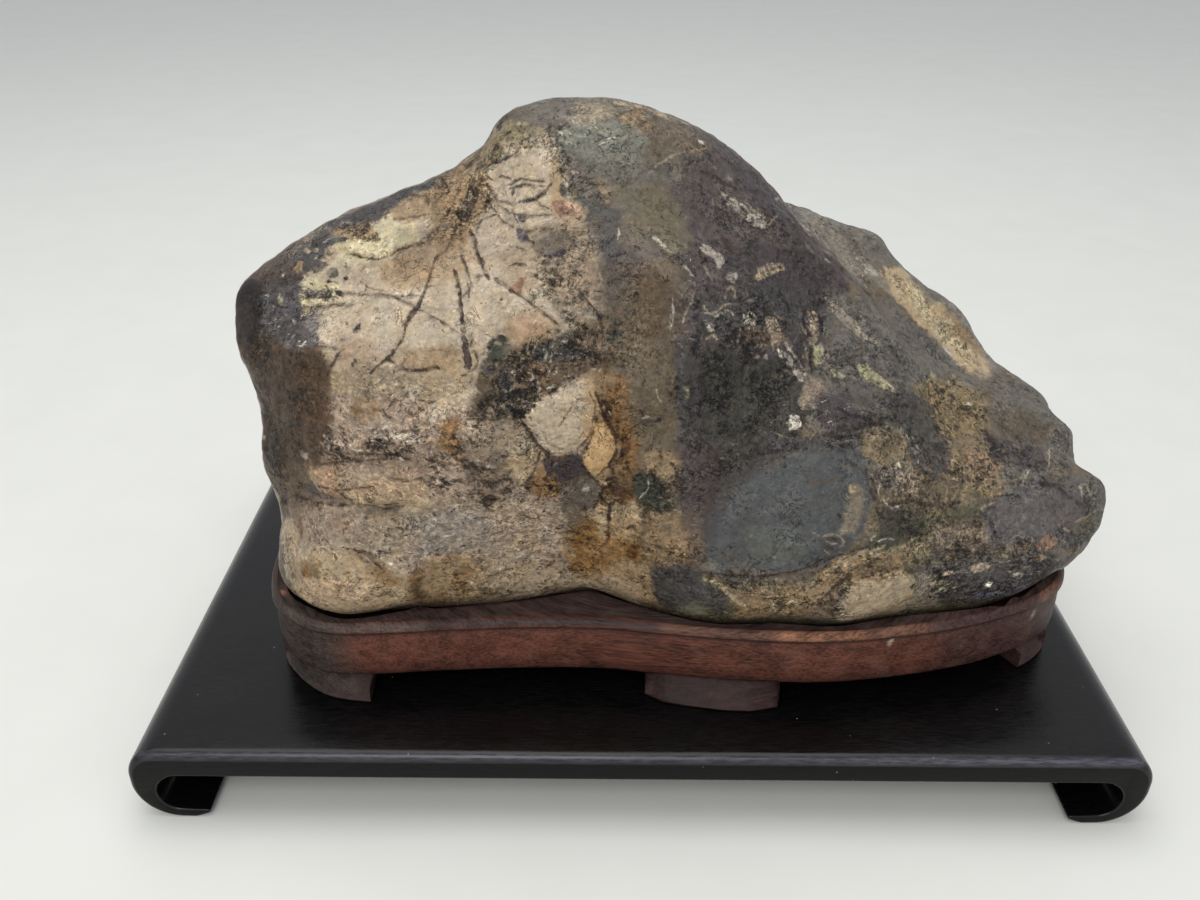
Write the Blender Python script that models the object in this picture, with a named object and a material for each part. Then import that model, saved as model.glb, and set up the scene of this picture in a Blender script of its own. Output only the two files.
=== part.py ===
"""A viewing stone on its carved wooden base, standing on a low lacquered table.

Five pieces, all in one frame: the origin is at the middle of the table on the surface that it
stands on, +X runs along the table's length, -Y is the front and +Z is up.
Sizes below are in millimetres and become metres when the meshes are made.
"""
import math

import bmesh
import bpy
import numpy as np
from mathutils import Vector
from mathutils.bvhtree import BVHTree

MM = 0.001
FIT_GAP = 0.3                # air between two pieces that touch

# ---------------------------------------------------------------- table
TABLE_LENGTH = 450.0
TABLE_DEPTH = 300.0
TABLE_HEIGHT = 38.0
BOARD_THICKNESS = 13.4       # also the radius of the board's rounded ends
BOARD_NOSING = 4.2           # rounding of the board's long top edges
SCROLL_RADIUS = 20.5         # outer radius of a rolled foot
SCROLL_STRIP = 6.0           # width of the flat strip that a foot stands on
SCROLL_TIP_INSET = 33.0      # from the outer face to the tip of the roll
SCROLL_TIP_LIFT = 2.7        # the tip's underside above the surface
SCROLL_TIP_THICKNESS = 1.4
SCROLL_HOLE_INSET = 11.2     # from the outer face to the hollow of the roll
SCROLL_HOLE_HALF_WIDTH = 10.0
SCROLL_FLOOR = 4.6           # wood under the hollow
ARC_STEPS = 8

# ---------------------------------------------------------------- carved base
BASE_UNDERSIDE = 50.0        # bottom of the body, between the feet
GROOVE_HEIGHT = 75.0
RIM_HEIGHT = 79.0
BEAD_RADIUS = 3.0            # rounded outer edge of the rim
RIM_OVERHANG = 1.6           # the bead stands proud of the wall
GROOVE_DEPTH = 1.4
GROOVE_HALF_WIDTH = 0.8
SEAT_EDGE = 77.8             # the rim's inner edge, beside the stone
SEAT_FLOOR = 61.5            # bottom of the recess that the stone sits in
SEAT_GAP = 0.9               # between the stone and the wall of its seat
SEAT_TURNS = (-0.03, 0.0, 0.03)   # directions looked along to clear the stone's corners
SEAT_LIP_MIN = 4.0           # least width of the rim beside the stone
FOOT_COVE = 3.2              # the hollow under the wall, above the toe
FOOT_DEPTH = 17.0            # from the wall to the foot's inner face
STATION_SPACING = 10.5       # distance between outline stations

SEAT_CENTRE = (10.0, -15.0)
# Plan of the base's wall, anticlockwise from the right end.
BASE_OUTLINE = [
    (209, -15), (203, 15), (188, 42), (160, 63), (120, 77), (70, 85), (20, 88), (-40, 88),
    (-95, 80), (-135, 62), (-160, 36), (-172, 0), (-175, -35), (-174, -65), (-170, -84),
    (-165, -95), (-156, -104), (-141, -111.5), (-118, -112), (-91, -109.5), (-52, -107),
    (-18, -107), (10, -110.5), (45, -114.5), (84, -115.5), (120, -110.5), (150, -103),
    (172, -94), (188, -85), (200, -73), (207, -55), (210, -35),
]
# Each foot runs along the wall from one plan point to the next one, anticlockwise, and its toe
# stands out from the wall by these amounts along its length.
FEET = [
    ((178, 50), (150, 68), (1.0, 4.0, 4.0, 2.0)),
    ((62, 86), (6, 88), (2.5, 6.5, 6.5, 2.5)),
    ((-122, 68), (-152, 45), (2.0, 4.0, 4.0, 1.0)),
    ((-170, -84), (-124, -113), (0.0, -1.0, 1.5, 5.5)),
    ((3, -110), (63, -115), (1.0, 5.5, 6.5, 7.0, 7.5, 7.0, 3.5)),
    ((182, -89), (201, -73), (1.0, 1.0, 0.5, 0.0)),
]

# ---------------------------------------------------------------- stone
STONE_CENTRE = (12.0, -10.0, 148.0)
STONE_REACH = (200.0, 95.0, 115.0)   # rough half-lengths, which even out the facets
STONE_BASE = 61.9                    # flat underside, just above the seat floor
STONE_FACET_LEVEL = 5

# Points that the stone's skin passes through, grouped by the feature they shape.
STONE_LANDMARKS = {
    "line where it leaves the rim": [
        (-167, -70, 78), (-162, -86, 78), (-146, -98, 78), (-133, -103, 78), (-113, -98, 78),
        (-83, -93, 78), (-43, -86, 78), (-24, -82, 78), (-10, -89, 78), (13, -99, 78),
        (35, -106, 78), (68, -105, 78), (84, -107, 78), (108, -101, 78), (143, -94, 78),
        (176, -84, 78), (190, -71, 78), (197, -52, 78), (198, -20, 78), (188, 10, 78),
        (165, 36, 78), (130, 56, 78), (80, 70, 78), (20, 76, 78), (-40, 75, 78),
        (-95, 66, 78), (-135, 45, 78), (-158, 15, 78), (-168, -20, 78), (-169, -48, 78),
    ],
    "underside": [
        (0, -10, 60), (-132, -60, 61), (-132, 15, 61), (155, -45, 61), (150, 10, 61),
        (62, -88, 61), (40, 52, 61), (-60, 52, 61), (-60, -70, 61),
    ],
    "left flank": [
        (-182, -41, 197), (-180, -50, 183), (-171, -60, 160), (-171, -67, 130), (-165, -75, 106),
        (-160, -62, 192), (-157, -74, 160), (-159, -80, 138), (-155, -92, 106),
    ],
    "left end": [
        (-181, -28, 200), (-175, -30, 182), (-170, -38, 162), (-169, -42, 145), (-171, -47, 129),
        (-164, -50, 112), (-166, -48, 94), (-168, 0, 188), (-161, -8, 150), (-160, -12, 125),
    ],
    "front face": [
        (-146, -72, 199), (-143, -86, 166), (-141, -95, 128), (-141, -106, 100),
        (-122, -84, 195), (-110, -106, 100), (-104, -104, 135), (-102, -98, 170),
        (-89, -88, 198), (-75, -98, 98), (-70, -102, 134), (-68, -100, 172),
        (-59, -93, 201), (-36, -97, 131), (-35, -102, 173), (-35, -95, 202),
        (-22, -90, 96), (-10, -100, 133), (-10, -102, 173),
    ],
    "front ridge": [
        (14, -91, 208), (15, -99, 185), (16, -104, 160), (20, -108, 133), (28, -111, 105),
        (1, -85, 224), (-11, -70, 243), (-3, -44, 260),
    ],
    "shaded hollow": [
        (23, -92, 182), (40, -84, 178), (63, -77, 175), (22, -86, 208), (40, -74, 205),
        (63, -60, 201), (41, -99, 148), (66, -104, 138), (88, -92, 158), (54, -113, 112),
        (85, -112, 110),
    ],
    "right flank": [
        (84, -40, 201), (102, -42, 193), (91, -60, 181), (78, -72, 177), (114, -62, 173),
        (112, -82, 152), (142, -52, 151), (169, -41, 146), (137, -82, 135), (162, -74, 131),
        (125, -101, 105), (163, -88, 105),
    ],
    "nose": [
        (213, -28, 129), (212, -40, 124), (216, -51, 119), (218, -58, 110), (215, -64, 101),
        (209, -67, 91), (205, -68, 82), (192, -67, 116), (192, -80, 101), (188, -83, 89),
        (191, -42, 134), (213, -32, 110), (202, -65, 80), (197, -71, 81),
    ],
    "near ridge": [
        (50, -8, 252), (70, -22, 232), (94, -30, 206), (122, -30, 180), (149, -22, 164),
        (172, -8, 151),
    ],
    "channel behind the near ridge": [
        (74, 6, 228), (100, 6, 209), (126, 2, 188), (148, 2, 168), (126, 18, 202),
        (163, 12, 161),
    ],
    "far ridge": [
        (62, 14, 238), (72, 24, 228), (89, 30, 223), (105, 35, 216), (124, 35, 208), (141, 30, 190),
        (160, 28, 178), (176, 20, 157), (184, 10, 150), (199, 0, 143), (206, -10, 136),
    ],
    "left shoulder": [
        (-181, -35, 207), (-176, -26, 212), (-169, -19, 216), (-156, -14, 223),
        (-142, -11, 231), (-126, -9, 238), (-110, -8, 245), (-91, -8, 252), (-80, -10, 258),
        (-136, -50, 210), (-105, -50, 228), (-78, -48, 234),
    ],
    "summit": [
        (-72, -12, 264), (-67, -14, 272), (-61, -13, 280), (-54, -12, 283), (-46, -10, 285),
        (-30, -8, 286), (-10, -6, 284), (10, -3, 278), (26, -1, 271), (41, 0, 261),
        (-48, -64, 237), (-52, -36, 264), (-30, -40, 268), (20, -50, 245), (45, -34, 240),
    ],
    "back": [
        (-62, 10, 266), (-84, 8, 250), (-20, 22, 270), (20, 24, 258), (-100, 18, 236), (-60, 42, 238),
        (-10, 50, 240), (40, 44, 236), (-148, 14, 208), (-115, 44, 200), (-60, 62, 205),
        (0, 68, 205), (60, 62, 205), (110, 56, 195), (150, 46, 165), (-146, 34, 162),
        (-100, 66, 160), (-40, 76, 160), (30, 80, 160), (95, 74, 155),
        (145, 56, 135), (182, 28, 125), (-152, 28, 120), (-120, 60, 115),
        (-60, 80, 110), (10, 84, 115), (75, 80, 110), (135, 62, 100), (180, 34, 95),
        (202, 0, 108), (205, -10, 122),
    ],
}

MATERIALS = {
    "stone": ((0.30, 0.25, 0.20), 0.45),
    "carved_wood": ((0.10, 0.045, 0.035), 0.50),
    "black_lacquer": ((0.012, 0.012, 0.013), 0.35),
}


def make_material(name):
    """A Principled BSDF with the piece's colour and roughness; nothing here is metal."""
    colour, roughness = MATERIALS[name]
    material = bpy.data.materials.new(name)
    material.use_nodes = True
    shader = material.node_tree.nodes["Principled BSDF"]
    shader.inputs["Base Color"].default_value = (*colour, 1.0)
    shader.inputs["Roughness"].default_value = roughness
    shader.inputs["Metallic"].default_value = 0.0
    return material


def add_object(name, bm, material, sharp_angle):
    """Put a bmesh drawn in millimetres into the scene as one named object, in metres."""
    bmesh.ops.scale(bm, vec=(MM, MM, MM), verts=bm.verts)
    bmesh.ops.recalc_face_normals(bm, faces=bm.faces)
    mesh = bpy.data.meshes.new(name)
    bm.to_mesh(mesh)
    bm.free()
    mesh.shade_smooth()
    mesh.set_sharp_from_angle(angle=math.radians(sharp_angle))
    mesh.materials.append(material)
    obj = bpy.data.objects.new(name, mesh)
    bpy.context.scene.collection.objects.link(obj)
    return obj


def skin_rings(bm, rings):
    """Bridge closed rings of the same number of vertices with quads."""
    for lower, upper in zip(rings[:-1], rings[1:]):
        count = len(lower)
        for i in range(count):
            j = (i + 1) % count
            bm.faces.new((lower[i], lower[j], upper[j], upper[i]))


def arc(centre, radii, start, end, steps):
    """Points on an ellipse's arc, angles in degrees, both ends included."""
    points = []
    for i in range(steps + 1):
        angle = math.radians(start + (end - start) * i / steps)
        points.append((centre[0] + radii[0] * math.cos(angle),
                       centre[1] + radii[1] * math.sin(angle)))
    return points


# ---------------------------------------------------------------- table pieces
def build_table_board():
    """The top board: quarter-round ends, and long edges with a rounded nosing on top."""
    half_length, half_depth = TABLE_LENGTH / 2, TABLE_DEPTH / 2
    bottom = TABLE_HEIGHT - BOARD_THICKNESS
    end_centre = half_length - BOARD_THICKNESS
    right = arc((end_centre, bottom), (BOARD_THICKNESS, BOARD_THICKNESS), 0, 90, ARC_STEPS)
    profile = right + [(-x, z) for x, z in reversed(right)]

    bm = bmesh.new()
    rings = []
    nosing = [(BOARD_NOSING * (1 - math.cos(math.radians(a))),
               BOARD_NOSING * (1 - math.sin(math.radians(a)))) for a in (0, 22.5, 45, 67.5, 90)]
    for side in (-1, 1):
        sections = []
        for inset, setback in nosing:
            scale = (BOARD_THICKNESS - setback) / BOARD_THICKNESS
            ring = []
            for x, z in profile:
                reach = abs(x) - end_centre
                shifted = math.copysign(end_centre + reach * scale, x)
                ring.append(bm.verts.new((shifted, side * (half_depth - inset),
                                          bottom + (z - bottom) * scale)))
            sections.append(ring)
        rings += sections if side < 0 else reversed(sections)
    skin_rings(bm, rings)
    bm.faces.new(rings[0])
    bm.faces.new(reversed(rings[-1]))
    return add_object("table_board", bm, make_material("black_lacquer"), 35)


def scroll_outline():
    """Section of the right-hand rolled foot, from the glue face round to the tip and back."""
    half_length = TABLE_LENGTH / 2
    top = TABLE_HEIGHT - BOARD_THICKNESS - FIT_GAP
    centre_x = half_length - SCROLL_RADIUS
    hole_centre_x = half_length - SCROLL_HOLE_INSET - SCROLL_HOLE_HALF_WIDTH
    hole_height = top - SCROLL_FLOOR
    tip_x = half_length - SCROLL_TIP_INSET
    outer = [(half_length, top)]
    outer += arc((centre_x, SCROLL_RADIUS), (SCROLL_RADIUS, SCROLL_RADIUS), 0, -90, ARC_STEPS)
    outer += [(centre_x - SCROLL_STRIP, 0.0), (tip_x, SCROLL_TIP_LIFT)]
    inner = [(tip_x, SCROLL_TIP_LIFT + SCROLL_TIP_THICKNESS)]
    inner += arc((hole_centre_x, SCROLL_FLOOR + hole_height / 2),
                 (SCROLL_HOLE_HALF_WIDTH, hole_height / 2), -90, 70, ARC_STEPS)
    inner.append((hole_centre_x + SCROLL_HOLE_HALF_WIDTH * 0.2, top))
    return outer + inner


def build_scroll_foot(name, side):
    """A rolled foot as long as the table is deep; side is 1 for the right end, -1 for the left."""
    half_depth = TABLE_DEPTH / 2
    bm = bmesh.new()
    rings = []
    for y in (-half_depth, half_depth):
        rings.append([bm.verts.new((side * x, y, z)) for x, z in scroll_outline()])
    skin_rings(bm, rings)
    bm.faces.new(rings[0])
    bm.faces.new(reversed(rings[1]))
    return add_object(name, bm, make_material("black_lacquer"), 35)


# ---------------------------------------------------------------- stone
def stone_direction(points):
    """Unit directions from the stone's centre, in a space where the stone is about round."""
    offsets = (np.asarray(points, float) - STONE_CENTRE) / STONE_REACH
    lengths = np.linalg.norm(offsets, axis=1)
    return offsets / lengths[:, None], lengths


def cubic_kernel(a, b):
    distance = np.linalg.norm(a[:, None, :] - b[None, :, :], axis=2)
    return distance ** 3


def fit_stone_skin():
    """Solve for the smooth skin through all landmarks; returns radius as a function of direction."""
    landmarks = [point for group in STONE_LANDMARKS.values() for point in group]
    directions, lengths = stone_direction(landmarks)
    count = len(landmarks)
    linear = np.hstack([np.ones((count, 1)), directions])
    system = np.zeros((count + 4, count + 4))
    system[:count, :count] = cubic_kernel(directions, directions)
    system[:count, count:] = linear
    system[count:, :count] = linear.T
    weights = np.linalg.solve(system, np.concatenate([lengths, np.zeros(4)]))

    def radius(unit):
        terms = np.hstack([np.ones((len(unit), 1)), unit])
        return cubic_kernel(unit, directions) @ weights[:count] + terms @ weights[count:]

    return radius


def build_stone():
    """One closed natural solid: a faceted ball drawn out to the fitted skin, flat underneath."""
    radius = fit_stone_skin()
    bm = bmesh.new()
    bmesh.ops.create_icosphere(bm, subdivisions=STONE_FACET_LEVEL, radius=1.0)
    unit = np.array([v.co.normalized() for v in bm.verts])
    points = np.array(STONE_CENTRE) + unit * radius(unit)[:, None] * STONE_REACH
    points[:, 2] = np.maximum(points[:, 2], STONE_BASE)
    for vert, point in zip(bm.verts, points):
        vert.co = point
    tree = BVHTree.FromBMesh(bm)
    return add_object("stone", bm, make_material("stone"), 60), tree


# ---------------------------------------------------------------- carved base
def smooth_closed_curve(points, samples_per_span):
    """A closed Catmull-Rom curve through the plan points."""
    curve = []
    count = len(points)
    control = [Vector(p) for p in points]
    for i in range(count):
        p0, p1, p2, p3 = (control[(i + k - 1) % count] for k in range(4))
        for step in range(samples_per_span):
            t = step / samples_per_span
            curve.append(0.5 * (2 * p1 + (p2 - p0) * t + (2 * p0 - 5 * p1 + 4 * p2 - p3) * t ** 2
                                + (3 * p1 - p0 - 3 * p2 + p3) * t ** 3))
    return curve


def plan_angle(point):
    return math.atan2(point[1] - SEAT_CENTRE[1], point[0] - SEAT_CENTRE[0]) % math.tau


class Wall:
    """The base's wall in plan, looked up by angle about the seat's centre."""

    def __init__(self):
        curve = smooth_closed_curve(BASE_OUTLINE, 24)
        self.points = sorted(curve, key=plan_angle)
        self.angles = [plan_angle(p) for p in self.points]

    def point(self, angle):
        xs = np.interp(angle, self.angles, [p.x for p in self.points], period=math.tau)
        ys = np.interp(angle, self.angles, [p.y for p in self.points], period=math.tau)
        return Vector((float(xs), float(ys)))

    def normal(self, angle):
        step = 0.02
        along = (self.point(angle + step) - self.point(angle - step)).normalized()
        return Vector((along.y, -along.x))


def wall_stations(wall):
    """Angles round the wall: both ends of every foot, and even steps between them."""
    marks = []
    for start, end, _ in FEET:
        marks += [(plan_angle(start), True), (plan_angle(end), False)]
    marks.sort()
    marks.append((marks[0][0] + math.tau, True))
    stations, on_foot = [], []
    for (first, inside), (last, _) in zip(marks[:-1], marks[1:]):
        length = (wall.point(last) - wall.point(first)).length
        steps = max(2, round(length / STATION_SPACING))
        for i in range(steps):
            stations.append(first + (last - first) * i / steps)
            on_foot.append(inside)
    return stations, on_foot


def toe_reach(angle):
    """How far the toe of the foot at this angle stands out from the wall."""
    for start, end, reaches in FEET:
        first, last = plan_angle(start), plan_angle(end)
        share = (angle - first) / (last - first)
        if -0.001 < share < 1.001:
            return float(np.interp(share, np.linspace(0, 1, len(reaches)), reaches))
    return 0.0


def stone_reach_at(tree, angle, height):
    """How far the stone reaches from the seat's centre in a direction, at or below a height."""
    toward = Vector((math.cos(angle), math.sin(angle), 0))
    reach = 0.0
    level = STONE_BASE + FIT_GAP
    while level <= height + 0.01:
        start = Vector((*SEAT_CENTRE, level)) + toward * 400
        hit = tree.ray_cast(start, -toward)[0]
        if hit is not None:
            reach = max(reach, (Vector(hit[:2]) - Vector(SEAT_CENTRE)).length)
        level += 2.0
    return reach


def base_ring_heights():
    """Outer profile of the base from its underside up to the rim: (outward offset, height)."""
    profile = [(-FOOT_COVE, BASE_UNDERSIDE), (-0.8, BASE_UNDERSIDE + 0.7), (0.0, BASE_UNDERSIDE + 3),
               (0.4, (BASE_UNDERSIDE + GROOVE_HEIGHT) / 2),
               (0.0, GROOVE_HEIGHT - GROOVE_HALF_WIDTH),
               (-GROOVE_DEPTH, GROOVE_HEIGHT),
               (RIM_OVERHANG - 1.0, GROOVE_HEIGHT + GROOVE_HALF_WIDTH)]
    bead = arc((RIM_OVERHANG - BEAD_RADIUS, RIM_HEIGHT - BEAD_RADIUS),
               (BEAD_RADIUS, BEAD_RADIUS), 0, 90, 3)
    return profile + bead


def build_daiza(tree):
    """The carved base: seat, rim, groove and wall as rings, with the feet drawn down from it."""
    wall = Wall()
    stations, on_foot = wall_stations(wall)
    count = len(stations)
    bm = bmesh.new()

    def ring(offsets, height):
        verts = []
        for angle, offset in zip(stations, offsets):
            plan = wall.point(angle) + wall.normal(angle) * offset
            verts.append(bm.verts.new((plan.x, plan.y, height)))
        return verts

    def seat_ring(height, clear_below):
        verts = []
        for angle in stations:
            outer = (wall.point(angle) - Vector(SEAT_CENTRE)).length
            stone = max(stone_reach_at(tree, angle + turn, clear_below) for turn in SEAT_TURNS)
            reach = min(stone + SEAT_GAP, outer - SEAT_LIP_MIN)
            verts.append(bm.verts.new((SEAT_CENTRE[0] + reach * math.cos(angle),
                                       SEAT_CENTRE[1] + reach * math.sin(angle), height)))
        return verts

    outer_rings = [ring([offset] * count, height) for offset, height in base_ring_heights()]
    seat_rings = [seat_ring(SEAT_EDGE, SEAT_EDGE + 1.5), seat_ring(70.0, SEAT_EDGE)]
    floor_ring = seat_ring(SEAT_FLOOR, 70.0)
    inner_foot_ring = ring([-FOOT_DEPTH] * count, BASE_UNDERSIDE)
    skin_rings(bm, [*outer_rings, *seat_rings, floor_ring])

    seat_middle = bm.verts.new((*SEAT_CENTRE, SEAT_FLOOR))
    under_middle = bm.verts.new((*SEAT_CENTRE, BASE_UNDERSIDE))
    toe = TABLE_HEIGHT + FIT_GAP
    foot_columns = {}

    def foot_column(k):
        if k not in foot_columns:
            plan, normal = wall.point(stations[k]), wall.normal(stations[k])
            reach = toe_reach(stations[k])
            profile = [(-FOOT_COVE - 0.6, 46.5), (reach * 0.4 - FOOT_COVE, 43.0),
                       (reach - 1.2, 40.4), (reach, toe), (-FOOT_DEPTH + 4, toe)]
            column = [outer_rings[0][k]]
            for offset, height in profile:
                place = plan + normal * offset
                column.append(bm.verts.new((place.x, place.y, height)))
            foot_columns[k] = column + [inner_foot_ring[k]]
        return foot_columns[k]

    for k in range(count):
        j = (k + 1) % count
        bm.faces.new((floor_ring[k], floor_ring[j], seat_middle))
        bm.faces.new((inner_foot_ring[j], inner_foot_ring[k], under_middle))
        if not on_foot[k]:
            bm.faces.new((outer_rings[0][j], outer_rings[0][k], inner_foot_ring[k],
                          inner_foot_ring[j]))
            continue
        here, there = foot_column(k), foot_column(j)
        for i in range(len(here) - 1):
            bm.faces.new((here[i], there[i], there[i + 1], here[i + 1]))
        if not on_foot[k - 1]:
            bm.faces.new(here)
        if not on_foot[j]:
            bm.faces.new(reversed(there))
    return add_object("daiza", bm, make_material("carved_wood"), 40)


def main():
    for obj in list(bpy.data.objects):
        bpy.data.objects.remove(obj, do_unlink=True)
    build_table_board()
    build_scroll_foot("scroll_foot_left", -1)
    build_scroll_foot("scroll_foot_right", 1)
    _, stone_tree = build_stone()
    build_daiza(stone_tree)


main()
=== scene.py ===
"""Looks for a viewing stone on its carved base and low lacquered table.

The markings on the stone's front are drawn as outlines and lines on the picture plane of
a 1200 x 900 view, and laid onto the stone through the camera below.  The sides and back have broad
masses and veins in the stone's own coordinates.  Lengths are in millimetres unless a name or a
comment says otherwise, and px means a pixel of that view.
"""

import math

import bpy
import numpy as np
from mathutils import Matrix, Vector
from mathutils.bvhtree import BVHTree


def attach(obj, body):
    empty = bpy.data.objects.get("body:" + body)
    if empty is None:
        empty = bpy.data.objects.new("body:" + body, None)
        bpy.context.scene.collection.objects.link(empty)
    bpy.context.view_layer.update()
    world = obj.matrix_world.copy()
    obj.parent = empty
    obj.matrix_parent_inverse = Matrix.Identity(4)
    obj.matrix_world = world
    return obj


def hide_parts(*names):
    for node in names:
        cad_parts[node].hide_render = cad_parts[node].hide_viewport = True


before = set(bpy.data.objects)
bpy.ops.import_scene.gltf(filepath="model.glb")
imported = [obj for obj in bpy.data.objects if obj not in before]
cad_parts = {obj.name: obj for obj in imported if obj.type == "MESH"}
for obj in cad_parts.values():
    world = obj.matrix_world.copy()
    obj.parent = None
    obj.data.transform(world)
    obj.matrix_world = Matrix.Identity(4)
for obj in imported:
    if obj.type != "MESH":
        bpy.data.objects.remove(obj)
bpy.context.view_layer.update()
MM = 0.001

# ---------------------------------------------------------------- camera
VIEW_WIDTH_PX, VIEW_HEIGHT_PX = 1200, 900
FOCAL_PX = 1103.2
SENSOR_WIDTH = 36.0
EYE = np.array([-17.7, -499.9, 388.4])
PITCH, YAW, ROLL = (math.radians(a) for a in (29.465, 0.118, 0.349))


def camera_axes():
    """The camera's right, up and forward directions."""
    turn = np.array([[math.cos(YAW), -math.sin(YAW), 0], [math.sin(YAW), math.cos(YAW), 0],
                     [0, 0, 1]])
    forward = turn @ np.array([0, math.cos(PITCH), -math.sin(PITCH)])
    right = turn @ np.array([1.0, 0, 0])
    up = turn @ np.array([0, math.sin(PITCH), math.cos(PITCH)])
    return (math.cos(ROLL) * right + math.sin(ROLL) * up,
            math.cos(ROLL) * up - math.sin(ROLL) * right, forward)


RIGHT, UP, FORWARD = camera_axes()


def to_pixels(points):
    """Where points (mm) land on the 1200 x 900 picture."""
    offset = points - EYE
    depth = offset @ FORWARD
    return np.column_stack([VIEW_WIDTH_PX / 2 + FOCAL_PX * (offset @ RIGHT) / depth,
                            VIEW_HEIGHT_PX / 2 - FOCAL_PX * (offset @ UP) / depth])


# ---------------------------------------------------------------- noise and masks
# Odd multipliers that scatter a lattice corner's whole numbers into random bits
CELL_FACTORS, SEED_FACTOR = np.array([73856093, 19349663, 83492791]), 2654435761
SCATTER_FIRST, SCATTER_SECOND = 1274126177, 2246822519
LOW_32_BITS, LOW_10_BITS, HALF_OF_10_BITS = 0xFFFFFFFF, 1023, 511.5
NOISE_GAIN = 1.3             # brings the noise to about -1 to 1
FAR_OFF = 1e9                # a distance that anything beats


def ramp(low, high, value):
    """0 below low, 1 above high, and smooth between them."""
    t = np.clip((value - low) / (high - low), 0, 1)
    return t * t * (3 - 2 * t)


def lattice_noise(points, seed):
    """Gradient noise of about -1 to 1 at points given in lattice units."""
    cell = np.floor(points).astype(np.int64)
    local = points - cell
    fade = local ** 3 * (local * (local * 6 - 15) + 10)
    total = np.zeros(len(points))
    for corner in range(8):
        step = np.array([corner & 1, corner >> 1 & 1, corner >> 2 & 1])
        key = (cell + step) @ CELL_FACTORS + seed * SEED_FACTOR
        key = (key ^ (key >> 13)) * SCATTER_FIRST & LOW_32_BITS
        key = (key ^ (key >> 15)) * SCATTER_SECOND & LOW_32_BITS
        key ^= key >> 16
        slope = np.column_stack([key >> shift & LOW_10_BITS for shift in (0, 10, 20)])
        slope = slope / HALF_OF_10_BITS - 1
        weight = np.prod(np.where(step == 1, fade, 1 - fade), axis=1)
        total += weight * np.sum(slope * (local - step), axis=1)
    return total * NOISE_GAIN


def layered_noise(points, size, octaves, seed):
    """Several octaves of noise whose largest features are about size millimetres."""
    total, strength = np.zeros(len(points)), 1.0
    for octave in range(octaves):
        total += strength * lattice_noise(points * 2 ** octave / size, seed + octave)
        strength *= 0.5
    return total


def line_offset(pixels, line):
    """Signed distance to the side of an open line, and how far along it, in pixels."""
    best = np.full(len(pixels), FAR_OFF)
    side = np.zeros(len(pixels))
    share = np.zeros(len(pixels))
    line = np.asarray(line, float)
    spans = np.linalg.norm(np.diff(line, axis=0), axis=1)
    reached = 0.0
    for start, end, span in zip(line[:-1], line[1:], spans):
        along = (end - start) / span
        offset = pixels - start
        t = np.clip(offset @ along, 0, span)
        gap = offset - t[:, None] * along
        distance = np.hypot(gap[:, 0], gap[:, 1])
        nearer = distance < best
        sign = np.where(offset[:, 0] * along[1] - offset[:, 1] * along[0] >= 0, 1.0, -1.0)
        best = np.where(nearer, distance, best)
        side = np.where(nearer, sign, side)
        share = np.where(nearer, (reached + t) / spans.sum(), share)
        reached += span
    return best * side, share


def inside_depth(pixels, outline):
    """Signed distance to a closed outline in pixels: positive inside it."""
    outline = np.asarray(outline, float)
    best = np.full(len(pixels), FAR_OFF)
    inside = np.zeros(len(pixels), bool)
    for start, end in zip(outline, np.roll(outline, -1, axis=0)):
        edge = end - start
        offset = pixels - start
        t = np.clip(offset @ edge / (edge @ edge), 0, 1)
        gap = offset - t[:, None] * edge
        best = np.minimum(best, gap[:, 0] ** 2 + gap[:, 1] ** 2)
        crosses = (start[1] > pixels[:, 1]) != (end[1] > pixels[:, 1])
        rise = edge[1] if edge[1] else 1e-9
        inside ^= crosses & (offset[:, 0] < edge[0] * offset[:, 1] / rise)
    return np.where(inside, 1, -1) * np.sqrt(best)


# ---------------------------------------------------------------- meshes
def read_triangles(obj):
    """A mesh's points in millimetres and its triangles."""
    mesh = obj.data
    mesh.calc_loop_triangles()
    points = np.empty(len(mesh.vertices) * 3)
    mesh.vertices.foreach_get("co", points)
    faces = np.empty(len(mesh.loop_triangles) * 3, np.int64)
    mesh.loop_triangles.foreach_get("vertices", faces)
    return points.reshape(-1, 3) / MM, faces.reshape(-1, 3)


def weld(obj):
    """A CAD node's points and triangles, with shared corners joined."""
    points, faces = read_triangles(obj)
    _, first, joined = np.unique(np.round(points, 2), axis=0, return_index=True,
                                 return_inverse=True)
    faces = joined.reshape(-1)[faces]
    keep = (faces[:, 0] != faces[:, 1]) & (faces[:, 1] != faces[:, 2]) & (
        faces[:, 2] != faces[:, 0])
    return points[first], faces[keep]


def point_normals(points, faces):
    """Smooth unit normals."""
    corner = points[faces]
    cross = np.cross(corner[:, 1] - corner[:, 0], corner[:, 2] - corner[:, 0])
    total = np.zeros_like(points)
    for k in range(3):
        for axis in range(3):
            total[:, axis] += np.bincount(faces[:, k], cross[:, axis], len(points))
    return total / np.maximum(np.linalg.norm(total, axis=1), 1e-12)[:, None]


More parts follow.
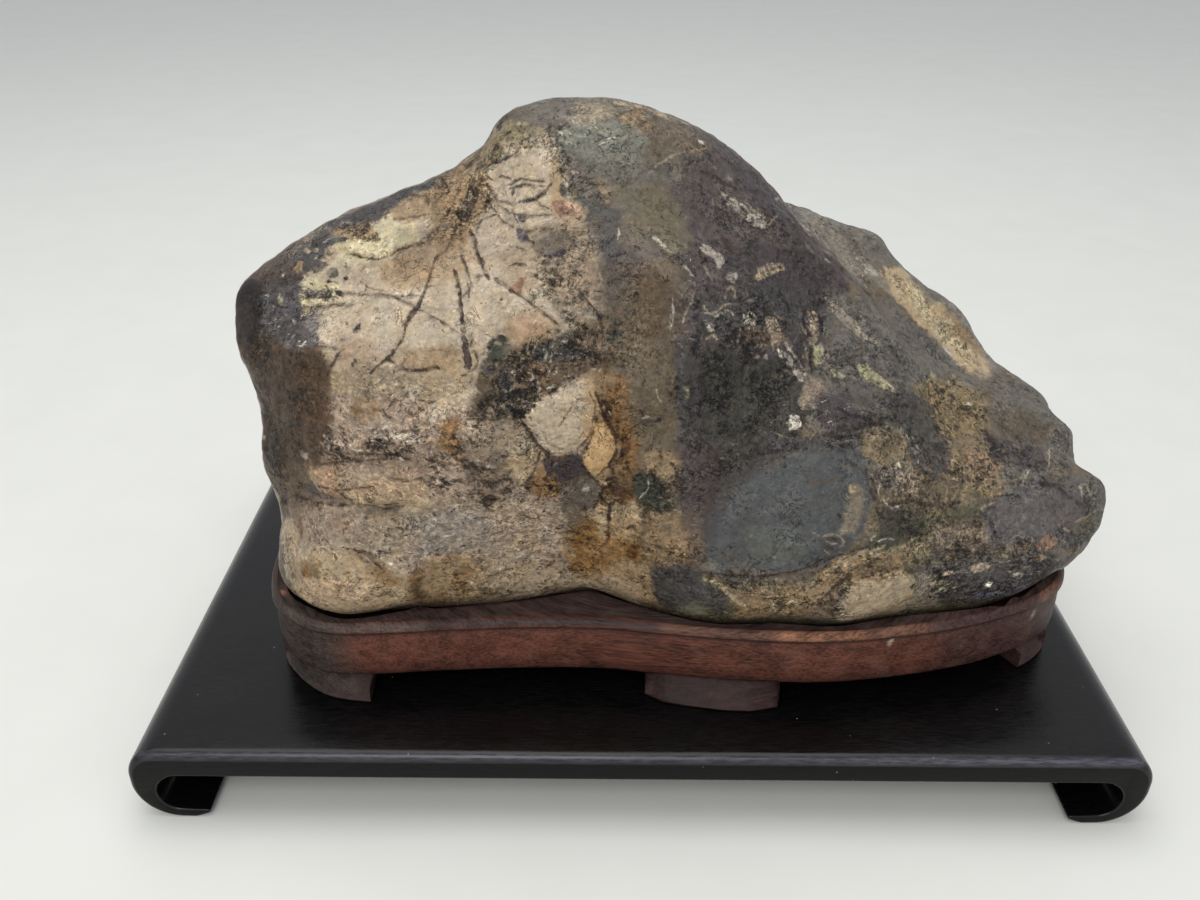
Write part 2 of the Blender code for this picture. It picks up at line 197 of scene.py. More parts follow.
def split_triangles(points, faces, chosen):
    """Split the chosen triangles in four on a rounded skin, and fit their neighbours to them."""
    edges = np.sort(faces[:, [0, 1, 1, 2, 2, 0]].reshape(-1, 2), axis=1)
    key = edges[:, 0] * len(points) + edges[:, 1]
    unique, first, index = np.unique(key, return_index=True, return_inverse=True)
    index = index.reshape(-1, 3)
    marked = np.zeros(len(unique), bool)
    marked[index[chosen].reshape(-1)] = True
    ends = edges[first][marked]
    normals = point_normals(points, faces)
    a, b = points[ends[:, 0]], points[ends[:, 1]]
    middle = (a + b) / 2
    lift_a = np.sum((middle - a) * normals[ends[:, 0]], axis=1)[:, None]
    lift_b = np.sum((middle - b) * normals[ends[:, 1]], axis=1)[:, None]
    middle = middle - (lift_a * normals[ends[:, 0]] + lift_b * normals[ends[:, 1]]) / 4
    place = np.full(len(unique), -1)
    place[marked] = len(points) + np.arange(marked.sum())
    points = np.vstack([points, middle])
    new = place[index]
    cut = new >= 0
    count = cut.sum(axis=1)
    made = [faces[count == 0]]
    f, m = faces[count == 3], new[count == 3]
    made += [np.column_stack([f[:, 0], m[:, 0], m[:, 2]]),
             np.column_stack([m[:, 0], f[:, 1], m[:, 1]]),
             np.column_stack([m[:, 2], m[:, 1], f[:, 2]]), m]
    for k in range(3):
        turn = [k, (k + 1) % 3, (k + 2) % 3]
        pick = (count == 1) & cut[:, k]
        f, m = faces[pick][:, turn], new[pick][:, k]
        made += [np.column_stack([f[:, 0], m, f[:, 2]]), np.column_stack([m, f[:, 1], f[:, 2]])]
        pick = (count == 2) & ~cut[:, k]
        f = faces[pick][:, turn]
        m1, m2 = new[pick][:, turn[1]], new[pick][:, turn[2]]
        made += [np.column_stack([f[:, 0], f[:, 1], m1]), np.column_stack([f[:, 0], m1, m2]),
                 np.column_stack([m2, m1, f[:, 2]])]
    return points, np.vstack(made)


def ring_faces(rings, count):
    """Quads that join closed rings of count points each to the ring after them."""
    made = []
    for start in range(0, (rings - 1) * count, count):
        here = start + np.arange(count)
        beside = start + (np.arange(count) + 1) % count
        made.append(np.column_stack([here, beside, beside + count, here + count]))
    return np.vstack(made)


def make_mesh(name, points, faces, nodes, smooth_angle=None):
    """A shown piece from points in millimetres, standing for the given CAD nodes."""
    mesh = bpy.data.meshes.new(name)
    mesh.from_pydata((points * MM).tolist(), [], [list(map(int, face)) for face in faces])
    mesh.update()
    mesh.shade_smooth()
    if smooth_angle:
        mesh.set_sharp_from_angle(angle=math.radians(smooth_angle))
    obj = bpy.data.objects.new(name, mesh)
    bpy.context.scene.collection.objects.link(obj)
    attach(obj, "root")
    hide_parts(*nodes)
    return obj


def store(obj, name, values):
    """Keep numbers or colours on the mesh's points for its material to read."""
    values = np.asarray(values, np.float32)
    if values.ndim == 1:
        layer = obj.data.attributes.new(name, "FLOAT", "POINT")
        layer.data.foreach_set("value", values)
    else:
        layer = obj.data.attributes.new(name, "FLOAT_COLOR", "POINT")
        layer.data.foreach_set("color", np.column_stack(
            [values, np.ones(len(values), np.float32)]).reshape(-1))


# ---------------------------------------------------------------- material nodes
MIX_FIRST, MIX_SECOND, MIX_RESULT = 6, 7, 2      # the Mix node's colour sockets


class Shader:
    """One material, with short calls for the nodes it is made of."""

    def __init__(self, name):
        self.material = bpy.data.materials.new(name)
        self.material.use_nodes = True
        self.tree = self.material.node_tree
        self.surface = self.tree.nodes["Principled BSDF"]
        place = self.tree.nodes.new("ShaderNodeTexCoord").outputs["Object"]
        scaled = self.tree.nodes.new("ShaderNodeVectorMath")
        scaled.operation = "SCALE"
        scaled.inputs["Scale"].default_value = 1 / MM
        self.tree.links.new(place, scaled.inputs[0])
        self.mm = scaled.outputs[0]      # the place on the object in millimetres

    def fill(self, socket, value):
        """Link a node's output to a socket, or set the socket's own value."""
        if isinstance(value, bpy.types.NodeSocket):
            self.tree.links.new(value, socket)
        elif isinstance(value, tuple) and len(value) == 3 and len(socket.default_value) == 4:
            socket.default_value = (*value, 1.0)
        else:
            socket.default_value = value

    def math(self, operation, a, b=0.0):
        node = self.tree.nodes.new("ShaderNodeMath")
        node.operation = operation
        self.fill(node.inputs[0], a)
        self.fill(node.inputs[1], b)
        return node.outputs[0]

    def plus(self, a, b):
        return self.math("ADD", a, b)

    def minus(self, a, b):
        return self.math("SUBTRACT", a, b)

    def times(self, a, b):
        return self.math("MULTIPLY", a, b)

    def highest(self, a, b):
        return self.math("MAXIMUM", a, b)

    def spread(self, value, low, high, to_low=0.0, to_high=1.0):
        """Map a range of values onto another one, held at its ends."""
        node = self.tree.nodes.new("ShaderNodeMapRange")
        self.fill(node.inputs["Value"], value)
        for socket, number in zip(("From Min", "From Max", "To Min", "To Max"),
                                  (low, high, to_low, to_high)):
            self.fill(node.inputs[socket], number)
        return node.outputs["Result"]

    def mix(self, share, a, b, blend="MIX"):
        node = self.tree.nodes.new("ShaderNodeMix")
        node.data_type = "RGBA"
        node.blend_type = blend
        self.fill(node.inputs["Factor"], share)
        self.fill(node.inputs[MIX_FIRST], a)
        self.fill(node.inputs[MIX_SECOND], b)
        return node.outputs[MIX_RESULT]

    def noise(self, size, detail=3.0, roughness=0.55, place=None, distortion=0.0):
        """Noise of 0 to 1 with features of about size millimetres."""
        node = self.tree.nodes.new("ShaderNodeTexNoise")
        self.fill(node.inputs["Vector"], self.mm if place is None else place)
        node.inputs["Scale"].default_value = 1 / size
        node.inputs["Detail"].default_value = detail
        node.inputs["Roughness"].default_value = roughness
        node.inputs["Distortion"].default_value = distortion
        return node.outputs["Fac"]

    def creases(self, size, detail, roughness, distortion, thin, wide):
        """Lines where noise crosses its middle: 1 up to thin from it, 0 beyond wide."""
        noise = self.noise(size, detail, roughness, distortion=distortion)
        away = self.math("ABSOLUTE", self.minus(noise, 0.5))
        return self.spread(away, thin, wide, 1.0, 0.0)

    def cells(self, size):
        """Distance to scattered points about size millimetres apart."""
        node = self.tree.nodes.new("ShaderNodeTexVoronoi")
        self.fill(node.inputs["Vector"], self.mm)
        node.inputs["Scale"].default_value = 1 / size
        return node.outputs["Distance"]

    def stored(self, name, output="Fac"):
        """What store() kept on the mesh's points under this name."""
        node = self.tree.nodes.new("ShaderNodeAttribute")
        node.attribute_name = name
        return node.outputs[output]

    def parts(self, vector):
        node = self.tree.nodes.new("ShaderNodeSeparateXYZ")
        self.fill(node.inputs[0], vector)
        return node.outputs

    def join(self, x, y, z):
        node = self.tree.nodes.new("ShaderNodeCombineXYZ")
        for socket, value in zip(node.inputs, (x, y, z)):
            self.fill(socket, value)
        return node.outputs[0]

    def shade(self, colour, bright):
        """A colour made lighter or darker by a number."""
        return self.mix(1.0, colour, self.join(bright, bright, bright), "MULTIPLY")

    def bump(self, height, distance, strength=1.0):
        """Bump whose height of 1 stands for distance millimetres."""
        node = self.tree.nodes.new("ShaderNodeBump")
        node.inputs["Strength"].default_value = strength
        node.inputs["Distance"].default_value = distance * MM
        self.fill(node.inputs["Height"], height)
        return node.outputs["Normal"]

    def finish(self, colour, roughness, normal, **settings):
        """Fill the surface's sockets, and give back the material."""
        self.fill(self.surface.inputs["Base Color"], colour)
        self.fill(self.surface.inputs["Roughness"], roughness)
        self.fill(self.surface.inputs["Normal"], normal)
        for name, value in settings.items():
            self.fill(self.surface.inputs[name.replace("_", " ")], value)
        return self.material


def linear(rgb):
    """A screen colour of 0 to 255 as linear light."""
    c = np.asarray(rgb, float) / 255
    return np.where(c <= 0.04045, c / 12.92, ((c + 0.055) / 1.055) ** 2.4)


# ---------------------------------------------------------------- stone: markings
# Screen colours that the markings are named after.
TINTS = {
    "umber": (103, 91, 75), "shoulder": (84, 74, 68), "rust brown": (74, 58, 43),
    "ivory": (184, 169, 148), "cream": (174, 158, 137), "yellow cream": (196, 184, 150),
    "tan": (152, 129, 100), "pale grey tan": (142, 128, 108), "bark": (88, 74, 58),
    "pit black": (44, 37, 33), "pinkish grey": (146, 128, 112), "bluish grey": (116, 110, 106),
    "orange tan": (172, 138, 96), "rust": (124, 90, 50), "deep rust": (98, 66, 36),
    "teal grey": (118, 120, 108), "summit grey": (98, 92, 84), "purple grey": (84, 76, 74),
    "dusk purple": (68, 61, 62), "olive": (102, 93, 78), "dark green": (60, 60, 51),
    "slate blue": (78, 79, 79), "slate": (100, 95, 88), "light slate": (124, 118, 108),
    "gold tan": (176, 156, 126), "spotted tan": (124, 110, 88), "pale yellow": (162, 146, 120),
    "nose purple": (92, 87, 86), "green brown": (88, 82, 66), "soot": (38, 34, 33),
    "white": (206, 198, 182), "ink": (54, 42, 42), "dark slate": (70, 67, 66),
    "brown tan": (132, 110, 84), "olive tan": (126, 116, 92), "peach": (190, 158, 132),
    "grey tan": (136, 124, 106), "olive green": (92, 88, 70), "olive dark": (84, 80, 70),
    "chip": (158, 150, 138), "moss": (146, 142, 112), "rust pink": (132, 100, 82),
    "blue ink": (66, 60, 70), "bluish slate": (98, 93, 94), "deep brown": (62, 52, 42),
    "light grey": (152, 140, 124), "purple black": (58, 51, 52), "gold brown": (128, 112, 84),
    "peach brown": (140, 112, 92), "chip tan": (146, 130, 112), "moss grey": (116, 116, 96),
    "olive light": (118, 108, 84), "grey cream": (152, 136, 114), "purple brown": (72, 62, 60),
    "light tan": (166, 146, 118), "smoke brown": (96, 86, 78), "orange brown": (126, 94, 58),
    "olive grey": (106, 98, 82), "smooth grey": (138, 128, 114), "sea grey": (92, 94, 88),
    "bluish gloss": (112, 112, 124), "honey": (184, 152, 110), "burnt": (54, 34, 18),
    "russet": (84, 56, 32), "liver": (74, 52, 40), "ink grey": (86, 80, 82),
    "warm umber": (114, 82, 46),
}

# Broad grounds, laid over one another in this order: (tint, edge softness px, strength, outline)
GROUNDS = [
    ("umber", 10, 1.0, [(200, 60), (1150, 60), (1150, 660), (200, 660)]),
    ("shoulder", 14, 1.0, [(225, 255), (300, 235), (325, 262), (300, 330), (262, 350), (225, 350)]),
    ("light slate", 10, 0.8, [(282, 262), (330, 212), (400, 178), (452, 160), (450, 180),
        (400, 205), (352, 232), (308, 262)]),
    ("rust brown", 16, 1.0, [(225, 330), (300, 335), (330, 362), (338, 420), (318, 470),
        (290, 490), (225, 500)]),
    ("bark", 14, 0.9, [(225, 455), (300, 450), (318, 470), (300, 520), (292, 620), (225, 620)]),
    ("cream", 12, 1.0, [(300, 300), (312, 262), (352, 228), (400, 205), (446, 184), (476, 160),
        (498, 124), (530, 114), (560, 140), (574, 190), (596, 255), (604, 305), (585, 340),
        (540, 352), (500, 350), (478, 378), (440, 392), (380, 392), (340, 372), (320, 345)]),
    ("ivory", 22, 0.8, [(318, 292), (372, 262), (440, 250), (490, 262), (560, 268), (590, 300),
        (570, 332), (510, 336), (470, 362), (400, 372), (345, 352)]),
    ("yellow cream", 14, 0.7, [(330, 246), (372, 222), (410, 208), (404, 240), (366, 262),
        (334, 270)]),
    ("tan", 22, 0.7, [(404, 240), (470, 228), (480, 262), (440, 292), (404, 285)]),
    ("ivory", 14, 0.7, [(498, 130), (530, 122), (556, 150), (560, 190), (530, 205), (496, 190)]),
    ("pinkish grey", 20, 1.0, [(318, 385), (380, 392), (440, 392), (478, 380), (530, 400),
        (545, 450), (560, 500), (570, 570), (520, 610), (300, 620), (288, 560), (300, 500),
        (322, 460), (330, 420)]),
    ("cream", 16, 0.8, [(296, 548), (340, 540), (400, 552), (412, 585), (400, 606), (340, 616),
        (290, 600)]),
    ("bark", 12, 0.95, [(478, 372), (500, 345), (552, 338), (602, 318), (642, 318), (640, 350),
        (600, 372), (560, 378), (538, 392), (520, 408), (482, 420), (472, 400)]),
    ("cream", 8, 0.95, [(533, 412), (545, 392), (572, 378), (600, 368), (604, 400), (598, 430),
        (580, 452), (552, 456), (536, 440)]),
    ("orange tan", 8, 0.9, [(590, 420), (602, 418), (614, 438), (614, 468), (602, 478),
        (588, 462)]),
    ("rust", 14, 0.85, [(604, 372), (630, 380), (640, 420), (632, 470), (640, 520), (648, 570),
        (610, 585), (570, 575), (560, 540), (590, 515), (608, 480), (620, 440)]),
    ("rust", 10, 0.7, [(400, 578), (440, 562), (490, 560), (498, 590), (460, 604), (410, 604)]),
    ("umber", 18, 1.0, [(612, 330), (660, 320), (684, 360), (684, 440), (680, 520), (690, 590),
        (650, 600), (640, 540), (634, 470), (640, 410)]),
    ("dark green", 20, 1.0, [(684, 360), (720, 340), (780, 350), (806, 390), (800, 440),
        (760, 462), (720, 500), (700, 545), (684, 520), (680, 440)]),
    ("summit grey", 16, 1.0, [(505, 96), (600, 84), (700, 110), (745, 150), (722, 190), (660, 180),
        (610, 190), (588, 250), (574, 200), (560, 140), (528, 118)]),
    ("teal grey", 14, 0.7, [(562, 124), (620, 120), (648, 140), (640, 168), (590, 172),
        (566, 150)]),
    ("purple grey", 18, 1.0, [(690, 120), (760, 150), (800, 200), (852, 262), (836, 330),
        (800, 360), (740, 352), (680, 340), (660, 300), (680, 240), (668, 190), (700, 160)]),
    ("olive", 18, 0.8, [(596, 190), (650, 180), (682, 200), (682, 250), (650, 300), (630, 330),
        (604, 300), (590, 240)]),
    ("dusk purple", 18, 0.8, [(720, 250), (800, 230), (840, 290), (820, 350), (740, 345)]),
    ("light slate", 12, 1.0, [(780, 196), (880, 226), (905, 262), (950, 290), (1005, 365),
        (985, 380), (940, 345), (900, 300), (856, 268), (820, 240)]),
    ("slate", 12, 1.0, [(826, 286), (880, 300), (940, 345), (985, 385), (960, 400), (905, 395),
        (850, 380), (820, 350)]),
    ("gold tan", 8, 0.95, [(884, 268), (902, 272), (940, 302), (984, 356), (992, 376), (968, 372),
        (930, 336), (892, 292)]),
    ("spotted tan", 12, 0.95, [(915, 380), (955, 376), (985, 396), (992, 440), (986, 490),
        (960, 500), (944, 450), (915, 410)]),
    ("slate", 14, 0.9, [(992, 368), (1030, 384), (1078, 436), (1078, 462), (1040, 478),
        (1000, 480), (992, 430)]),
    ("nose purple", 12, 1.0, [(985, 500), (1030, 478), (1100, 480), (1112, 510), (1092, 548),
        (1040, 542), (985, 548)]),
    ("slate", 12, 0.9, [(800, 352), (880, 372), (905, 396), (915, 430), (900, 500), (868, 470),
        (850, 438), (805, 430)]),
    ("spotted tan", 8, 0.9, [(863, 434), (880, 424), (904, 430), (908, 455), (890, 466),
        (868, 458)]),
    ("green brown", 14, 1.0, [(700, 575), (760, 590), (820, 585), (868, 545), (930, 510),
        (985, 500), (985, 550), (1050, 548), (1080, 560), (1040, 590), (900, 620), (800, 630),
        (700, 618)]),
    ("slate blue", 6, 1.0, [(702, 560), (703, 535), (714, 512), (736, 486), (770, 466), (806, 456),
        (832, 452), (850, 436), (864, 452), (872, 486), (868, 525), (845, 556), (800, 574),
        (742, 578), (708, 574)]),
    ("pale yellow", 6, 0.9, [(838, 602), (856, 580), (884, 570), (912, 572), (914, 588),
        (886, 600), (868, 614), (842, 618)]),
    ("dusk purple", 10, 0.8, [(950, 575), (1050, 556), (1074, 560), (1040, 590), (960, 604)]),
    ("dark slate", 6, 1.0, [(288, 276), (290, 258), (318, 236), (340, 218), (370, 202), (400, 190),
        (430, 178), (466, 158), (462, 166), (440, 184), (414, 192), (399, 204), (386, 214),
        (378, 222), (352, 225), (336, 233), (328, 242), (330, 256), (318, 268), (302, 276)]),
    ("shoulder", 8, 1.0, [(236, 292), (250, 270), (275, 258), (298, 262), (300, 280), (296, 300),
        (240, 318)]),
    ("soot", 8, 0.8, [(232, 300), (240, 280), (258, 280), (268, 296), (256, 306)]),
    ("yellow cream", 5, 1.0, [(340, 250), (348, 242), (372, 240), (398, 220), (412, 218),
        (420, 228), (424, 240), (400, 249), (380, 256), (350, 255)]),
    ("tan", 8, 0.9, [(334, 232), (352, 226), (372, 222), (376, 236), (350, 240), (334, 238)]),
    ("tan", 10, 0.9, [(388, 212), (414, 193), (440, 186), (448, 200), (430, 216), (396, 219)]),
    ("brown tan", 12, 0.95, [(425, 196), (440, 178), (470, 162), (484, 178), (482, 215),
        (470, 232), (462, 250), (440, 256), (428, 246), (430, 222)]),
    ("tan", 12, 0.8, [(380, 262), (400, 254), (428, 248), (440, 258), (430, 285), (400, 292),
        (376, 282)]),
    ("brown tan", 8, 0.6, [(392, 264), (408, 260), (416, 270), (406, 282), (394, 278)]),
    ("olive tan", 8, 1.0, [(462, 166), (480, 148), (500, 122), (520, 118), (545, 135), (540, 146),
        (510, 150), (494, 165), (480, 180), (468, 182)]),
    ("ivory", 6, 0.9, [(504, 156), (516, 152), (540, 150), (548, 164), (550, 178), (520, 178),
        (506, 176)]),
    ("tan", 6, 0.8, [(552, 150), (562, 168), (566, 200), (584, 206), (584, 240), (566, 236),
        (552, 214), (549, 180)]),
    ("peach", 6, 0.85, [(556, 202), (580, 206), (583, 236), (568, 234), (556, 222)]),
    ("grey tan", 8, 0.8, [(540, 232), (556, 226), (572, 236), (568, 258), (545, 262), (534, 250)]),
    ("peach", 8, 0.85, [(560, 262), (580, 252), (596, 256), (602, 280), (598, 306), (570, 306),
        (556, 290)]),
    ("dark slate", 9, 0.95, [(584, 200), (606, 190), (622, 220), (622, 300), (604, 306),
        (600, 262), (586, 244)]),
    ("summit grey", 8, 1.0, [(508, 116), (540, 100), (580, 98), (590, 130), (560, 138), (546, 132),
        (524, 122)]),
    ("teal grey", 7, 1.0, [(552, 138), (566, 130), (600, 140), (628, 132), (640, 146), (624, 158),
        (590, 158), (562, 152)]),
    ("grey tan", 9, 0.8, [(574, 102), (600, 98), (614, 108), (610, 128), (590, 132), (576, 122)]),
    ("brown tan", 6, 0.75, [(616, 112), (640, 112), (654, 126), (646, 136), (628, 132),
        (618, 124)]),
    ("gold tan", 4, 0.7, [(614, 99), (640, 104), (672, 112), (706, 124), (706, 128), (670, 118),
        (636, 110), (612, 104)]),
    ("olive green", 10, 0.85, [(618, 182), (650, 196), (676, 214), (692, 240), (684, 252),
        (660, 230), (630, 214), (616, 198)]),
    ("brown tan", 6, 0.6, [(594, 174), (604, 180), (614, 206), (606, 208), (598, 192)]),
    ("purple grey", 10, 0.9, [(624, 228), (650, 236), (668, 256), (676, 290), (624, 290)]),
    ("brown tan", 8, 0.5, [(642, 264), (656, 258), (668, 266), (668, 296), (640, 296)]),
    ("umber", 8, 0.8, [(648, 118), (700, 130), (722, 144), (706, 152), (672, 156), (650, 164)]),
    ("summit grey", 8, 0.9, [(648, 168), (672, 158), (690, 160), (684, 184), (660, 190)]),
    ("purple grey", 8, 1.0, [(700, 152), (726, 146), (772, 190), (800, 226), (790, 250),
        (740, 240), (700, 214), (684, 186)]),
    ("olive", 8, 0.7, [(650, 205), (672, 214), (690, 236), (684, 250), (668, 240), (650, 226)]),
    ("bark", 8, 0.7, [(650, 258), (672, 262), (684, 276), (676, 292), (650, 292)]),
    ("light slate", 3, 1.0, [(779, 186), (796, 196), (830, 218), (860, 228), (852, 244),
        (868, 290), (846, 268), (828, 250), (810, 230), (796, 212)]),
    ("slate", 10, 0.8, [(836, 222), (884, 234), (902, 262), (884, 272), (850, 262)]),
    ("dusk purple", 10, 0.7, [(796, 226), (824, 252), (850, 278), (850, 292), (800, 292),
        (790, 250)]),
    ("gold tan", 6, 0.95, [(884, 276), (890, 268), (901, 267), (912, 284), (922, 297), (934, 305),
        (944, 324), (956, 342), (976, 356), (986, 374), (970, 372), (952, 360), (942, 342),
        (918, 326), (908, 310), (893, 292)]),
    ("yellow cream", 7, 0.55, [(906, 282), (916, 290), (934, 318), (954, 344), (972, 360),
        (956, 354), (936, 334), (914, 308)]),
    ("olive dark", 4, 0.6, [(906, 269), (916, 279), (932, 287), (948, 297), (936, 303), (926, 300),
        (914, 284)]),
    ("brown tan", 8, 0.7, [(942, 306), (962, 322), (984, 356), (974, 358), (952, 334)]),
    ("slate", 8, 0.8, [(872, 300), (892, 296), (914, 322), (944, 346), (950, 364), (916, 356),
        (886, 330)]),
    ("soot", 8, 0.75, [(232, 290), (250, 282), (262, 296), (262, 330), (252, 352), (236, 350)]),
    ("bluish slate", 10, 0.9, [(262, 290), (300, 284), (326, 292), (316, 318), (318, 346),
        (290, 350), (264, 330)]),
    ("bark", 8, 0.6, [(258, 332), (276, 334), (280, 352), (256, 350)]),
    ("soot", 6, 0.55, [(246, 352), (262, 374), (266, 470), (276, 470), (284, 400), (264, 352)]),
    ("rust brown", 8, 0.8, [(268, 352), (306, 346), (322, 372), (330, 404), (322, 428), (286, 440),
        (270, 400)]),
    ("deep rust", 6, 0.35, [(290, 404), (328, 400), (332, 420), (290, 424)]),
    ("deep brown", 8, 0.7, [(262, 400), (300, 420), (320, 440), (300, 462), (264, 470)]),
    ("yellow cream", 4, 0.85, [(302, 280), (318, 276), (340, 284), (342, 300), (322, 303),
        (304, 316), (300, 300)]),
    ("ivory", 6, 0.9, [(318, 318), (340, 306), (366, 318), (360, 346), (330, 352), (320, 340)]),
    ("peach", 10, 0.5, [(338, 344), (372, 338), (386, 356), (360, 366), (340, 360)]),
    ("grey tan", 8, 0.8, [(330, 374), (356, 362), (386, 366), (384, 384), (344, 398), (332, 392)]),
    ("brown tan", 6, 0.75, [(350, 400), (366, 394), (382, 402), (386, 416), (364, 424),
        (350, 416)]),
    ("tan", 8, 0.75, [(404, 352), (440, 344), (459, 350), (460, 372), (420, 368), (400, 366)]),
    ("grey tan", 3, 0.9, [(414, 391), (424, 378), (440, 384), (444, 392), (432, 402), (420, 399)]),
    ("light grey", 8, 0.8, [(424, 412), (446, 392), (470, 376), (474, 398), (456, 410), (444, 424),
        (426, 424)]),
    ("rust", 7, 0.6, [(456, 414), (444, 428), (440, 444), (450, 462), (466, 466), (462, 440)]),
    ("tan", 12, 0.75, [(508, 316), (540, 304), (560, 326), (548, 344), (516, 350), (500, 340)]),
    ("peach", 8, 0.6, [(512, 320), (530, 310), (542, 322), (536, 338), (516, 340)]),
    ("dark green", 6, 0.95, [(520, 350), (545, 344), (566, 336), (592, 330), (604, 312),
        (622, 318), (618, 340), (596, 350), (580, 360), (544, 364), (530, 358)]),
    ("dark green", 4, 0.95, [(484, 354), (492, 340), (502, 333), (508, 342), (506, 360),
        (492, 374), (480, 378)]),
    ("pit black", 5, 0.85, [(490, 392), (500, 398), (478, 418), (464, 419), (478, 404)]),
    ("cream", 3, 0.95, [(522, 421), (530, 406), (556, 392), (576, 382), (584, 370), (601, 366),
        (603, 400), (597, 424), (588, 442), (574, 452), (558, 457), (544, 448), (532, 434)]),
    ("orange tan", 8, 0.6, [(584, 372), (602, 372), (602, 404), (594, 430), (580, 440),
        (586, 404)]),
    ("ivory", 7, 0.6, [(550, 434), (572, 430), (574, 442), (556, 446)]),
    ("orange tan", 3, 0.95, [(601, 424), (611, 437), (614, 455), (606, 466), (588, 472),
        (584, 462), (591, 448)]),
    ("rust", 8, 0.7, [(604, 372), (622, 378), (626, 396), (612, 400)]),
    ("umber", 8, 0.8, [(626, 350), (672, 344), (676, 470), (634, 470), (626, 420), (628, 380)]),
    ("bark", 10, 0.55, [(634, 412), (668, 406), (672, 430), (640, 432)]),
    ("brown tan", 8, 0.45, [(636, 284), (658, 280), (664, 328), (640, 332)]),
    ("dark slate", 6, 0.9, [(676, 338), (702, 340), (702, 470), (678, 470)]),
    ("dark slate", 8, 0.8, [(694, 296), (800, 280), (824, 300), (826, 345), (800, 372), (740, 345),
        (694, 340)]),
    ("brown tan", 6, 0.5, [(744, 328), (782, 326), (790, 344), (770, 348), (744, 342)]),
    ("pinkish grey", 5, 0.6, [(800, 368), (808, 370), (817, 377), (824, 384), (820, 402),
        (814, 408), (807, 404), (801, 400), (803, 386)]),
    ("dusk purple", 8, 1.0, [(818, 396), (846, 388), (872, 400), (886, 414), (870, 424),
        (850, 434), (826, 434), (812, 420)]),
    ("slate", 5, 0.8, [(826, 298), (836, 300), (880, 342), (900, 366), (866, 360), (828, 352),
        (824, 320)]),
    ("dark slate", 5, 0.85, [(868, 392), (930, 392), (936, 410), (934, 422), (946, 434),
        (951, 450), (948, 472), (930, 478), (914, 460), (909, 440), (902, 424), (870, 416)]),
    ("moss grey", 5, 0.8, [(856, 368), (862, 363), (869, 366), (876, 374), (886, 380), (894, 391),
        (884, 387), (862, 380), (856, 376)]),
    ("gold brown", 4, 0.95, [(916, 390), (923, 384), (932, 378), (943, 378), (955, 385),
        (966, 394), (974, 402), (979, 414), (984, 425), (978, 436), (974, 446), (960, 450),
        (950, 444), (946, 436), (939, 430), (934, 420), (934, 404), (924, 398)]),
    ("spotted tan", 5, 0.95, [(948, 440), (976, 436), (982, 450), (992, 460), (1001, 466),
        (1003, 480), (1006, 490), (998, 497), (984, 496), (966, 492), (960, 476), (951, 462)]),
    ("peach brown", 8, 0.5, [(958, 452), (984, 452), (1000, 466), (998, 478), (970, 476)]),
    ("spotted tan", 4, 0.95, [(864, 436), (873, 431), (883, 428), (890, 437), (898, 442),
        (904, 454), (904, 463), (892, 462), (878, 466), (867, 459), (862, 448)]),
    ("pinkish grey", 4, 0.7, [(896, 460), (905, 468), (914, 474), (920, 485), (906, 485),
        (898, 477)]),
    ("purple black", 4, 0.85, [(984, 440), (996, 437), (1003, 445), (1004, 457), (997, 463),
        (990, 456)]),
    ("bark", 10, 0.5, [(988, 412), (1030, 412), (1050, 430), (1040, 446), (1004, 436)]),
    ("dusk purple", 6, 0.6, [(1004, 440), (1026, 446), (1040, 462), (1030, 468), (1010, 462)]),
    ("light slate", 4, 0.6, [(1003, 472), (1011, 476), (1016, 486), (1014, 497), (1007, 496)]),
    ("slate", 8, 0.9, [(1056, 478), (1070, 470), (1092, 480), (1104, 496), (1098, 506),
        (1082, 496), (1066, 488)]),
    ("nose purple", 3, 1.0, [(983, 508), (1000, 498), (1020, 500), (1034, 488), (1047, 480),
        (1059, 485), (1070, 490), (1086, 500), (1097, 509), (1084, 516), (1070, 521), (1050, 532),
        (1030, 538), (1008, 540), (992, 534)]),
    ("purple black", 4, 0.6, [(1040, 484), (1047, 479), (1060, 485), (1050, 488)]),
    ("purple black", 5, 0.6, [(1072, 502), (1088, 500), (1098, 509), (1084, 514)]),
    ("green brown", 6, 0.8, [(1080, 520), (1100, 512), (1108, 520), (1104, 536), (1088, 544),
        (1074, 536)]),
    ("pinkish grey", 8, 0.6, [(926, 532), (940, 524), (956, 528), (984, 522), (990, 540),
        (970, 552), (936, 548)]),
    ("dark green", 8, 0.8, [(876, 512), (912, 510), (934, 522), (924, 540), (886, 548)]),
    ("olive light", 6, 0.6, [(864, 558), (900, 546), (934, 530), (940, 540), (900, 560),
        (870, 568)]),
    ("pit black", 6, 0.7, [(994, 562), (1040, 560), (1062, 566), (1040, 580), (990, 576)]),
    ("bark", 8, 0.8, [(262, 470), (300, 462), (312, 480), (318, 500), (304, 520), (276, 514)]),
    ("tan", 4, 0.95, [(308, 471), (318, 466), (334, 468), (344, 479), (349, 492), (337, 499),
        (326, 496), (318, 485)]),
    ("peach", 5, 0.5, [(318, 470), (333, 470), (336, 486), (326, 488)]),
    ("grey cream", 7, 0.95, [(340, 474), (366, 472), (400, 470), (426, 474), (434, 490),
        (432, 512), (420, 520), (404, 512), (396, 503), (372, 504), (356, 508), (346, 500)]),
    # Painted shade in the creases below the raised band: this ground and the next
    ("purple brown", 5, 0.8, [(302, 486), (314, 487), (324, 494), (336, 499), (346, 500),
        (342, 506), (320, 502), (304, 500)]),
    ("bark", 4, 0.75, [(352, 509), (380, 505), (398, 504), (404, 514), (386, 517), (364, 513)]),
    ("pinkish grey", 8, 0.8, [(302, 512), (340, 508), (380, 518), (420, 524), (420, 548),
        (360, 544), (304, 544)]),
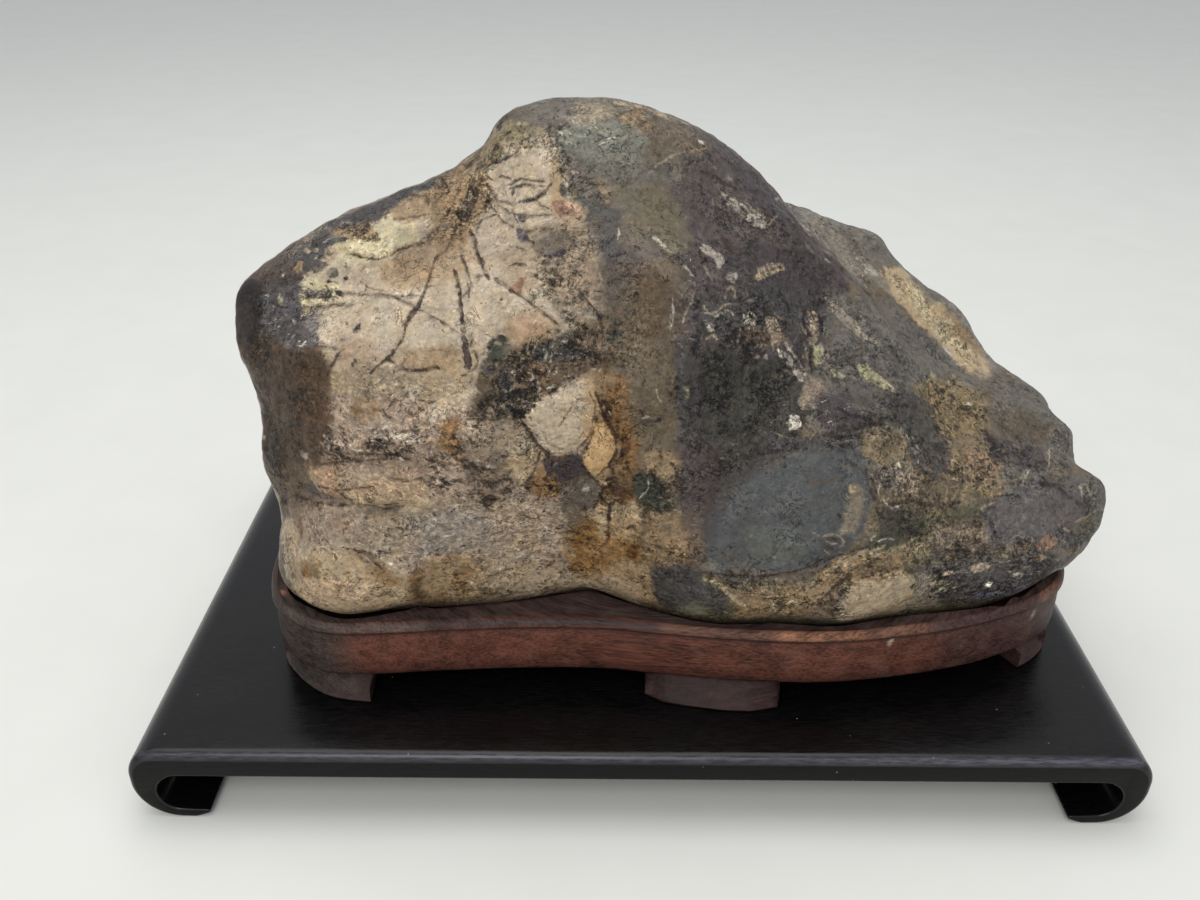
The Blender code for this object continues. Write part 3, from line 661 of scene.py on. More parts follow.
    ("peach brown", 6, 0.6, [(332, 522), (350, 516), (356, 524), (346, 532), (334, 530)]),
    ("grey tan", 8, 0.6, [(364, 540), (384, 520), (404, 520), (402, 540), (380, 548)]),
    ("cream", 4, 0.9, [(283, 520), (291, 517), (295, 532), (292, 548), (290, 580), (283, 578)]),
    ("light tan", 8, 0.95, [(296, 554), (330, 546), (356, 552), (372, 566), (398, 576), (414, 590),
        (400, 606), (352, 618), (310, 604), (290, 590)]),
    ("brown tan", 6, 0.7, [(286, 560), (304, 560), (316, 574), (304, 584), (288, 578)]),
    ("rust", 5, 0.5, [(364, 572), (384, 566), (402, 576), (396, 590), (376, 592)]),
    ("bark", 5, 0.6, [(352, 550), (372, 554), (392, 566), (380, 572), (362, 562)]),
    ("rust brown", 7, 0.8, [(416, 576), (444, 572), (448, 596), (416, 602), (410, 590)]),
    ("rust", 6, 0.7, [(420, 564), (450, 558), (486, 562), (480, 574), (450, 578), (430, 580)]),
    ("tan", 5, 0.8, [(448, 580), (470, 578), (490, 584), (484, 596), (452, 598), (444, 590)]),
    ("rust", 6, 0.6, [(462, 584), (476, 584), (500, 592), (496, 598), (466, 598)]),
    ("bluish grey", 12, 0.6, [(420, 520), (480, 512), (490, 545), (450, 562), (416, 552)]),
    ("pinkish grey", 8, 0.9, [(466, 424), (510, 424), (524, 446), (510, 462), (470, 458)]),
    ("bark", 7, 0.5, [(458, 462), (504, 462), (514, 482), (494, 510), (474, 506), (470, 484)]),
    ("light tan", 4, 0.9, [(503, 462), (512, 448), (522, 438), (536, 448), (542, 454), (537, 466),
        (528, 482), (518, 486), (508, 476)]),
    ("rust", 5, 0.8, [(526, 492), (532, 476), (541, 463), (552, 468), (561, 478), (561, 494),
        (542, 498)]),
    ("purple black", 3, 0.9, [(542, 461), (551, 455), (560, 459), (576, 453), (583, 462),
        (588, 478), (578, 482), (566, 474), (552, 470)]),
    ("smoke brown", 5, 0.95, [(559, 482), (574, 474), (590, 480), (598, 490), (599, 502),
        (592, 510), (578, 508), (562, 502)]),
    ("tan", 3, 0.9, [(597, 480), (604, 474), (610, 480), (606, 488), (599, 489)]),
    ("tan", 6, 0.9, [(610, 506), (634, 500), (642, 516), (636, 544), (612, 542), (608, 524)]),
    ("light tan", 2, 0.95, [(583, 509), (594, 509), (604, 492), (610, 499), (608, 514), (605, 538),
        (601, 545), (597, 530), (594, 517), (586, 518)]),
    ("umber", 8, 0.9, [(640, 504), (700, 510), (700, 560), (660, 556), (644, 540)]),
    ("olive grey", 8, 0.7, [(648, 516), (690, 512), (698, 548), (670, 552), (650, 540)]),
    ("dark green", 4, 0.95, [(632, 480), (641, 469), (656, 472), (668, 484), (680, 504),
        (660, 508), (642, 502), (634, 494)]),
    ("orange brown", 6, 0.85, [(564, 550), (574, 534), (592, 526), (604, 540), (622, 538),
        (640, 546), (640, 562), (612, 566), (598, 578), (574, 572)]),
    ("rust", 8, 0.5, [(580, 516), (598, 520), (602, 540), (580, 542)]),
    ("tan", 7, 0.9, [(600, 568), (628, 560), (648, 566), (656, 604), (630, 598), (604, 590)]),
    ("dark slate", 5, 0.95, [(650, 574), (660, 558), (676, 554), (704, 570), (702, 608),
        (674, 610), (658, 602)]),
    ("smooth grey", 5, 0.95, [(494, 574), (514, 565), (538, 564), (548, 578), (546, 594),
        (498, 596), (486, 590)]),
    ("olive grey", 6, 0.6, [(546, 568), (566, 566), (568, 580), (552, 586)]),
    ("cream", 3, 0.9, [(546, 590), (560, 582), (574, 580), (590, 581), (604, 590), (584, 586),
        (562, 594)]),
    ("moss grey", 5, 0.7, [(676, 606), (704, 598), (706, 614), (684, 612)]),
    ("cream", 8, 0.5, [(500, 556), (530, 552), (540, 564), (510, 564), (480, 572)]),
    ("purple brown", 8, 0.95, [(680, 440), (718, 440), (724, 480), (716, 512), (702, 530),
        (682, 500)]),
    ("pit black", 8, 0.6, [(700, 478), (722, 476), (718, 500), (706, 518), (698, 500)]),
    ("tan", 8, 0.7, [(646, 452), (680, 450), (682, 470), (660, 480), (646, 472)]),
    ("tan", 8, 0.75, [(646, 520), (690, 522), (702, 540), (696, 556), (664, 558), (646, 562)]),
    ("slate blue", 2, 1.0, [(702, 562), (703, 535), (714, 512), (728, 494), (745, 478), (765, 468),
        (785, 460), (802, 453), (832, 452), (854, 444), (864, 466), (870, 490), (866, 530),
        (842, 556), (820, 566), (800, 572), (742, 580), (706, 576)]),
    ("sea grey", 8, 0.5, [(744, 526), (790, 524), (808, 545), (796, 566), (752, 562)]),
    ("grey tan", 6, 0.55, [(848, 484), (862, 490), (864, 512), (858, 530), (840, 536), (846, 508)]),
    ("dusk purple", 5, 0.6, [(820, 540), (842, 546), (838, 560), (822, 562)]),
    ("light slate", 4, 0.5, [(701, 564), (716, 559), (722, 572), (706, 577)]),
    ("smoke brown", 5, 0.7, [(722, 562), (760, 567), (800, 571), (828, 564), (820, 577),
        (790, 581), (736, 580)]),
    ("olive grey", 4, 0.95, [(716, 580), (790, 581), (818, 577), (812, 588), (798, 602),
        (770, 608), (740, 602), (726, 592)]),
    ("brown tan", 6, 0.5, [(776, 586), (806, 584), (800, 598), (782, 602)]),
    ("dark slate", 6, 0.8, [(690, 584), (716, 586), (730, 600), (726, 614), (704, 606),
        (690, 598)]),
    ("dusk purple", 3, 0.95, [(800, 613), (812, 600), (830, 592), (843, 586), (847, 592),
        (842, 604), (838, 616), (820, 620), (804, 620)]),
    ("tan", 4, 0.7, [(818, 578), (840, 560), (866, 552), (880, 556), (850, 572), (822, 592),
        (806, 602), (812, 588)]),
    ("pale yellow", 2, 1.0, [(846, 592), (856, 580), (864, 576), (873, 579), (882, 572),
        (892, 571), (912, 572), (915, 580), (908, 586), (913, 592), (904, 597), (900, 607),
        (880, 611), (862, 615), (846, 619), (841, 616), (843, 604)]),
    ("pinkish grey", 4, 0.5, [(884, 604), (900, 598), (914, 596), (906, 606), (888, 612)]),
    ("olive tan", 6, 0.6, [(862, 556), (904, 546), (930, 540), (930, 560), (896, 566), (868, 572)]),
    ("dark green", 5, 0.7, [(868, 536), (900, 534), (896, 546), (866, 552)]),
    ("purple black", 6, 0.8, [(990, 566), (1010, 560), (1050, 560), (1040, 590), (1024, 598),
        (984, 600), (988, 580)]),
    ("dark slate", 6, 0.7, [(916, 574), (964, 566), (968, 600), (916, 602)]),
    ("moss grey", 5, 0.6, [(966, 566), (978, 561), (990, 564), (992, 571), (982, 577), (970, 574)]),
    # Painted sheen along the stone's lower right
    ("bluish gloss", 4, 0.6, [(970, 594), (990, 590), (1028, 586), (1026, 594), (976, 599)]),
    ("grey tan", 12, 0.65, [(536, 226), (582, 206), (600, 250), (608, 300), (592, 328), (562, 322),
        (546, 290), (534, 256)]),
    ("grey tan", 8, 0.8, [(326, 376), (388, 366), (440, 376), (480, 374), (476, 394), (420, 398),
        (340, 396)]),
    ("bark", 10, 0.45, [(592, 262), (640, 268), (684, 280), (684, 332), (640, 340), (600, 330)]),
    ("dark green", 6, 0.8, [(764, 424), (790, 432), (812, 442), (800, 452), (764, 462)]),
    ("brown tan", 5, 0.55, [(722, 590), (812, 584), (846, 562), (912, 548), (905, 568), (850, 582),
        (802, 612), (740, 612)]),
    # Painted light: a paler ground along the stone's lower edge, where it turns under into shade
    ("tan", 6, 0.45, [(440, 566), (500, 562), (560, 566), (604, 584), (590, 600), (440, 602)]),
    ("purple grey", 5, 0.8, [(716, 142), (745, 152), (802, 216), (792, 240), (740, 190)]),
    ("summit grey", 10, 0.5, [(552, 138), (640, 132), (640, 168), (560, 168)]),
    ("soot", 10, 0.4, [(244, 282), (300, 272), (304, 340), (262, 342)]),
    ("bark", 8, 0.4, [(316, 446), (420, 442), (500, 440), (506, 468), (420, 472), (330, 464)]),
    ("slate", 8, 0.5, [(820, 350), (880, 366), (880, 392), (840, 396), (822, 380)]),
    ("dusk purple", 8, 0.75, [(724, 144), (748, 156), (802, 216), (800, 240), (766, 214),
        (736, 176)]),
    ("summit grey", 8, 0.55, [(556, 146), (600, 146), (640, 156), (622, 176), (572, 182)]),
    ("bark", 8, 0.4, [(392, 226), (424, 224), (432, 246), (428, 266), (396, 268)]),
    ("bark", 10, 0.3, [(534, 236), (580, 226), (600, 262), (600, 316), (560, 318), (540, 280)]),
    ("bark", 10, 0.35, [(612, 262), (684, 262), (686, 334), (620, 336)]),
    ("bark", 8, 0.25, [(440, 336), (476, 336), (480, 366), (440, 366)]),
    ("bark", 8, 0.25, [(340, 336), (378, 344), (374, 366), (340, 366)]),
    ("bark", 6, 0.3, [(524, 326), (560, 326), (560, 342), (520, 348)]),
    ("dark slate", 6, 0.8, [(764, 436), (800, 440), (846, 440), (850, 452), (800, 454),
        (766, 464)]),
    ("slate", 8, 0.6, [(852, 390), (884, 392), (886, 416), (856, 412)]),
    ("rust brown", 8, 0.35, [(256, 372), (290, 372), (292, 440), (258, 440)]),
    ("brown tan", 8, 0.65, [(646, 510), (700, 512), (704, 566), (650, 566)]),
    ("purple brown", 8, 0.6, [(676, 470), (716, 470), (706, 560), (690, 566), (680, 520)]),
    # Painted light: a paler ground along the stone's lower edge, where it turns under into shade
    ("light tan", 6, 0.45, [(440, 572), (500, 566), (560, 570), (604, 584), (590, 604),
        (440, 606)]),
    ("pinkish grey", 8, 0.5, [(462, 526), (510, 526), (512, 566), (470, 566)]),
    ("light tan", 3, 0.7, [(846, 590), (862, 578), (912, 573), (914, 594), (902, 612), (862, 624),
        (840, 624), (842, 604)]),
    ("brown tan", 5, 0.5, [(730, 596), (800, 596), (842, 566), (900, 552), (900, 568), (850, 588),
        (806, 616), (740, 616)]),
    ("brown tan", 4, 0.9, [(596, 372), (612, 376), (628, 384), (634, 398), (622, 408), (600, 402)]),
    ("warm umber", 5, 0.8, [(600, 398), (614, 396), (632, 410), (640, 440), (636, 474), (634, 500),
        (604, 500), (606, 470), (616, 452), (612, 432), (602, 418)]),
    ("umber", 6, 0.8, [(622, 396), (644, 394), (646, 440), (634, 440), (622, 424)]),
    ("brown tan", 3, 0.8, [(604, 462), (622, 462), (632, 470), (630, 486), (604, 486)]),
    ("light tan", 4, 0.75, [(598, 502), (612, 500), (636, 504), (640, 520), (596, 520)]),
    ("umber", 3, 0.9, [(486, 364), (506, 352), (530, 344), (560, 344), (584, 350), (596, 358),
        (580, 368), (560, 388), (538, 400), (530, 410), (500, 420), (486, 412)]),
    ("slate", 5, 0.85, [(556, 334), (576, 326), (606, 326), (606, 352), (580, 352), (560, 350)]),
    ("brown tan", 3, 0.5, [(520, 356), (556, 364), (560, 388), (538, 398), (518, 384)]),
    ("ivory", 4, 0.9, [(486, 182), (504, 176), (548, 176), (552, 200), (546, 226), (520, 224),
        (500, 210), (490, 200)]),
    ("tan", 5, 0.85, [(446, 190), (462, 178), (482, 170), (490, 184), (494, 206), (482, 216),
        (474, 232), (456, 232), (446, 216)]),
    ("brown tan", 5, 0.6, [(446, 196), (464, 182), (482, 178), (486, 206), (470, 222), (450, 218)]),
    ("smoke brown", 3, 0.8, [(543, 238), (552, 230), (562, 232), (572, 238), (576, 250),
        (560, 256), (545, 254)]),
    ("soot", 4, 0.75, [(926, 566), (990, 562), (1040, 556), (1060, 556), (1052, 574), (1016, 588),
        (960, 600), (926, 606)]),
    ("smoke brown", 4, 0.6, [(926, 540), (1000, 544), (1044, 548), (1030, 558), (930, 560)]),
    ("light tan", 6, 0.55, [(300, 556), (340, 548), (400, 584), (396, 604), (340, 608),
        (300, 590)]),
    ("cream", 5, 0.6, [(340, 590), (372, 582), (380, 600), (350, 608)]),
    ("light tan", 3, 0.7, [(352, 484), (400, 478), (424, 480), (430, 512), (420, 522), (400, 504),
        (352, 508)]),
    # Painted shade below the crease
    ("bark", 3, 0.6, [(360, 508), (396, 504), (410, 514), (390, 520), (366, 514)]),
    ("rust brown", 6, 0.5, [(420, 572), (444, 560), (476, 560), (470, 580), (446, 600),
        (424, 600)]),
    ("orange brown", 5, 0.45, [(300, 562), (318, 560), (322, 576), (304, 580)]),
    ("orange brown", 5, 0.4, [(372, 566), (400, 572), (404, 588), (380, 586)]),
    ("peach", 5, 0.4, [(316, 468), (336, 470), (338, 488), (322, 490)]),
    ("peach", 6, 0.35, [(300, 586), (340, 578), (376, 586), (374, 604), (330, 606)]),
    ("orange brown", 4, 0.5, [(612, 400), (630, 404), (636, 440), (632, 480), (616, 480),
        (622, 440)]),
    ("dark slate", 4, 0.85, [(700, 540), (712, 505), (735, 474), (765, 450), (800, 438),
        (852, 430), (858, 446), (800, 453), (768, 464), (740, 485), (722, 512), (712, 545)]),
    ("nose purple", 6, 0.55, [(915, 568), (1060, 548), (1072, 560), (1035, 585), (1000, 597),
        (915, 604)]),
    ("brown tan", 6, 0.6, [(424, 566), (478, 562), (476, 590), (430, 600)]),
    ("ivory", 6, 0.5, [(500, 140), (540, 136), (548, 165), (510, 172)]),
    ("tan", 10, 0.35, [(500, 250), (545, 250), (550, 290), (505, 295)]),
    ("olive", 8, 0.5, [(620, 200), (665, 200), (672, 242), (625, 242)]),
    ("teal grey", 8, 0.6, [(572, 130), (600, 120), (640, 132), (644, 160), (600, 168), (574, 156)]),
    ("rust brown", 10, 0.5, [(265, 350), (330, 360), (334, 420), (320, 470), (274, 460)]),
    ("rust", 4, 0.55, [(440, 420), (456, 418), (462, 440), (452, 456), (440, 450)]),
    ("cream", 6, 0.55, [(424, 408), (440, 392), (470, 380), (478, 392), (462, 408), (440, 420)]),
    ("pale grey tan", 6, 0.6, [(470, 420), (528, 420), (534, 446), (520, 458), (488, 450),
        (466, 440)]),
    ("dusk purple", 5, 0.55, [(985, 432), (1010, 438), (1042, 456), (1050, 470), (1020, 472),
        (990, 456)]),
    ("light grey", 5, 0.4, [(894, 462), (912, 460), (922, 480), (920, 498), (900, 494)]),
    ("orange brown", 4, 0.6, [(606, 384), (622, 380), (628, 410), (616, 420), (606, 404)]),
    ("rust brown", 4, 0.6, [(560, 462), (576, 458), (590, 474), (580, 486), (556, 482)]),
    ("pale grey tan", 8, 0.35, [(300, 505), (560, 498), (575, 556), (300, 556)]),
    ("rust brown", 6, 0.4, [(560, 340), (600, 332), (610, 372), (540, 392), (480, 400), (480, 380),
        (530, 360)]),
    # Painted sheen: a pale arc where the curved ridge catches the light
    ("smooth grey", 8, 0.3, [(634, 234), (650, 240), (674, 262), (694, 292), (686, 300),
        (664, 278), (644, 258), (630, 246)]),
    ("purple grey", 6, 0.5, [(690, 440), (712, 440), (704, 520), (690, 540), (680, 500)]),
    ("dusk purple", 12, 0.38, [(690, 330), (800, 330), (812, 400), (790, 450), (740, 478),
        (704, 500), (684, 440), (682, 360)]),
    ("slate", 8, 0.25, [(568, 128), (600, 118), (644, 132), (646, 162), (600, 172), (570, 158)]),
    # Painted light: a paler ground along the stone's lower edge, where it turns under into shade
    ("cream", 8, 0.35, [(478, 562), (600, 572), (640, 584), (640, 606), (600, 602), (478, 606)]),
    ("tan", 6, 0.65, [(424, 558), (480, 556), (482, 598), (424, 602)]),
    # Painted light: a paler ground along the stone's lower edge, where it turns under into shade
    ("cream", 6, 0.4, [(836, 590), (936, 572), (938, 606), (836, 624)]),
    ("tan", 6, 0.35, [(740, 592), (836, 590), (836, 620), (740, 614)]),
    ("tan", 10, 0.4, [(424, 348), (462, 348), (464, 400), (442, 412), (424, 402)]),
    ("tan", 10, 0.3, [(330, 350), (470, 350), (470, 385), (330, 395)]),
    ("rust brown", 8, 0.45, [(248, 345), (282, 345), (284, 408), (262, 408)]),
    ("pinkish grey", 10, 0.35, [(290, 500), (356, 498), (356, 528), (290, 528)]),
    ("bark", 8, 0.4, [(636, 285), (668, 285), (668, 320), (636, 320)]),
    ("dusk purple", 8, 0.5, [(696, 104), (730, 126), (772, 166), (806, 205), (784, 208),
        (745, 176), (712, 148), (690, 130)]),
    ("tan", 5, 0.5, [(452, 160), (490, 126), (502, 140), (477, 172), (460, 180)]),
    ("brown tan", 6, 0.45, [(572, 318), (606, 318), (608, 350), (572, 352)]),
    ("rust brown", 5, 0.5, [(608, 470), (634, 470), (634, 492), (608, 492)]),
    ("tan", 6, 0.2, [(608, 556), (650, 556), (646, 582), (608, 582)]),
    ("dark slate", 10, 0.42, [(835, 348), (905, 345), (908, 402), (835, 406)]),
    ("dark slate", 8, 0.3, [(715, 440), (775, 430), (775, 470), (730, 490)]),
    ("tan", 5, 0.45, [(438, 562), (456, 559), (466, 578), (456, 590), (440, 582)]),
    ("orange brown", 4, 0.5, [(456, 566), (472, 570), (466, 590), (454, 586)]),
    ("rust brown", 3, 0.5, [(484, 586), (506, 591), (500, 598), (482, 596)]),
    ("rust brown", 4, 0.4, [(300, 560), (322, 566), (318, 580), (298, 574)]),
    ("bluish grey", 8, 0.4, [(400, 510), (480, 505), (502, 530), (480, 552), (410, 554)]),
    ("rust pink", 8, 0.28, [(310, 464), (424, 468), (434, 500), (330, 502)]),
    ("orange brown", 4, 0.45, [(612, 546), (640, 544), (642, 558), (620, 562)]),
    ("umber", 8, 0.12, [(588, 200), (604, 196), (640, 214), (660, 206), (664, 236), (600, 250)]),
    ("bark", 8, 0.14, [(498, 232), (560, 236), (566, 290), (500, 286)]),
    ("orange tan", 5, 0.18, [(584, 528), (624, 530), (626, 576), (584, 574)]),
]

# Crisp mottling over the grounds: (tint, density 0 to 1, edge softness px, outline)
MOTTLES = [
    ("bark", 0.1, 14, [(300, 300), (312, 262), (352, 228), (446, 184), (498, 124), (560, 140),
        (596, 255), (604, 305), (540, 345), (478, 372), (380, 385), (318, 350)]),
    ("light slate", 0.14, 14, [(650, 110), (760, 150), (852, 262), (836, 330), (700, 300),
        (660, 200)]),
    ("light slate", 0.1, 8, [(778, 186), (884, 234), (1010, 372), (985, 388), (900, 340),
        (840, 270)]),
    ("soot", 0.14, 12, [(690, 360), (806, 380), (790, 440), (700, 545), (684, 480)]),
    ("brown tan", 0.12, 6, [(522, 421), (556, 392), (600, 366), (604, 404), (588, 442),
        (558, 457)]),
    ("brown tan", 0.12, 4, [(601, 424), (614, 455), (606, 466), (588, 472), (584, 462)]),
    ("slate", 0.1, 8, [(983, 508), (1046, 480), (1097, 509), (1050, 532), (992, 536)]),
    ("bark", 0.16, 8, [(625, 350), (674, 346), (678, 470), (634, 470)]),
    ("bark", 0.12, 8, [(494, 574), (538, 562), (548, 578), (546, 594), (486, 592)]),
    ("rust brown", 0.45, 30, [(270, 470), (330, 440), (420, 520), (470, 600), (300, 620)]),
    ("bark", 0.35, 30, [(300, 440), (540, 430), (560, 500), (560, 600), (420, 540), (300, 520)]),
    ("pit black", 0.45, 16, [(478, 372), (552, 338), (642, 318), (640, 350), (538, 392),
        (482, 420)]),
    ("pit black", 0.3, 20, [(236, 340), (330, 362), (318, 470), (262, 500)]),
    ("deep rust", 0.45, 20, [(600, 372), (640, 420), (648, 580), (560, 580), (600, 480)]),
    ("bark", 0.4, 24, [(612, 330), (684, 340), (690, 600), (640, 600)]),
    ("light slate", 0.22, 26, [(690, 120), (850, 262), (836, 330), (680, 340)]),
    ("olive", 0.35, 26, [(505, 96), (745, 150), (660, 200), (588, 250), (528, 118)]),
    ("soot", 0.35, 26, [(684, 360), (806, 360), (800, 440), (700, 545), (684, 520)]),
    ("green brown", 0.4, 26, [(800, 352), (905, 396), (1080, 440), (1078, 470), (985, 500),
        (870, 540)]),
    ("soot", 0.34, 10, [(915, 380), (985, 396), (986, 490), (944, 450)]),
    ("soot", 0.3, 16, [(700, 575), (868, 545), (985, 500), (1080, 560), (900, 620), (700, 618)]),
    ("bark", 0.55, 6, [(334, 226), (376, 222), (376, 238), (334, 240)]),
    ("bark", 0.35, 10, [(425, 196), (470, 162), (484, 178), (482, 215), (462, 250), (428, 246)]),
    ("bark", 0.35, 8, [(462, 166), (500, 122), (545, 135), (540, 146), (494, 165), (468, 182)]),
    ("white", 0.45, 6, [(560, 100), (612, 98), (618, 124), (600, 146), (560, 136)]),
    ("brown tan", 0.35, 10, [(610, 104), (700, 126), (690, 150), (640, 160), (612, 140)]),
    ("white", 0.22, 8, [(584, 200), (622, 230), (640, 300), (604, 306)]),
    ("bark", 0.3, 10, [(536, 226), (600, 256), (602, 306), (530, 300)]),
    ("white", 0.3, 8, [(262, 290), (316, 296), (316, 346), (290, 346), (264, 324)]),
    ("soot", 0.4, 10, [(236, 296), (262, 300), (270, 350), (306, 350), (326, 400), (310, 460),
        (266, 460), (250, 350)]),
    ("bark", 0.45, 5, [(302, 280), (340, 284), (342, 300), (304, 314)]),
    ("pit black", 0.5, 5, [(498, 366), (574, 364), (574, 382), (520, 400), (500, 392)]),
    ("light slate", 0.42, 5, [(524, 350), (566, 338), (600, 330), (596, 348), (548, 362)]),
    ("bark", 0.55, 7, [(560, 288), (606, 296), (640, 320), (604, 340), (560, 322)]),
    ("white", 0.45, 5, [(492, 388), (534, 388), (520, 400), (494, 402)]),
    ("bark", 0.34, 8, [(350, 398), (420, 396), (446, 424), (440, 450), (360, 430)]),
    ("white", 0.4, 6, [(320, 428), (350, 430), (420, 444), (424, 462), (330, 452)]),
    ("bark", 0.5, 6, [(440, 424), (466, 420), (462, 460), (444, 458)]),
    # Painted glints: pale specks where the ridge catches the light
    ("white", 0.3, 8, [(648, 232), (704, 262), (700, 290), (664, 276)]),
    ("bark", 0.22, 10, [(632, 350), (672, 346), (674, 470), (634, 470)]),
    ("bark", 0.28, 5, [(888, 270), (934, 304), (986, 374), (942, 342), (893, 292)]),
    ("soot", 0.35, 8, [(604, 398), (624, 410), (634, 460), (616, 464)]),
    ("brown tan", 0.25, 10, [(784, 190), (880, 236), (868, 288), (812, 232)]),
    ("chip", 0.34, 8, [(700, 296), (800, 296), (826, 340), (822, 372), (760, 350), (700, 345)]),
    ("light slate", 0.3, 10, [(684, 360), (800, 380), (790, 440), (700, 470)]),
    ("white", 0.22, 8, [(820, 392), (870, 400), (868, 420), (824, 428)]),
    ("pit black", 0.42, 5, [(916, 384), (984, 416), (1004, 480), (984, 497), (948, 440)]),
    ("bark", 0.4, 5, [(862, 430), (890, 428), (906, 460), (868, 466)]),
    ("light slate", 0.32, 8, [(988, 376), (1030, 388), (1070, 440), (1040, 470), (1000, 440)]),
    ("light slate", 0.42, 8, [(870, 466), (950, 478), (980, 500), (900, 512), (872, 500)]),
    ("pinkish grey", 0.45, 8, [(926, 520), (990, 510), (1040, 540), (1000, 560), (930, 556)]),
    ("chip", 0.3, 6, [(984, 540), (1060, 536), (1060, 560), (990, 562)]),
    ("soot", 0.5, 6, [(984, 538), (1070, 530), (1060, 570), (940, 566)]),
    ("soot", 0.5, 8, [(262, 440), (300, 440), (306, 460), (312, 500), (300, 520), (274, 510)]),
    ("chip", 0.3, 8, [(300, 440), (420, 446), (470, 520), (470, 560), (420, 540), (300, 470)]),
    ("bark", 0.26, 8, [(340, 474), (430, 474), (430, 516), (350, 506)]),
    ("bark", 0.36, 8, [(300, 506), (420, 520), (420, 550), (302, 544)]),
    ("rust", 0.3, 8, [(296, 556), (356, 552), (414, 590), (352, 614), (296, 596)]),
    ("rust brown", 0.55, 5, [(362, 572), (384, 566), (404, 578), (396, 592), (374, 592)]),
    ("white", 0.42, 10, [(420, 512), (490, 500), (500, 540), (450, 562), (416, 552)]),
    ("pit black", 0.52, 6, [(440, 476), (462, 460), (504, 462), (514, 482), (494, 510),
        (440, 490)]),
    ("white", 0.34, 10, [(500, 500), (570, 500), (560, 560), (500, 556)]),
    ("bark", 0.4, 8, [(444, 424), (520, 428), (506, 458), (462, 460)]),
    ("pit black", 0.4, 5, [(526, 492), (541, 463), (561, 478), (560, 496)]),
    ("chip", 0.24, 6, [(562, 482), (598, 488), (592, 508), (566, 500)]),
    ("tan", 0.4, 5, [(604, 462), (636, 462), (640, 496), (610, 498)]),
    ("deep rust", 0.4, 8, [(564, 550), (592, 526), (640, 546), (612, 566), (574, 572)]),
    ("bark", 0.3, 8, [(610, 506), (642, 516), (650, 570), (612, 560)]),
    ("soot", 0.36, 8, [(640, 504), (700, 510), (700, 556), (650, 550)]),
    ("chip", 0.24, 8, [(650, 508), (704, 510), (704, 552), (660, 548)]),
    ("bark", 0.3, 6, [(600, 568), (650, 566), (656, 602), (610, 590)]),
    ("bark", 0.4, 5, [(646, 450), (682, 450), (684, 480), (676, 516), (646, 510)]),
    ("light slate", 0.1, 5, [(704, 556), (716, 512), (765, 468), (832, 452), (862, 466),
        (840, 520), (800, 560)]),
    ("moss grey", 0.34, 6, [(746, 528), (790, 524), (806, 548), (792, 566), (752, 562)]),
    ("chip", 0.5, 5, [(846, 484), (862, 490), (864, 512), (848, 540), (822, 546), (838, 520)]),
    ("bark", 0.36, 5, [(716, 580), (812, 578), (800, 602), (740, 602)]),
    ("rust brown", 0.24, 4, [(846, 592), (864, 576), (912, 572), (900, 607), (846, 619)]),
    ("chip", 0.34, 5, [(916, 580), (990, 562), (1040, 566), (1030, 590), (976, 598), (916, 602)]),
    ("soot", 0.4, 5, [(920, 540), (990, 540), (990, 566), (930, 570)]),
    ("bark", 0.42, 8, [(540, 226), (586, 206), (606, 260), (606, 326), (566, 322), (548, 290)]),
    ("pit black", 0.62, 5, [(524, 350), (566, 338), (600, 332), (596, 350), (548, 362)]),
    ("pit black", 0.5, 6, [(470, 380), (500, 366), (574, 366), (570, 384), (520, 402), (480, 418)]),
    ("bark", 0.4, 6, [(320, 444), (500, 440), (506, 466), (330, 464)]),
    ("bark", 0.34, 10, [(592, 200), (684, 210), (684, 340), (600, 330)]),
    ("burnt", 0.4, 4, [(598, 398), (612, 394), (634, 404), (640, 440), (638, 500), (604, 500),
        (604, 470), (616, 450), (612, 432)]),
    ("soot", 0.52, 3, [(486, 362), (506, 350), (530, 342), (560, 342), (584, 346), (598, 358),
        (580, 368), (560, 390), (538, 402), (530, 412), (500, 420), (486, 412)]),
    ("deep brown", 0.42, 4, [(446, 192), (464, 178), (484, 170), (490, 190), (490, 208),
        (474, 226), (452, 222)]),
    ("umber", 0.34, 8, [(322, 372), (400, 366), (470, 376), (484, 372), (478, 430), (470, 462),
        (310, 462), (318, 420)]),
    ("umber", 0.28, 8, [(300, 500), (420, 512), (480, 505), (560, 505), (600, 520), (600, 560),
        (480, 562), (300, 545)]),
    ("purple black", 0.5, 4, [(316, 432), (330, 426), (372, 440), (420, 436), (436, 446),
        (430, 458), (380, 464), (318, 462)]),
    ("pit black", 0.48, 4, [(424, 462), (466, 458), (508, 466), (506, 510), (480, 512), (474, 486),
        (424, 492)]),
    ("light grey", 0.42, 6, [(418, 516), (482, 516), (486, 556), (424, 560)]),
    ("deep brown", 0.45, 6, [(276, 380), (318, 380), (322, 430), (318, 500), (284, 500)]),
    ("rust brown", 0.46, 4, [(420, 560), (480, 558), (500, 580), (496, 600), (420, 602)]),
    ("rust brown", 0.44, 3, [(434, 412), (462, 410), (462, 460), (440, 462)]),
    ("rust brown", 0.36, 5, [(362, 566), (410, 572), (410, 596), (366, 590)]),
    ("soot", 0.42, 5, [(780, 300), (830, 300), (830, 356), (780, 352)]),
    ("soot", 0.46, 5, [(690, 296), (780, 296), (800, 360), (780, 420), (700, 440), (690, 360)]),
    ("purple black", 0.34, 8, [(690, 180), (760, 170), (810, 240), (820, 296), (700, 296)]),
    ("soot", 0.5, 4, [(926, 562), (1000, 560), (1064, 556), (1050, 580), (1000, 596), (930, 602)]),
    ("bark", 0.44, 5, [(862, 462), (930, 462), (990, 470), (996, 552), (930, 556), (866, 510)]),
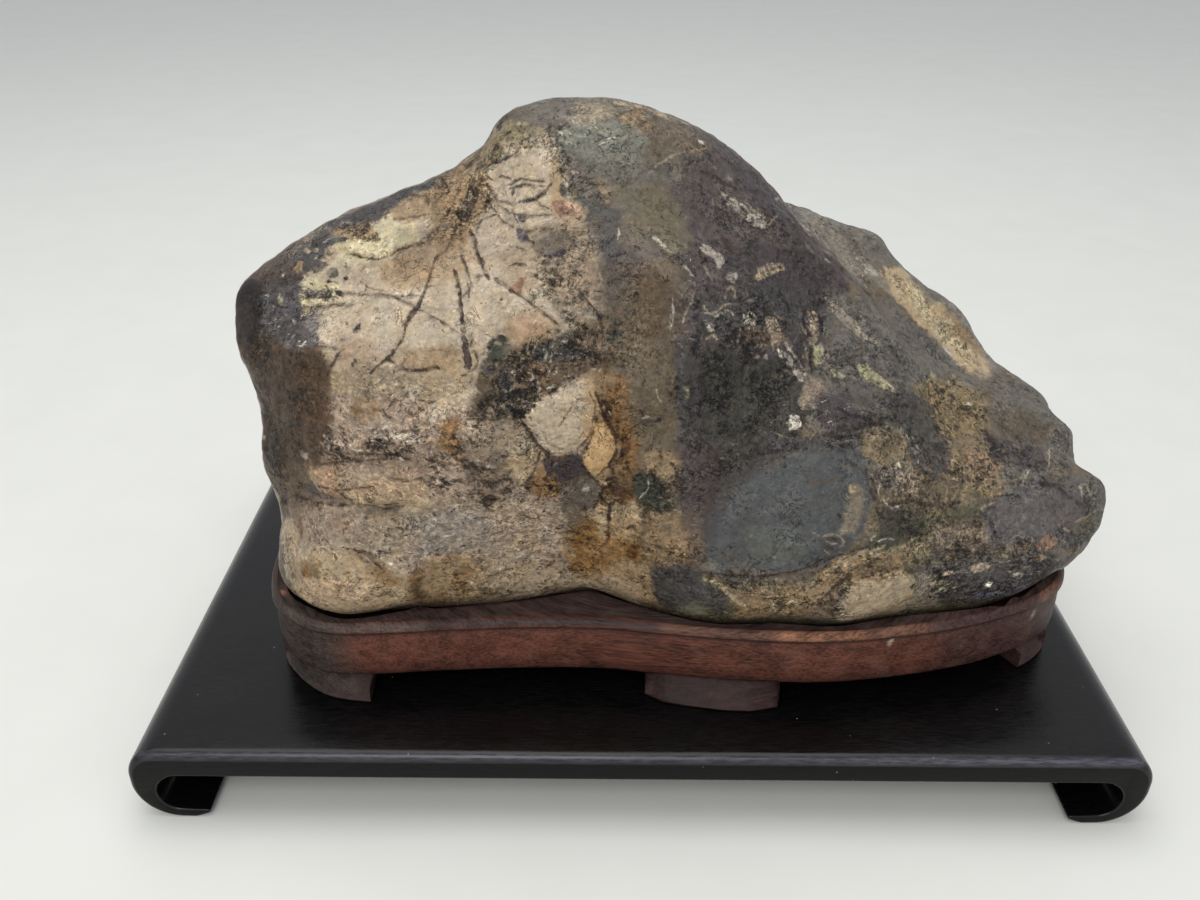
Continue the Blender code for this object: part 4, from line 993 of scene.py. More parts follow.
    ("dark slate", 0.4, 6, [(996, 470), (1060, 470), (1100, 490), (1100, 540), (1040, 560),
        (996, 556)]),
    ("deep brown", 0.4, 5, [(920, 376), (960, 380), (984, 420), (990, 470), (1000, 496),
        (960, 496), (950, 440), (930, 400)]),
    ("bark", 0.42, 5, [(700, 570), (760, 580), (830, 570), (920, 560), (912, 572), (840, 600),
        (760, 616), (700, 606)]),
    ("dark slate", 0.34, 8, [(830, 300), (930, 340), (960, 400), (920, 392), (870, 390),
        (830, 360)]),
    ("tan", 0.12, 8, [(300, 552), (344, 548), (372, 572), (384, 600), (340, 608), (296, 590)]),
    ("tan", 0.14, 6, [(350, 480), (424, 478), (432, 510), (420, 522), (400, 504), (350, 506)]),
    ("brown tan", 0.14, 6, [(312, 470), (340, 470), (344, 496), (330, 500)]),
    ("bark", 0.26, 8, [(640, 270), (690, 262), (690, 350), (640, 350)]),
    ("bark", 0.22, 8, [(480, 560), (600, 580), (600, 606), (480, 606)]),
    ("brown tan", 0.14, 4, [(842, 604), (862, 578), (912, 573), (914, 594), (902, 612),
        (862, 624)]),
    ("dark slate", 0.12, 8, [(610, 190), (690, 160), (700, 230), (640, 260), (610, 250)]),
    ("rust brown", 0.34, 5, [(566, 520), (600, 516), (640, 520), (650, 560), (600, 580),
        (566, 560)]),
    ("tan", 0.14, 8, [(322, 372), (400, 362), (470, 366), (500, 372), (480, 400), (462, 424),
        (400, 426), (330, 420)]),
    ("umber", 0.4, 5, [(428, 452), (512, 452), (512, 508), (470, 500), (428, 476)]),
    ("dark slate", 0.15, 6, [(990, 490), (1050, 484), (1090, 500), (1080, 524), (1040, 534),
        (990, 530)]),
    ("dark slate", 0.12, 8, [(704, 500), (760, 456), (860, 448), (880, 500), (850, 545),
        (780, 572), (706, 566)]),
    ("bark", 0.27, 12, [(284, 505), (560, 496), (585, 560), (480, 572), (300, 562)]),
    ("summit grey", 0.2, 8, [(560, 104), (640, 100), (700, 130), (692, 180), (600, 190),
        (565, 150)]),
    ("brown tan", 0.3, 6, [(556, 190), (596, 195), (600, 260), (592, 330), (560, 300)]),
    ("orange tan", 0.08, 2, [(598, 428), (612, 426), (617, 450), (608, 472), (600, 477),
        (589, 462), (591, 446)]),
    ("rust brown", 0.32, 5, [(416, 558), (486, 556), (488, 598), (416, 602)]),
    ("bark", 0.3, 6, [(300, 466), (424, 468), (436, 502), (330, 506)]),
    ("rust brown", 0.22, 14, [(268, 530), (400, 524), (470, 560), (470, 604), (268, 612)]),
    ("bark", 0.2, 12, [(300, 462), (424, 462), (440, 500), (420, 524), (300, 520)]),
    ("bark", 0.22, 12, [(440, 500), (560, 500), (574, 560), (480, 560), (436, 540)]),
    ("bark", 0.2, 10, [(318, 380), (468, 386), (466, 424), (318, 424)]),
]

# Where pale flecks are strewn: (amount 0 to 1, edge softness px, outline)
FLECKS = [
    (0.5, 4, [(318, 428), (345, 428), (346, 452), (320, 454)]),
    (0.6, 4, [(336, 442), (372, 440), (380, 458), (340, 458)]),
    (0.65, 4, [(364, 430), (388, 430), (388, 448), (366, 450)]),
    (0.65, 4, [(386, 430), (420, 430), (420, 446), (388, 448)]),
    (0.35, 5, [(386, 448), (420, 446), (420, 462), (386, 464)]),
    (0.45, 6, [(424, 516), (478, 516), (480, 560), (426, 562)]),
    (0.5, 4, [(370, 550), (402, 552), (402, 568), (372, 566)]),
    (0.4, 5, [(384, 582), (412, 584), (410, 598), (384, 596)]),
    (0.4, 6, [(456, 418), (496, 418), (494, 452), (456, 452)]),
    (0.45, 5, [(446, 576), (476, 574), (478, 600), (446, 600)]),
    (0.35, 6, [(324, 500), (410, 508), (412, 545), (326, 545)]),
    (0.5, 5, [(700, 300), (750, 296), (800, 310), (826, 306), (828, 356), (760, 352), (700, 344)]),
    (0.4, 5, [(670, 290), (700, 290), (700, 344), (672, 344)]),
    (0.35, 8, [(710, 262), (750, 262), (752, 300), (712, 300)]),
    (0.45, 5, [(556, 118), (604, 110), (610, 136), (566, 150)]),
    (0.45, 5, [(862, 460), (930, 462), (932, 500), (866, 506)]),
    (0.4, 5, [(930, 512), (990, 512), (990, 556), (930, 556)]),
    (0.45, 5, [(930, 558), (1030, 556), (1030, 590), (932, 596)]),
    (0.35, 5, [(996, 466), (1030, 470), (1030, 500), (996, 500)]),
    (0.35, 6, [(1030, 530), (1066, 530), (1064, 560), (1030, 560)]),
    (0.3, 6, [(836, 520), (880, 520), (880, 560), (836, 560)]),
    (0.35, 6, [(700, 572), (800, 576), (800, 612), (700, 606)]),
    (0.3, 5, [(486, 362), (506, 350), (560, 360), (580, 368), (560, 390), (530, 412), (500, 420),
        (486, 412)]),
    (0.3, 5, [(446, 176), (490, 170), (492, 210), (450, 224)]),
    (0.3, 8, [(640, 450), (690, 450), (690, 520), (640, 520)]),
    (0.35, 4, [(600, 510), (640, 510), (644, 560), (600, 560)]),
    (0.62, 12, [(300, 505), (560, 500), (575, 560), (300, 560)]),
    (0.5, 10, [(300, 370), (470, 380), (460, 500), (300, 500)]),
    (0.4, 10, [(900, 455), (960, 450), (1050, 480), (1040, 560), (900, 560)]),
    (0.3, 12, [(300, 505), (400, 500), (410, 560), (300, 560)]),
]

# Small crisp shapes: (tint, raggedness px, half width px of an open line or None if closed, points)
PATCHES = [
    ("pale yellow", 1.0, None, [(325, 249), (331, 245), (336, 247), (337, 256), (331, 262),
        (324, 258)]),
    ("bark", 0.5, None, [(328, 252), (333, 253), (331, 257), (327, 256)]),
    ("pale yellow", 0.8, None, [(304, 250), (309, 248), (311, 252), (306, 255)]),
    ("pale yellow", 0.8, None, [(313, 249), (318, 247), (319, 251), (314, 252)]),
    ("pale yellow", 0.8, None, [(315, 258), (318, 255), (318, 259), (315, 261)]),
    ("white", 0.6, None, [(323, 243), (328, 240), (334, 241), (329, 244)]),
    ("tan", 1.5, None, [(294, 268), (299, 260), (304, 262), (303, 272), (297, 273)]),
    ("white", 0.5, None, [(281, 276), (285, 273), (285, 276), (282, 279)]),
    ("dark slate", 1.0, None, [(322, 246), (330, 239), (342, 236), (351, 238), (344, 242),
        (334, 244), (326, 248)]),
    ("olive dark", 1.0, None, [(328, 272), (332, 266), (338, 268), (339, 275), (334, 279),
        (329, 277)]),
    ("dark slate", 1.5, None, [(312, 268), (322, 262), (330, 264), (322, 272), (314, 274)]),
    ("soot", 1.0, None, [(324, 282), (330, 280), (336, 282), (328, 285)]),
    ("soot", 1.0, None, [(343, 278), (348, 276), (349, 280), (344, 281)]),
    ("ink", 0.8, None, [(495, 128), (501, 117), (508, 112), (509, 116), (503, 122), (497, 131)]),
    ("bark", 0.6, None, [(560, 169), (563, 167), (564, 175), (562, 181), (560, 176)]),
    ("bark", 0.6, None, [(559, 184), (564, 182), (567, 192), (564, 199), (560, 195)]),
    ("ink", 0.8, None, [(545, 257), (556, 253), (566, 250), (567, 254), (556, 257), (547, 259)]),
    ("ink", 0.6, None, [(532, 273), (539, 275), (538, 279), (533, 277)]),
    ("ink", 0.6, None, [(547, 279), (553, 281), (552, 285), (548, 284)]),
    ("ink", 0.4, 1.6, [(686, 164), (688, 165)]),
    # Painted glint where the ridge catches the light
    ("white", 0.8, 1.5, [(655, 236), (662, 244), (669, 252)]),
    ("white", 0.8, 1.5, [(599, 145), (606, 141), (614, 138)]),
    ("peach", 0.8, 1.4, [(572, 172), (577, 173)]),
    ("light slate", 0.8, 1.6, [(628, 158), (633, 163)]),
    ("light slate", 0.8, 1.6, [(646, 170), (652, 171)]),
    ("chip", 0.6, None, [(722, 190), (727, 192), (731, 196), (728, 199), (723, 196)]),
    ("chip", 0.8, None, [(731, 200), (738, 203), (743, 204), (745, 199), (748, 205), (756, 208),
        (762, 214), (765, 219), (759, 220), (757, 227), (751, 222), (745, 221), (742, 212),
        (735, 206)]),
    ("brown tan", 0.5, None, [(753, 209), (759, 209), (760, 215), (754, 214)]),
    ("chip", 0.6, None, [(701, 243), (706, 244), (710, 250), (714, 252), (712, 256), (706, 255)]),
    ("chip", 0.8, None, [(715, 252), (720, 254), (727, 258), (723, 264), (719, 269), (716, 266),
        (717, 260), (712, 256)]),
    ("chip", 0.8, None, [(729, 273), (734, 271), (737, 276), (735, 284), (730, 281), (727, 277)]),
    ("light slate", 0.8, 1.3, [(705, 266), (708, 272), (712, 279)]),
    ("gold tan", 0.9, None, [(753, 278), (760, 270), (766, 265), (775, 266), (783, 263),
        (785, 269), (777, 273), (766, 277), (758, 281)]),
    ("ivory", 0.5, None, [(764, 270), (770, 268), (772, 273), (766, 275)]),
    ("light slate", 0.6, 0.9, [(804, 243), (809, 249), (813, 254)]),
    ("white", 0.5, 1.6, [(699, 142), (702, 143)]),
    ("light slate", 0.6, 1.1, [(714, 166), (717, 168)]),
    ("light slate", 0.8, 1.4, [(728, 175), (734, 179)]),
    ("chip", 0.8, None, [(856, 254), (862, 256), (863, 261), (857, 259)]),
    ("chip", 0.9, None, [(862, 263), (868, 263), (876, 270), (880, 276), (874, 277), (868, 273),
        (862, 277), (859, 273), (866, 269)]),
    ("ivory", 0.5, None, [(917, 298), (922, 299), (926, 306), (921, 305)]),
    ("moss", 0.7, None, [(858, 364), (865, 364), (872, 368), (868, 371), (860, 369)]),
    ("moss", 0.7, None, [(880, 379), (888, 382), (893, 389), (887, 391), (882, 385)]),
    ("moss", 0.5, None, [(931, 371), (937, 374), (936, 379), (931, 376)]),
    ("moss", 0.5, None, [(947, 379), (952, 382), (951, 386), (947, 383)]),
    ("pit black", 1.0, None, [(335, 291), (341, 290), (345, 293), (343, 297), (337, 296)]),
    ("dark slate", 1.4, None, [(303, 290), (318, 291), (334, 292), (334, 298), (320, 299),
        (306, 298)]),
    ("moss", 0.8, None, [(279, 294), (282, 296), (283, 304), (280, 307), (278, 300)]),
    ("light slate", 0.9, None, [(306, 321), (312, 319), (315, 326), (312, 333), (307, 329)]),
    ("pit black", 0.7, None, [(353, 331), (357, 326), (361, 323), (361, 329), (356, 334)]),
    ("bark", 0.6, None, [(339, 340), (343, 337), (347, 339), (343, 342)]),
    ("bark", 0.5, None, [(319, 343), (322, 341), (325, 343), (322, 345)]),
    ("pit black", 0.5, None, [(351, 366), (353, 360), (356, 356), (357, 361), (354, 367)]),
    ("brown tan", 0.6, None, [(344, 322), (348, 321), (350, 325), (345, 326)]),
    ("brown tan", 0.6, None, [(364, 300), (368, 299), (369, 303), (365, 303)]),
    ("brown tan", 0.5, None, [(375, 308), (379, 307), (379, 311), (376, 312)]),
    ("chip", 0.6, None, [(301, 454), (306, 452), (307, 457), (304, 461)]),
    ("chip", 0.6, None, [(260, 434), (266, 436), (264, 440), (259, 438)]),
    ("bark", 0.6, None, [(444, 352), (448, 351), (449, 356), (445, 356)]),
    ("rust", 0.7, None, [(353, 410), (358, 409), (359, 415), (355, 417)]),
    ("rust", 0.6, None, [(371, 408), (377, 408), (377, 412), (372, 412)]),
    ("white", 0.7, 1.6, [(393, 435), (398, 438), (402, 441)]),
    ("white", 0.4, None, [(430, 406), (433, 403), (437, 405), (433, 408)]),
    ("rust pink", 0.9, None, [(509, 288), (517, 280), (527, 274), (524, 284), (520, 295),
        (514, 294)]),
    ("ink", 0.5, None, [(491, 317), (494, 316), (494, 320), (491, 320)]),
    ("ink", 0.5, None, [(499, 299), (502, 297), (503, 300), (500, 301)]),
    ("ink", 0.6, None, [(597, 312), (602, 313), (604, 319), (600, 322), (597, 318)]),
    ("moss", 0.6, None, [(684, 387), (688, 386), (691, 391), (690, 398), (685, 399), (688, 393)]),
    # Painted glint on the ridge
    ("white", 0.6, None, [(669, 322), (672, 324), (671, 330), (668, 329)]),
    ("light slate", 0.6, 1.0, [(680, 338), (683, 348), (684, 356)]),
    ("light slate", 0.5, 1.0, [(655, 392), (659, 396), (662, 402)]),
    ("bark", 0.7, None, [(640, 420), (650, 419), (660, 421), (656, 425), (644, 424)]),
    ("purple black", 0.9, None, [(542, 460), (552, 456), (560, 460), (574, 454), (582, 456),
        (586, 474), (560, 484), (546, 474)]),
    ("light slate", 0.8, 1.2, [(667, 330), (670, 322), (673, 304)]),
    ("chip", 0.7, None, [(706, 320), (710, 324), (716, 324), (715, 332), (710, 331), (707, 326)]),
    ("pit black", 0.6, None, [(747, 321), (751, 319), (753, 323), (750, 325)]),
    ("chip tan", 0.9, None, [(763, 319), (769, 321), (771, 327), (774, 322), (780, 327),
        (779, 333), (774, 339), (768, 331)]),
    ("chip", 0.8, None, [(782, 341), (788, 344), (794, 346), (791, 350), (797, 358), (793, 357),
        (787, 349)]),
    ("chip", 0.6, None, [(799, 361), (803, 366), (808, 378), (804, 379), (800, 370)]),
    ("white", 0.5, 1.4, [(778, 350), (781, 357)]),
    ("chip", 0.5, None, [(763, 356), (766, 354), (767, 359), (764, 359)]),
    ("chip tan", 0.7, None, [(750, 352), (756, 353), (760, 358), (754, 359)]),
    ("chip tan", 0.6, None, [(809, 314), (813, 311), (818, 312), (818, 325), (816, 334),
        (812, 335), (809, 327)]),
    ("chip tan", 0.6, None, [(809, 338), (813, 335), (817, 340), (813, 346), (810, 344)]),
    ("chip", 0.5, None, [(815, 346), (820, 343), (824, 349), (824, 359), (821, 367), (816, 367),
        (814, 358)]),
    ("ink", 0.6, 1.4, [(801, 356), (803, 362)]),
    ("chip", 0.6, 1.4, [(805, 401), (810, 403), (814, 409)]),
    ("pale yellow", 0.7, None, [(829, 366), (836, 369), (843, 374), (850, 379), (843, 378),
        (835, 377), (830, 371)]),
    ("pale yellow", 0.5, None, [(860, 365), (866, 364), (870, 368), (864, 370)]),
    ("white", 0.7, None, [(788, 417), (793, 414), (799, 417), (802, 424), (798, 431), (794, 428),
        (789, 431), (786, 425)]),
    # Painted highlight along the facet's upper edge: this line and the next two
    ("light slate", 0.5, 1.6, [(826, 299), (833, 301), (840, 308)]),
    ("light slate", 0.6, 2.6, [(838, 306), (844, 313)]),
    ("light slate", 0.6, 1.4, [(844, 313), (854, 322), (863, 333), (876, 342)]),
    ("pit black", 0.6, 1.6, [(818, 432), (830, 437), (846, 436)]),
    ("pit black", 0.6, 2.0, [(858, 428), (870, 425), (882, 423)]),
    ("white", 0.4, 1.4, [(969, 403), (972, 404)]),
    ("light slate", 0.5, 1.0, [(906, 432), (911, 445), (916, 452), (922, 456)]),
    ("pit black", 0.5, 1.4, [(985, 431), (992, 438)]),
    ("light slate", 0.5, 1.1, [(1050, 457), (1053, 445)]),
    ("light slate", 0.5, 1.0, [(1060, 447), (1066, 453)]),
    ("light slate", 0.5, 1.1, [(1015, 444), (1021, 450)]),
    ("light slate", 0.5, 1.3, [(1021, 478), (1028, 471), (1034, 468)]),
    ("light slate", 0.5, 1.0, [(1026, 476), (1032, 472)]),
    ("light slate", 0.5, 1.2, [(1083, 484), (1090, 494), (1096, 501)]),
    ("peach brown", 0.8, None, [(1039, 543), (1046, 544), (1052, 541), (1056, 537), (1055, 546),
        (1048, 553), (1041, 549)]),
    ("peach brown", 0.8, None, [(1025, 554), (1034, 556), (1046, 555), (1044, 561), (1034, 562)]),
    ("peach brown", 0.5, 1.0, [(1060, 525), (1068, 521)]),
    ("light slate", 0.5, 1.2, [(884, 501), (889, 507), (900, 510)]),
    ("light slate", 0.5, 0.9, [(893, 496), (898, 502), (904, 500)]),
    ("light slate", 0.5, 0.9, [(889, 490), (893, 486), (896, 490)]),
    ("light slate", 0.5, 1.2, [(1062, 548), (1068, 540)]),
    ("pit black", 0.5, 1.4, [(322, 500), (331, 498)]),
    ("bark", 0.6, 1.4, [(338, 505), (346, 508)]),
    ("rust", 0.7, None, [(302, 568), (308, 566), (311, 572), (307, 578), (302, 575)]),
    ("rust", 0.6, 1.4, [(344, 574), (348, 572), (350, 576)]),
    ("white", 0.8, None, [(386, 560), (392, 562), (395, 566), (389, 564)]),
    ("cream", 0.5, 1.5, [(464, 580), (471, 581), (475, 585)]),
    ("pit black", 0.9, None, [(463, 464), (472, 462), (480, 466), (488, 469), (480, 471),
        (470, 468)]),
    ("pit black", 0.9, None, [(479, 499), (486, 495), (494, 494), (497, 500), (490, 506),
        (484, 508)]),
    ("pit black", 0.8, None, [(547, 484), (552, 483), (555, 488), (551, 492), (547, 490)]),
    ("light slate", 0.7, 1.0, [(553, 469), (556, 462)]),
    ("chip", 0.8, None, [(583, 488), (587, 486), (590, 490), (587, 493), (583, 492)]),
    ("ink", 0.6, 1.4, [(603, 490), (600, 500), (594, 509)]),
    ("light slate", 0.4, 0.7, [(648, 480), (648, 488), (644, 494), (640, 496)]),
    ("deep rust", 0.7, None, [(626, 549), (632, 545), (638, 550), (638, 557), (631, 560),
        (626, 556)]),
    ("light slate", 0.6, 0.9, [(568, 508), (573, 514), (576, 520)]),
    ("pale yellow", 0.5, None, [(849, 484), (853, 482), (856, 491), (852, 495), (849, 491)]),
    ("moss grey", 0.5, 0.9, [(742, 541), (748, 538), (756, 534)]),
    ("light slate", 0.4, 0.9, [(779, 530), (780, 536)]),
    ("light slate", 0.5, 1.2, [(783, 564), (788, 564)]),
    ("light slate", 0.5, 1.0, [(800, 558), (804, 554)]),
    ("light slate", 0.5, 0.9, [(752, 550), (754, 546)]),
    ("light slate", 0.4, 0.9, [(770, 556), (776, 558)]),
    ("light slate", 0.5, 1.0, [(702, 566), (708, 562), (714, 564)]),
    ("pale yellow", 0.4, None, [(700, 580), (707, 577), (713, 578), (717, 582), (723, 587),
        (717, 587), (708, 584)]),
    ("white", 0.4, 1.4, [(767, 595), (769, 597)]),
    ("light slate", 0.5, 1.3, [(815, 618), (821, 611), (827, 606)]),
    ("light slate", 0.5, 1.0, [(830, 608), (836, 604)]),
    ("olive tan", 0.7, 1.0, [(902, 546), (914, 538), (926, 532)]),
    ("white", 0.4, 1.6, [(867, 594), (870, 595)]),
    ("brown tan", 0.5, 1.0, [(868, 590), (874, 588)]),
    ("brown tan", 0.5, 0.9, [(892, 606), (902, 600), (908, 596)]),
    ("brown tan", 0.5, 0.8, [(852, 610), (856, 613)]),
    ("pit black", 0.4, None, [(907, 586), (913, 581), (917, 585), (914, 591)]),
    ("moss", 0.5, None, [(930, 584), (938, 580), (948, 583), (943, 590), (934, 590)]),
    ("moss", 0.4, None, [(949, 586), (955, 584), (958, 588), (952, 590)]),
    ("light slate", 0.5, 1.2, [(942, 598), (945, 591), (949, 587)]),
    ("chip", 0.4, None, [(1013, 574), (1018, 572), (1025, 574), (1019, 578), (1014, 579)]),
    ("white", 0.4, None, [(984, 586), (988, 582), (993, 583), (990, 588)]),
    # Painted sheen streak along the stone's lower right
    ("bluish gloss", 0.5, 1.4, [(973, 596), (990, 594), (1010, 594), (1024, 592)]),
    ("honey", 0.4, None, [(599, 424), (604, 426), (609, 431), (613, 437), (615, 445), (615, 453),
        (612, 458), (608, 463), (604, 469), (598, 476), (594, 477), (590, 471), (586, 465),
        (583, 458), (584, 452), (588, 446), (591, 440), (595, 432)]),
    ("burnt", 1.0, None, [(600, 400), (606, 400), (610, 404), (612, 410), (613, 417), (611, 419),
        (613, 425), (609, 424), (605, 421), (602, 415), (600, 408)]),
    ("peach", 0.4, 1.7, [(603.3, 408.6), (603.8, 410.6)]),
    ("white", 0.4, 1.5, [(609.6, 413), (610.6, 414)]),
    ("burnt", 0.6, 1.9, [(618.5, 414), (617.5, 420), (618, 427), (617, 432)]),
    ("russet", 1.2, None, [(620, 437), (625, 435), (629, 439), (631, 445), (629, 451), (627, 457),
        (622, 459), (620, 455), (622, 448), (620, 442)]),
    ("burnt", 0.8, 1.6, [(622, 440), (625, 446), (624, 452), (621, 456)]),
    ("chip tan", 0.5, 1.7, [(618, 440), (619, 447), (619, 453), (617.5, 458)]),
    ("burnt", 0.6, 1.5, [(628, 462), (629, 466), (628, 469)]),
    ("burnt", 0.8, 1.7, [(612, 468), (613, 475), (613, 480), (616, 480)]),
    ("russet", 1.2, 2.2, [(621, 472), (623, 477), (624, 481)]),
    ("light tan", 0.6, None, [(600, 481), (604, 480), (608, 484), (607, 489), (603, 490),
        (600, 486)]),
    ("liver", 0.8, None, [(608, 486), (616, 485), (624, 488), (632, 490), (634, 497), (628, 500),
        (618, 498), (611, 494)]),
    ("deep brown", 0.8, 1.6, [(613, 497), (620, 503), (625, 505)]),
    ("dark green", 0.8, None, [(641, 470), (648, 474), (656, 476), (662, 484), (662, 500),
        (652, 510), (642, 506), (636, 498), (632, 488), (634, 478)]),
    ("soot", 0.5, 1.5, [(639.5, 470), (640, 475)]),
    ("soot", 0.5, 1.6, [(634, 477), (634, 483)]),
    ("burnt", 0.5, 1.6, [(637, 500), (640, 509)]),
    ("russet", 1.0, None, [(616, 381), (620, 384), (619, 392), (616, 394), (614, 388)]),
    ("russet", 0.8, 1.6, [(626, 386), (629, 393)]),
    ("purple black", 0.8, 2.0, [(646, 422), (652, 420.5), (660, 422)]),
    ("purple black", 0.6, 1.5, [(645, 452), (649, 450), (652, 446), (654, 442)]),
    ("soot", 0.6, None, [(486, 350), (487, 343), (491, 338), (497, 335), (502, 333), (505, 336),
        (505, 341), (506, 346), (503, 345), (500, 340), (496, 340), (493, 344), (490, 350)]),
    ("dark green", 0.6, None, [(491, 345), (496, 348), (501, 352), (506, 354), (501, 361),
        (495, 362), (490, 360), (491, 352)]),
    ("moss", 0.4, 2.2, [(495.5, 342.5), (498.5, 343.5)]),
    ("purple black", 0.8, None, [(486, 365), (492, 363), (497, 368), (495, 373), (488, 376),
        (484, 374)]),
    ("dark slate", 0.6, None, [(502, 366), (506, 368), (509, 376), (513, 385), (506, 389),
        (500, 388), (497, 386), (500, 376)]),
    ("soot", 0.8, None, [(493, 402), (498, 396), (504, 392), (512, 390), (519, 389), (519, 394),
        (513, 399), (505, 402), (498, 404)]),
    ("soot", 0.8, None, [(520, 391), (526, 388), (532, 386), (535, 383), (537, 390), (533, 396),
        (527, 397), (522, 394)]),
    ("soot", 0.8, None, [(504, 410), (512, 408), (520, 409), (527, 411), (528, 416), (524, 420),
        (516, 420), (509, 415)]),
    ("soot", 0.6, 1.6, [(526, 410), (531, 406), (535, 404)]),
    ("soot", 0.6, 2.2, [(549, 341.5), (552, 339.5)]),
    ("smooth grey", 0.5, 3.0, [(562, 342), (565, 341)]),
    ("dark slate", 0.8, None, [(529, 345), (540, 344), (548, 346), (552, 351), (550, 358),
        (546, 362), (540, 364), (536, 361), (532, 355)]),
    ("dark slate", 0.8, None, [(554, 349), (562, 347), (570, 350), (576, 349), (582, 351),
        (574, 356), (566, 360), (558, 360), (553, 356)]),
    ("soot", 0.5, 1.6, [(576, 355), (580, 358), (582, 362), (585, 363)]),
    ("soot", 0.5, 1.5, [(584, 350), (586, 353)]),
    ("soot", 0.5, 1.5, [(589, 352), (592, 354)]),
    ("soot", 0.5, 1.5, [(594, 355), (596, 358)]),
    ("soot", 0.5, 1.6, [(600, 364), (603, 361)]),
    ("soot", 0.5, 1.7, [(582, 330), (588, 328)]),
    ("soot", 0.5, 1.6, [(586, 336), (590, 332), (594, 333)]),
    ("soot", 0.5, 1.7, [(556, 330), (559, 330)]),
    ("soot", 0.5, 1.4, [(547, 331), (550, 333)]),
    ("soot", 0.6, 1.9, [(569, 379), (573, 379), (575, 376)]),
    ("soot", 0.5, 1.7, [(508, 367), (510, 367)]),
    ("blue ink", 0.5, 1.9, [(520, 202), (526, 201), (532, 199)]),
    ("blue ink", 0.4, None, [(518, 214), (529, 216), (526, 222), (521, 223), (517, 218)]),
    ("light grey", 0.4, None, [(503, 212), (509, 212), (514, 217), (515, 222), (510, 223),
        (505, 219)]),
    ("ink grey", 0.6, None, [(514, 225), (520, 228), (526, 231), (529, 236), (528, 241),
        (521, 243), (518, 239), (516, 232)]),
    ("blue ink", 0.5, 2.6, [(522, 236), (526, 238)]),
    ("blue ink", 0.6, 2.0, [(545, 256), (550, 254), (556, 253), (564, 251)]),
    ("deep brown", 0.9, None, [(466, 192), (468, 187), (472, 185), (478, 188), (479, 195),
        (477, 203), (473, 209), (468, 210), (466, 204)]),
    ("yellow cream", 0.3, 1.6, [(470, 192), (470.8, 197), (470, 201)]),
    ("deep brown", 0.9, None, [(455, 212), (459, 207), (464, 210), (468, 213), (466, 219),
        (461, 220), (456, 216)]),
    ("deep brown", 0.5, 1.8, [(470, 234.5), (474, 235)]),
    ("deep brown", 0.5, 1.9, [(561, 169), (562, 176)]),
    ("dark slate", 0.6, 2.4, [(563, 184), (564, 190), (564.5, 196)]),
    ("rust pink", 0.6, None, [(552, 202), (562, 199), (574, 203), (580, 212), (570, 217),
        (556, 214)]),
    ("peach", 0.8, 2.2, [(566, 203), (574, 206), (578, 211)]),
    ("soot", 0.8, 1.8, [(820, 300), (816, 312), (822, 330)]),
    ("soot", 0.8, 1.7, [(806, 310), (804, 322), (808, 336)]),
    ("soot", 0.8, 1.8, [(982, 430), (990, 442), (1000, 450)]),
    ("soot", 0.6, 1.6, [(996, 496), (1014, 494), (1024, 498)]),
    ("purple black", 0.8, 2.2, [(1040, 482), (1056, 486), (1070, 498)]),
    ("purple black", 0.8, 1.8, [(866, 470), (868, 484), (874, 500)]),
    ("soot", 0.8, 1.8, [(880, 504), (910, 502), (940, 506), (960, 502)]),
    ("soot", 0.8, 1.8, [(990, 520), (996, 536)]),
    ("soot", 0.8, 1.8, [(936, 552), (960, 550), (990, 556)]),
    ("pale yellow", 0.8, 2.0, [(944, 574), (952, 572)]),
    ("white", 0.5, 1.4, [(986, 584), (988, 585)]),
    ("peach brown", 1.0, None, [(1036, 546), (1046, 536), (1054, 532), (1050, 542), (1040, 552)]),
    ("chip tan", 0.8, None, [(968, 568), (976, 563), (990, 562), (988, 570), (974, 573)]),
    ("chip tan", 0.6, 1.8, [(930, 584), (946, 582), (956, 584)]),
    ("soot", 0.8, 2.2, [(838, 408), (852, 416), (870, 420)]),
    ("light tan", 1.0, None, [(284, 540), (288, 520), (294, 518), (298, 534), (294, 556),
        (286, 556)]),
    ("chip tan", 0.6, 2.0, [(301, 452), (303, 457)]),
    ("chip", 1.6, None, [(722, 193), (732, 196), (744, 206), (757, 216), (767, 224), (763, 230),
        (750, 225), (740, 214), (728, 204)]),
    ("chip tan", 1.5, None, [(757, 268), (766, 264), (780, 263), (783, 269), (772, 273),
        (760, 277)]),
    ("chip", 1.5, None, [(702, 244), (712, 248), (724, 262), (720, 267), (709, 256), (700, 250)]),
    ("chip tan", 1.6, None, [(764, 316), (775, 318), (782, 332), (779, 346), (772, 340),
        (768, 328)]),
    ("chip", 1.4, None, [(742, 314), (752, 316), (750, 324), (742, 326)]),
    ("chip", 1.3, None, [(782, 350), (790, 354), (800, 372), (806, 382), (800, 382), (790, 368)]),
    ("chip tan", 1.2, None, [(808, 312), (816, 312), (818, 334), (812, 340), (808, 328)]),
    ("moss", 1.2, None, [(813, 346), (821, 346), (822, 362), (815, 368), (811, 358)]),
    # Painted highlight along the same facet edge
    ("smooth grey", 2.0, None, [(826, 300), (836, 301), (846, 312), (858, 326), (870, 338),
        (864, 341), (850, 330), (836, 316)]),
    ("moss", 1.6, None, [(858, 366), (868, 366), (880, 376), (892, 388), (884, 390), (870, 382),
        (860, 374)]),
    ("moss grey", 1.6, None, [(830, 366), (840, 370), (848, 378), (838, 380)]),
    ("chip tan", 1.5, None, [(803, 385), (812, 388), (810, 402), (802, 412), (798, 402)]),
]
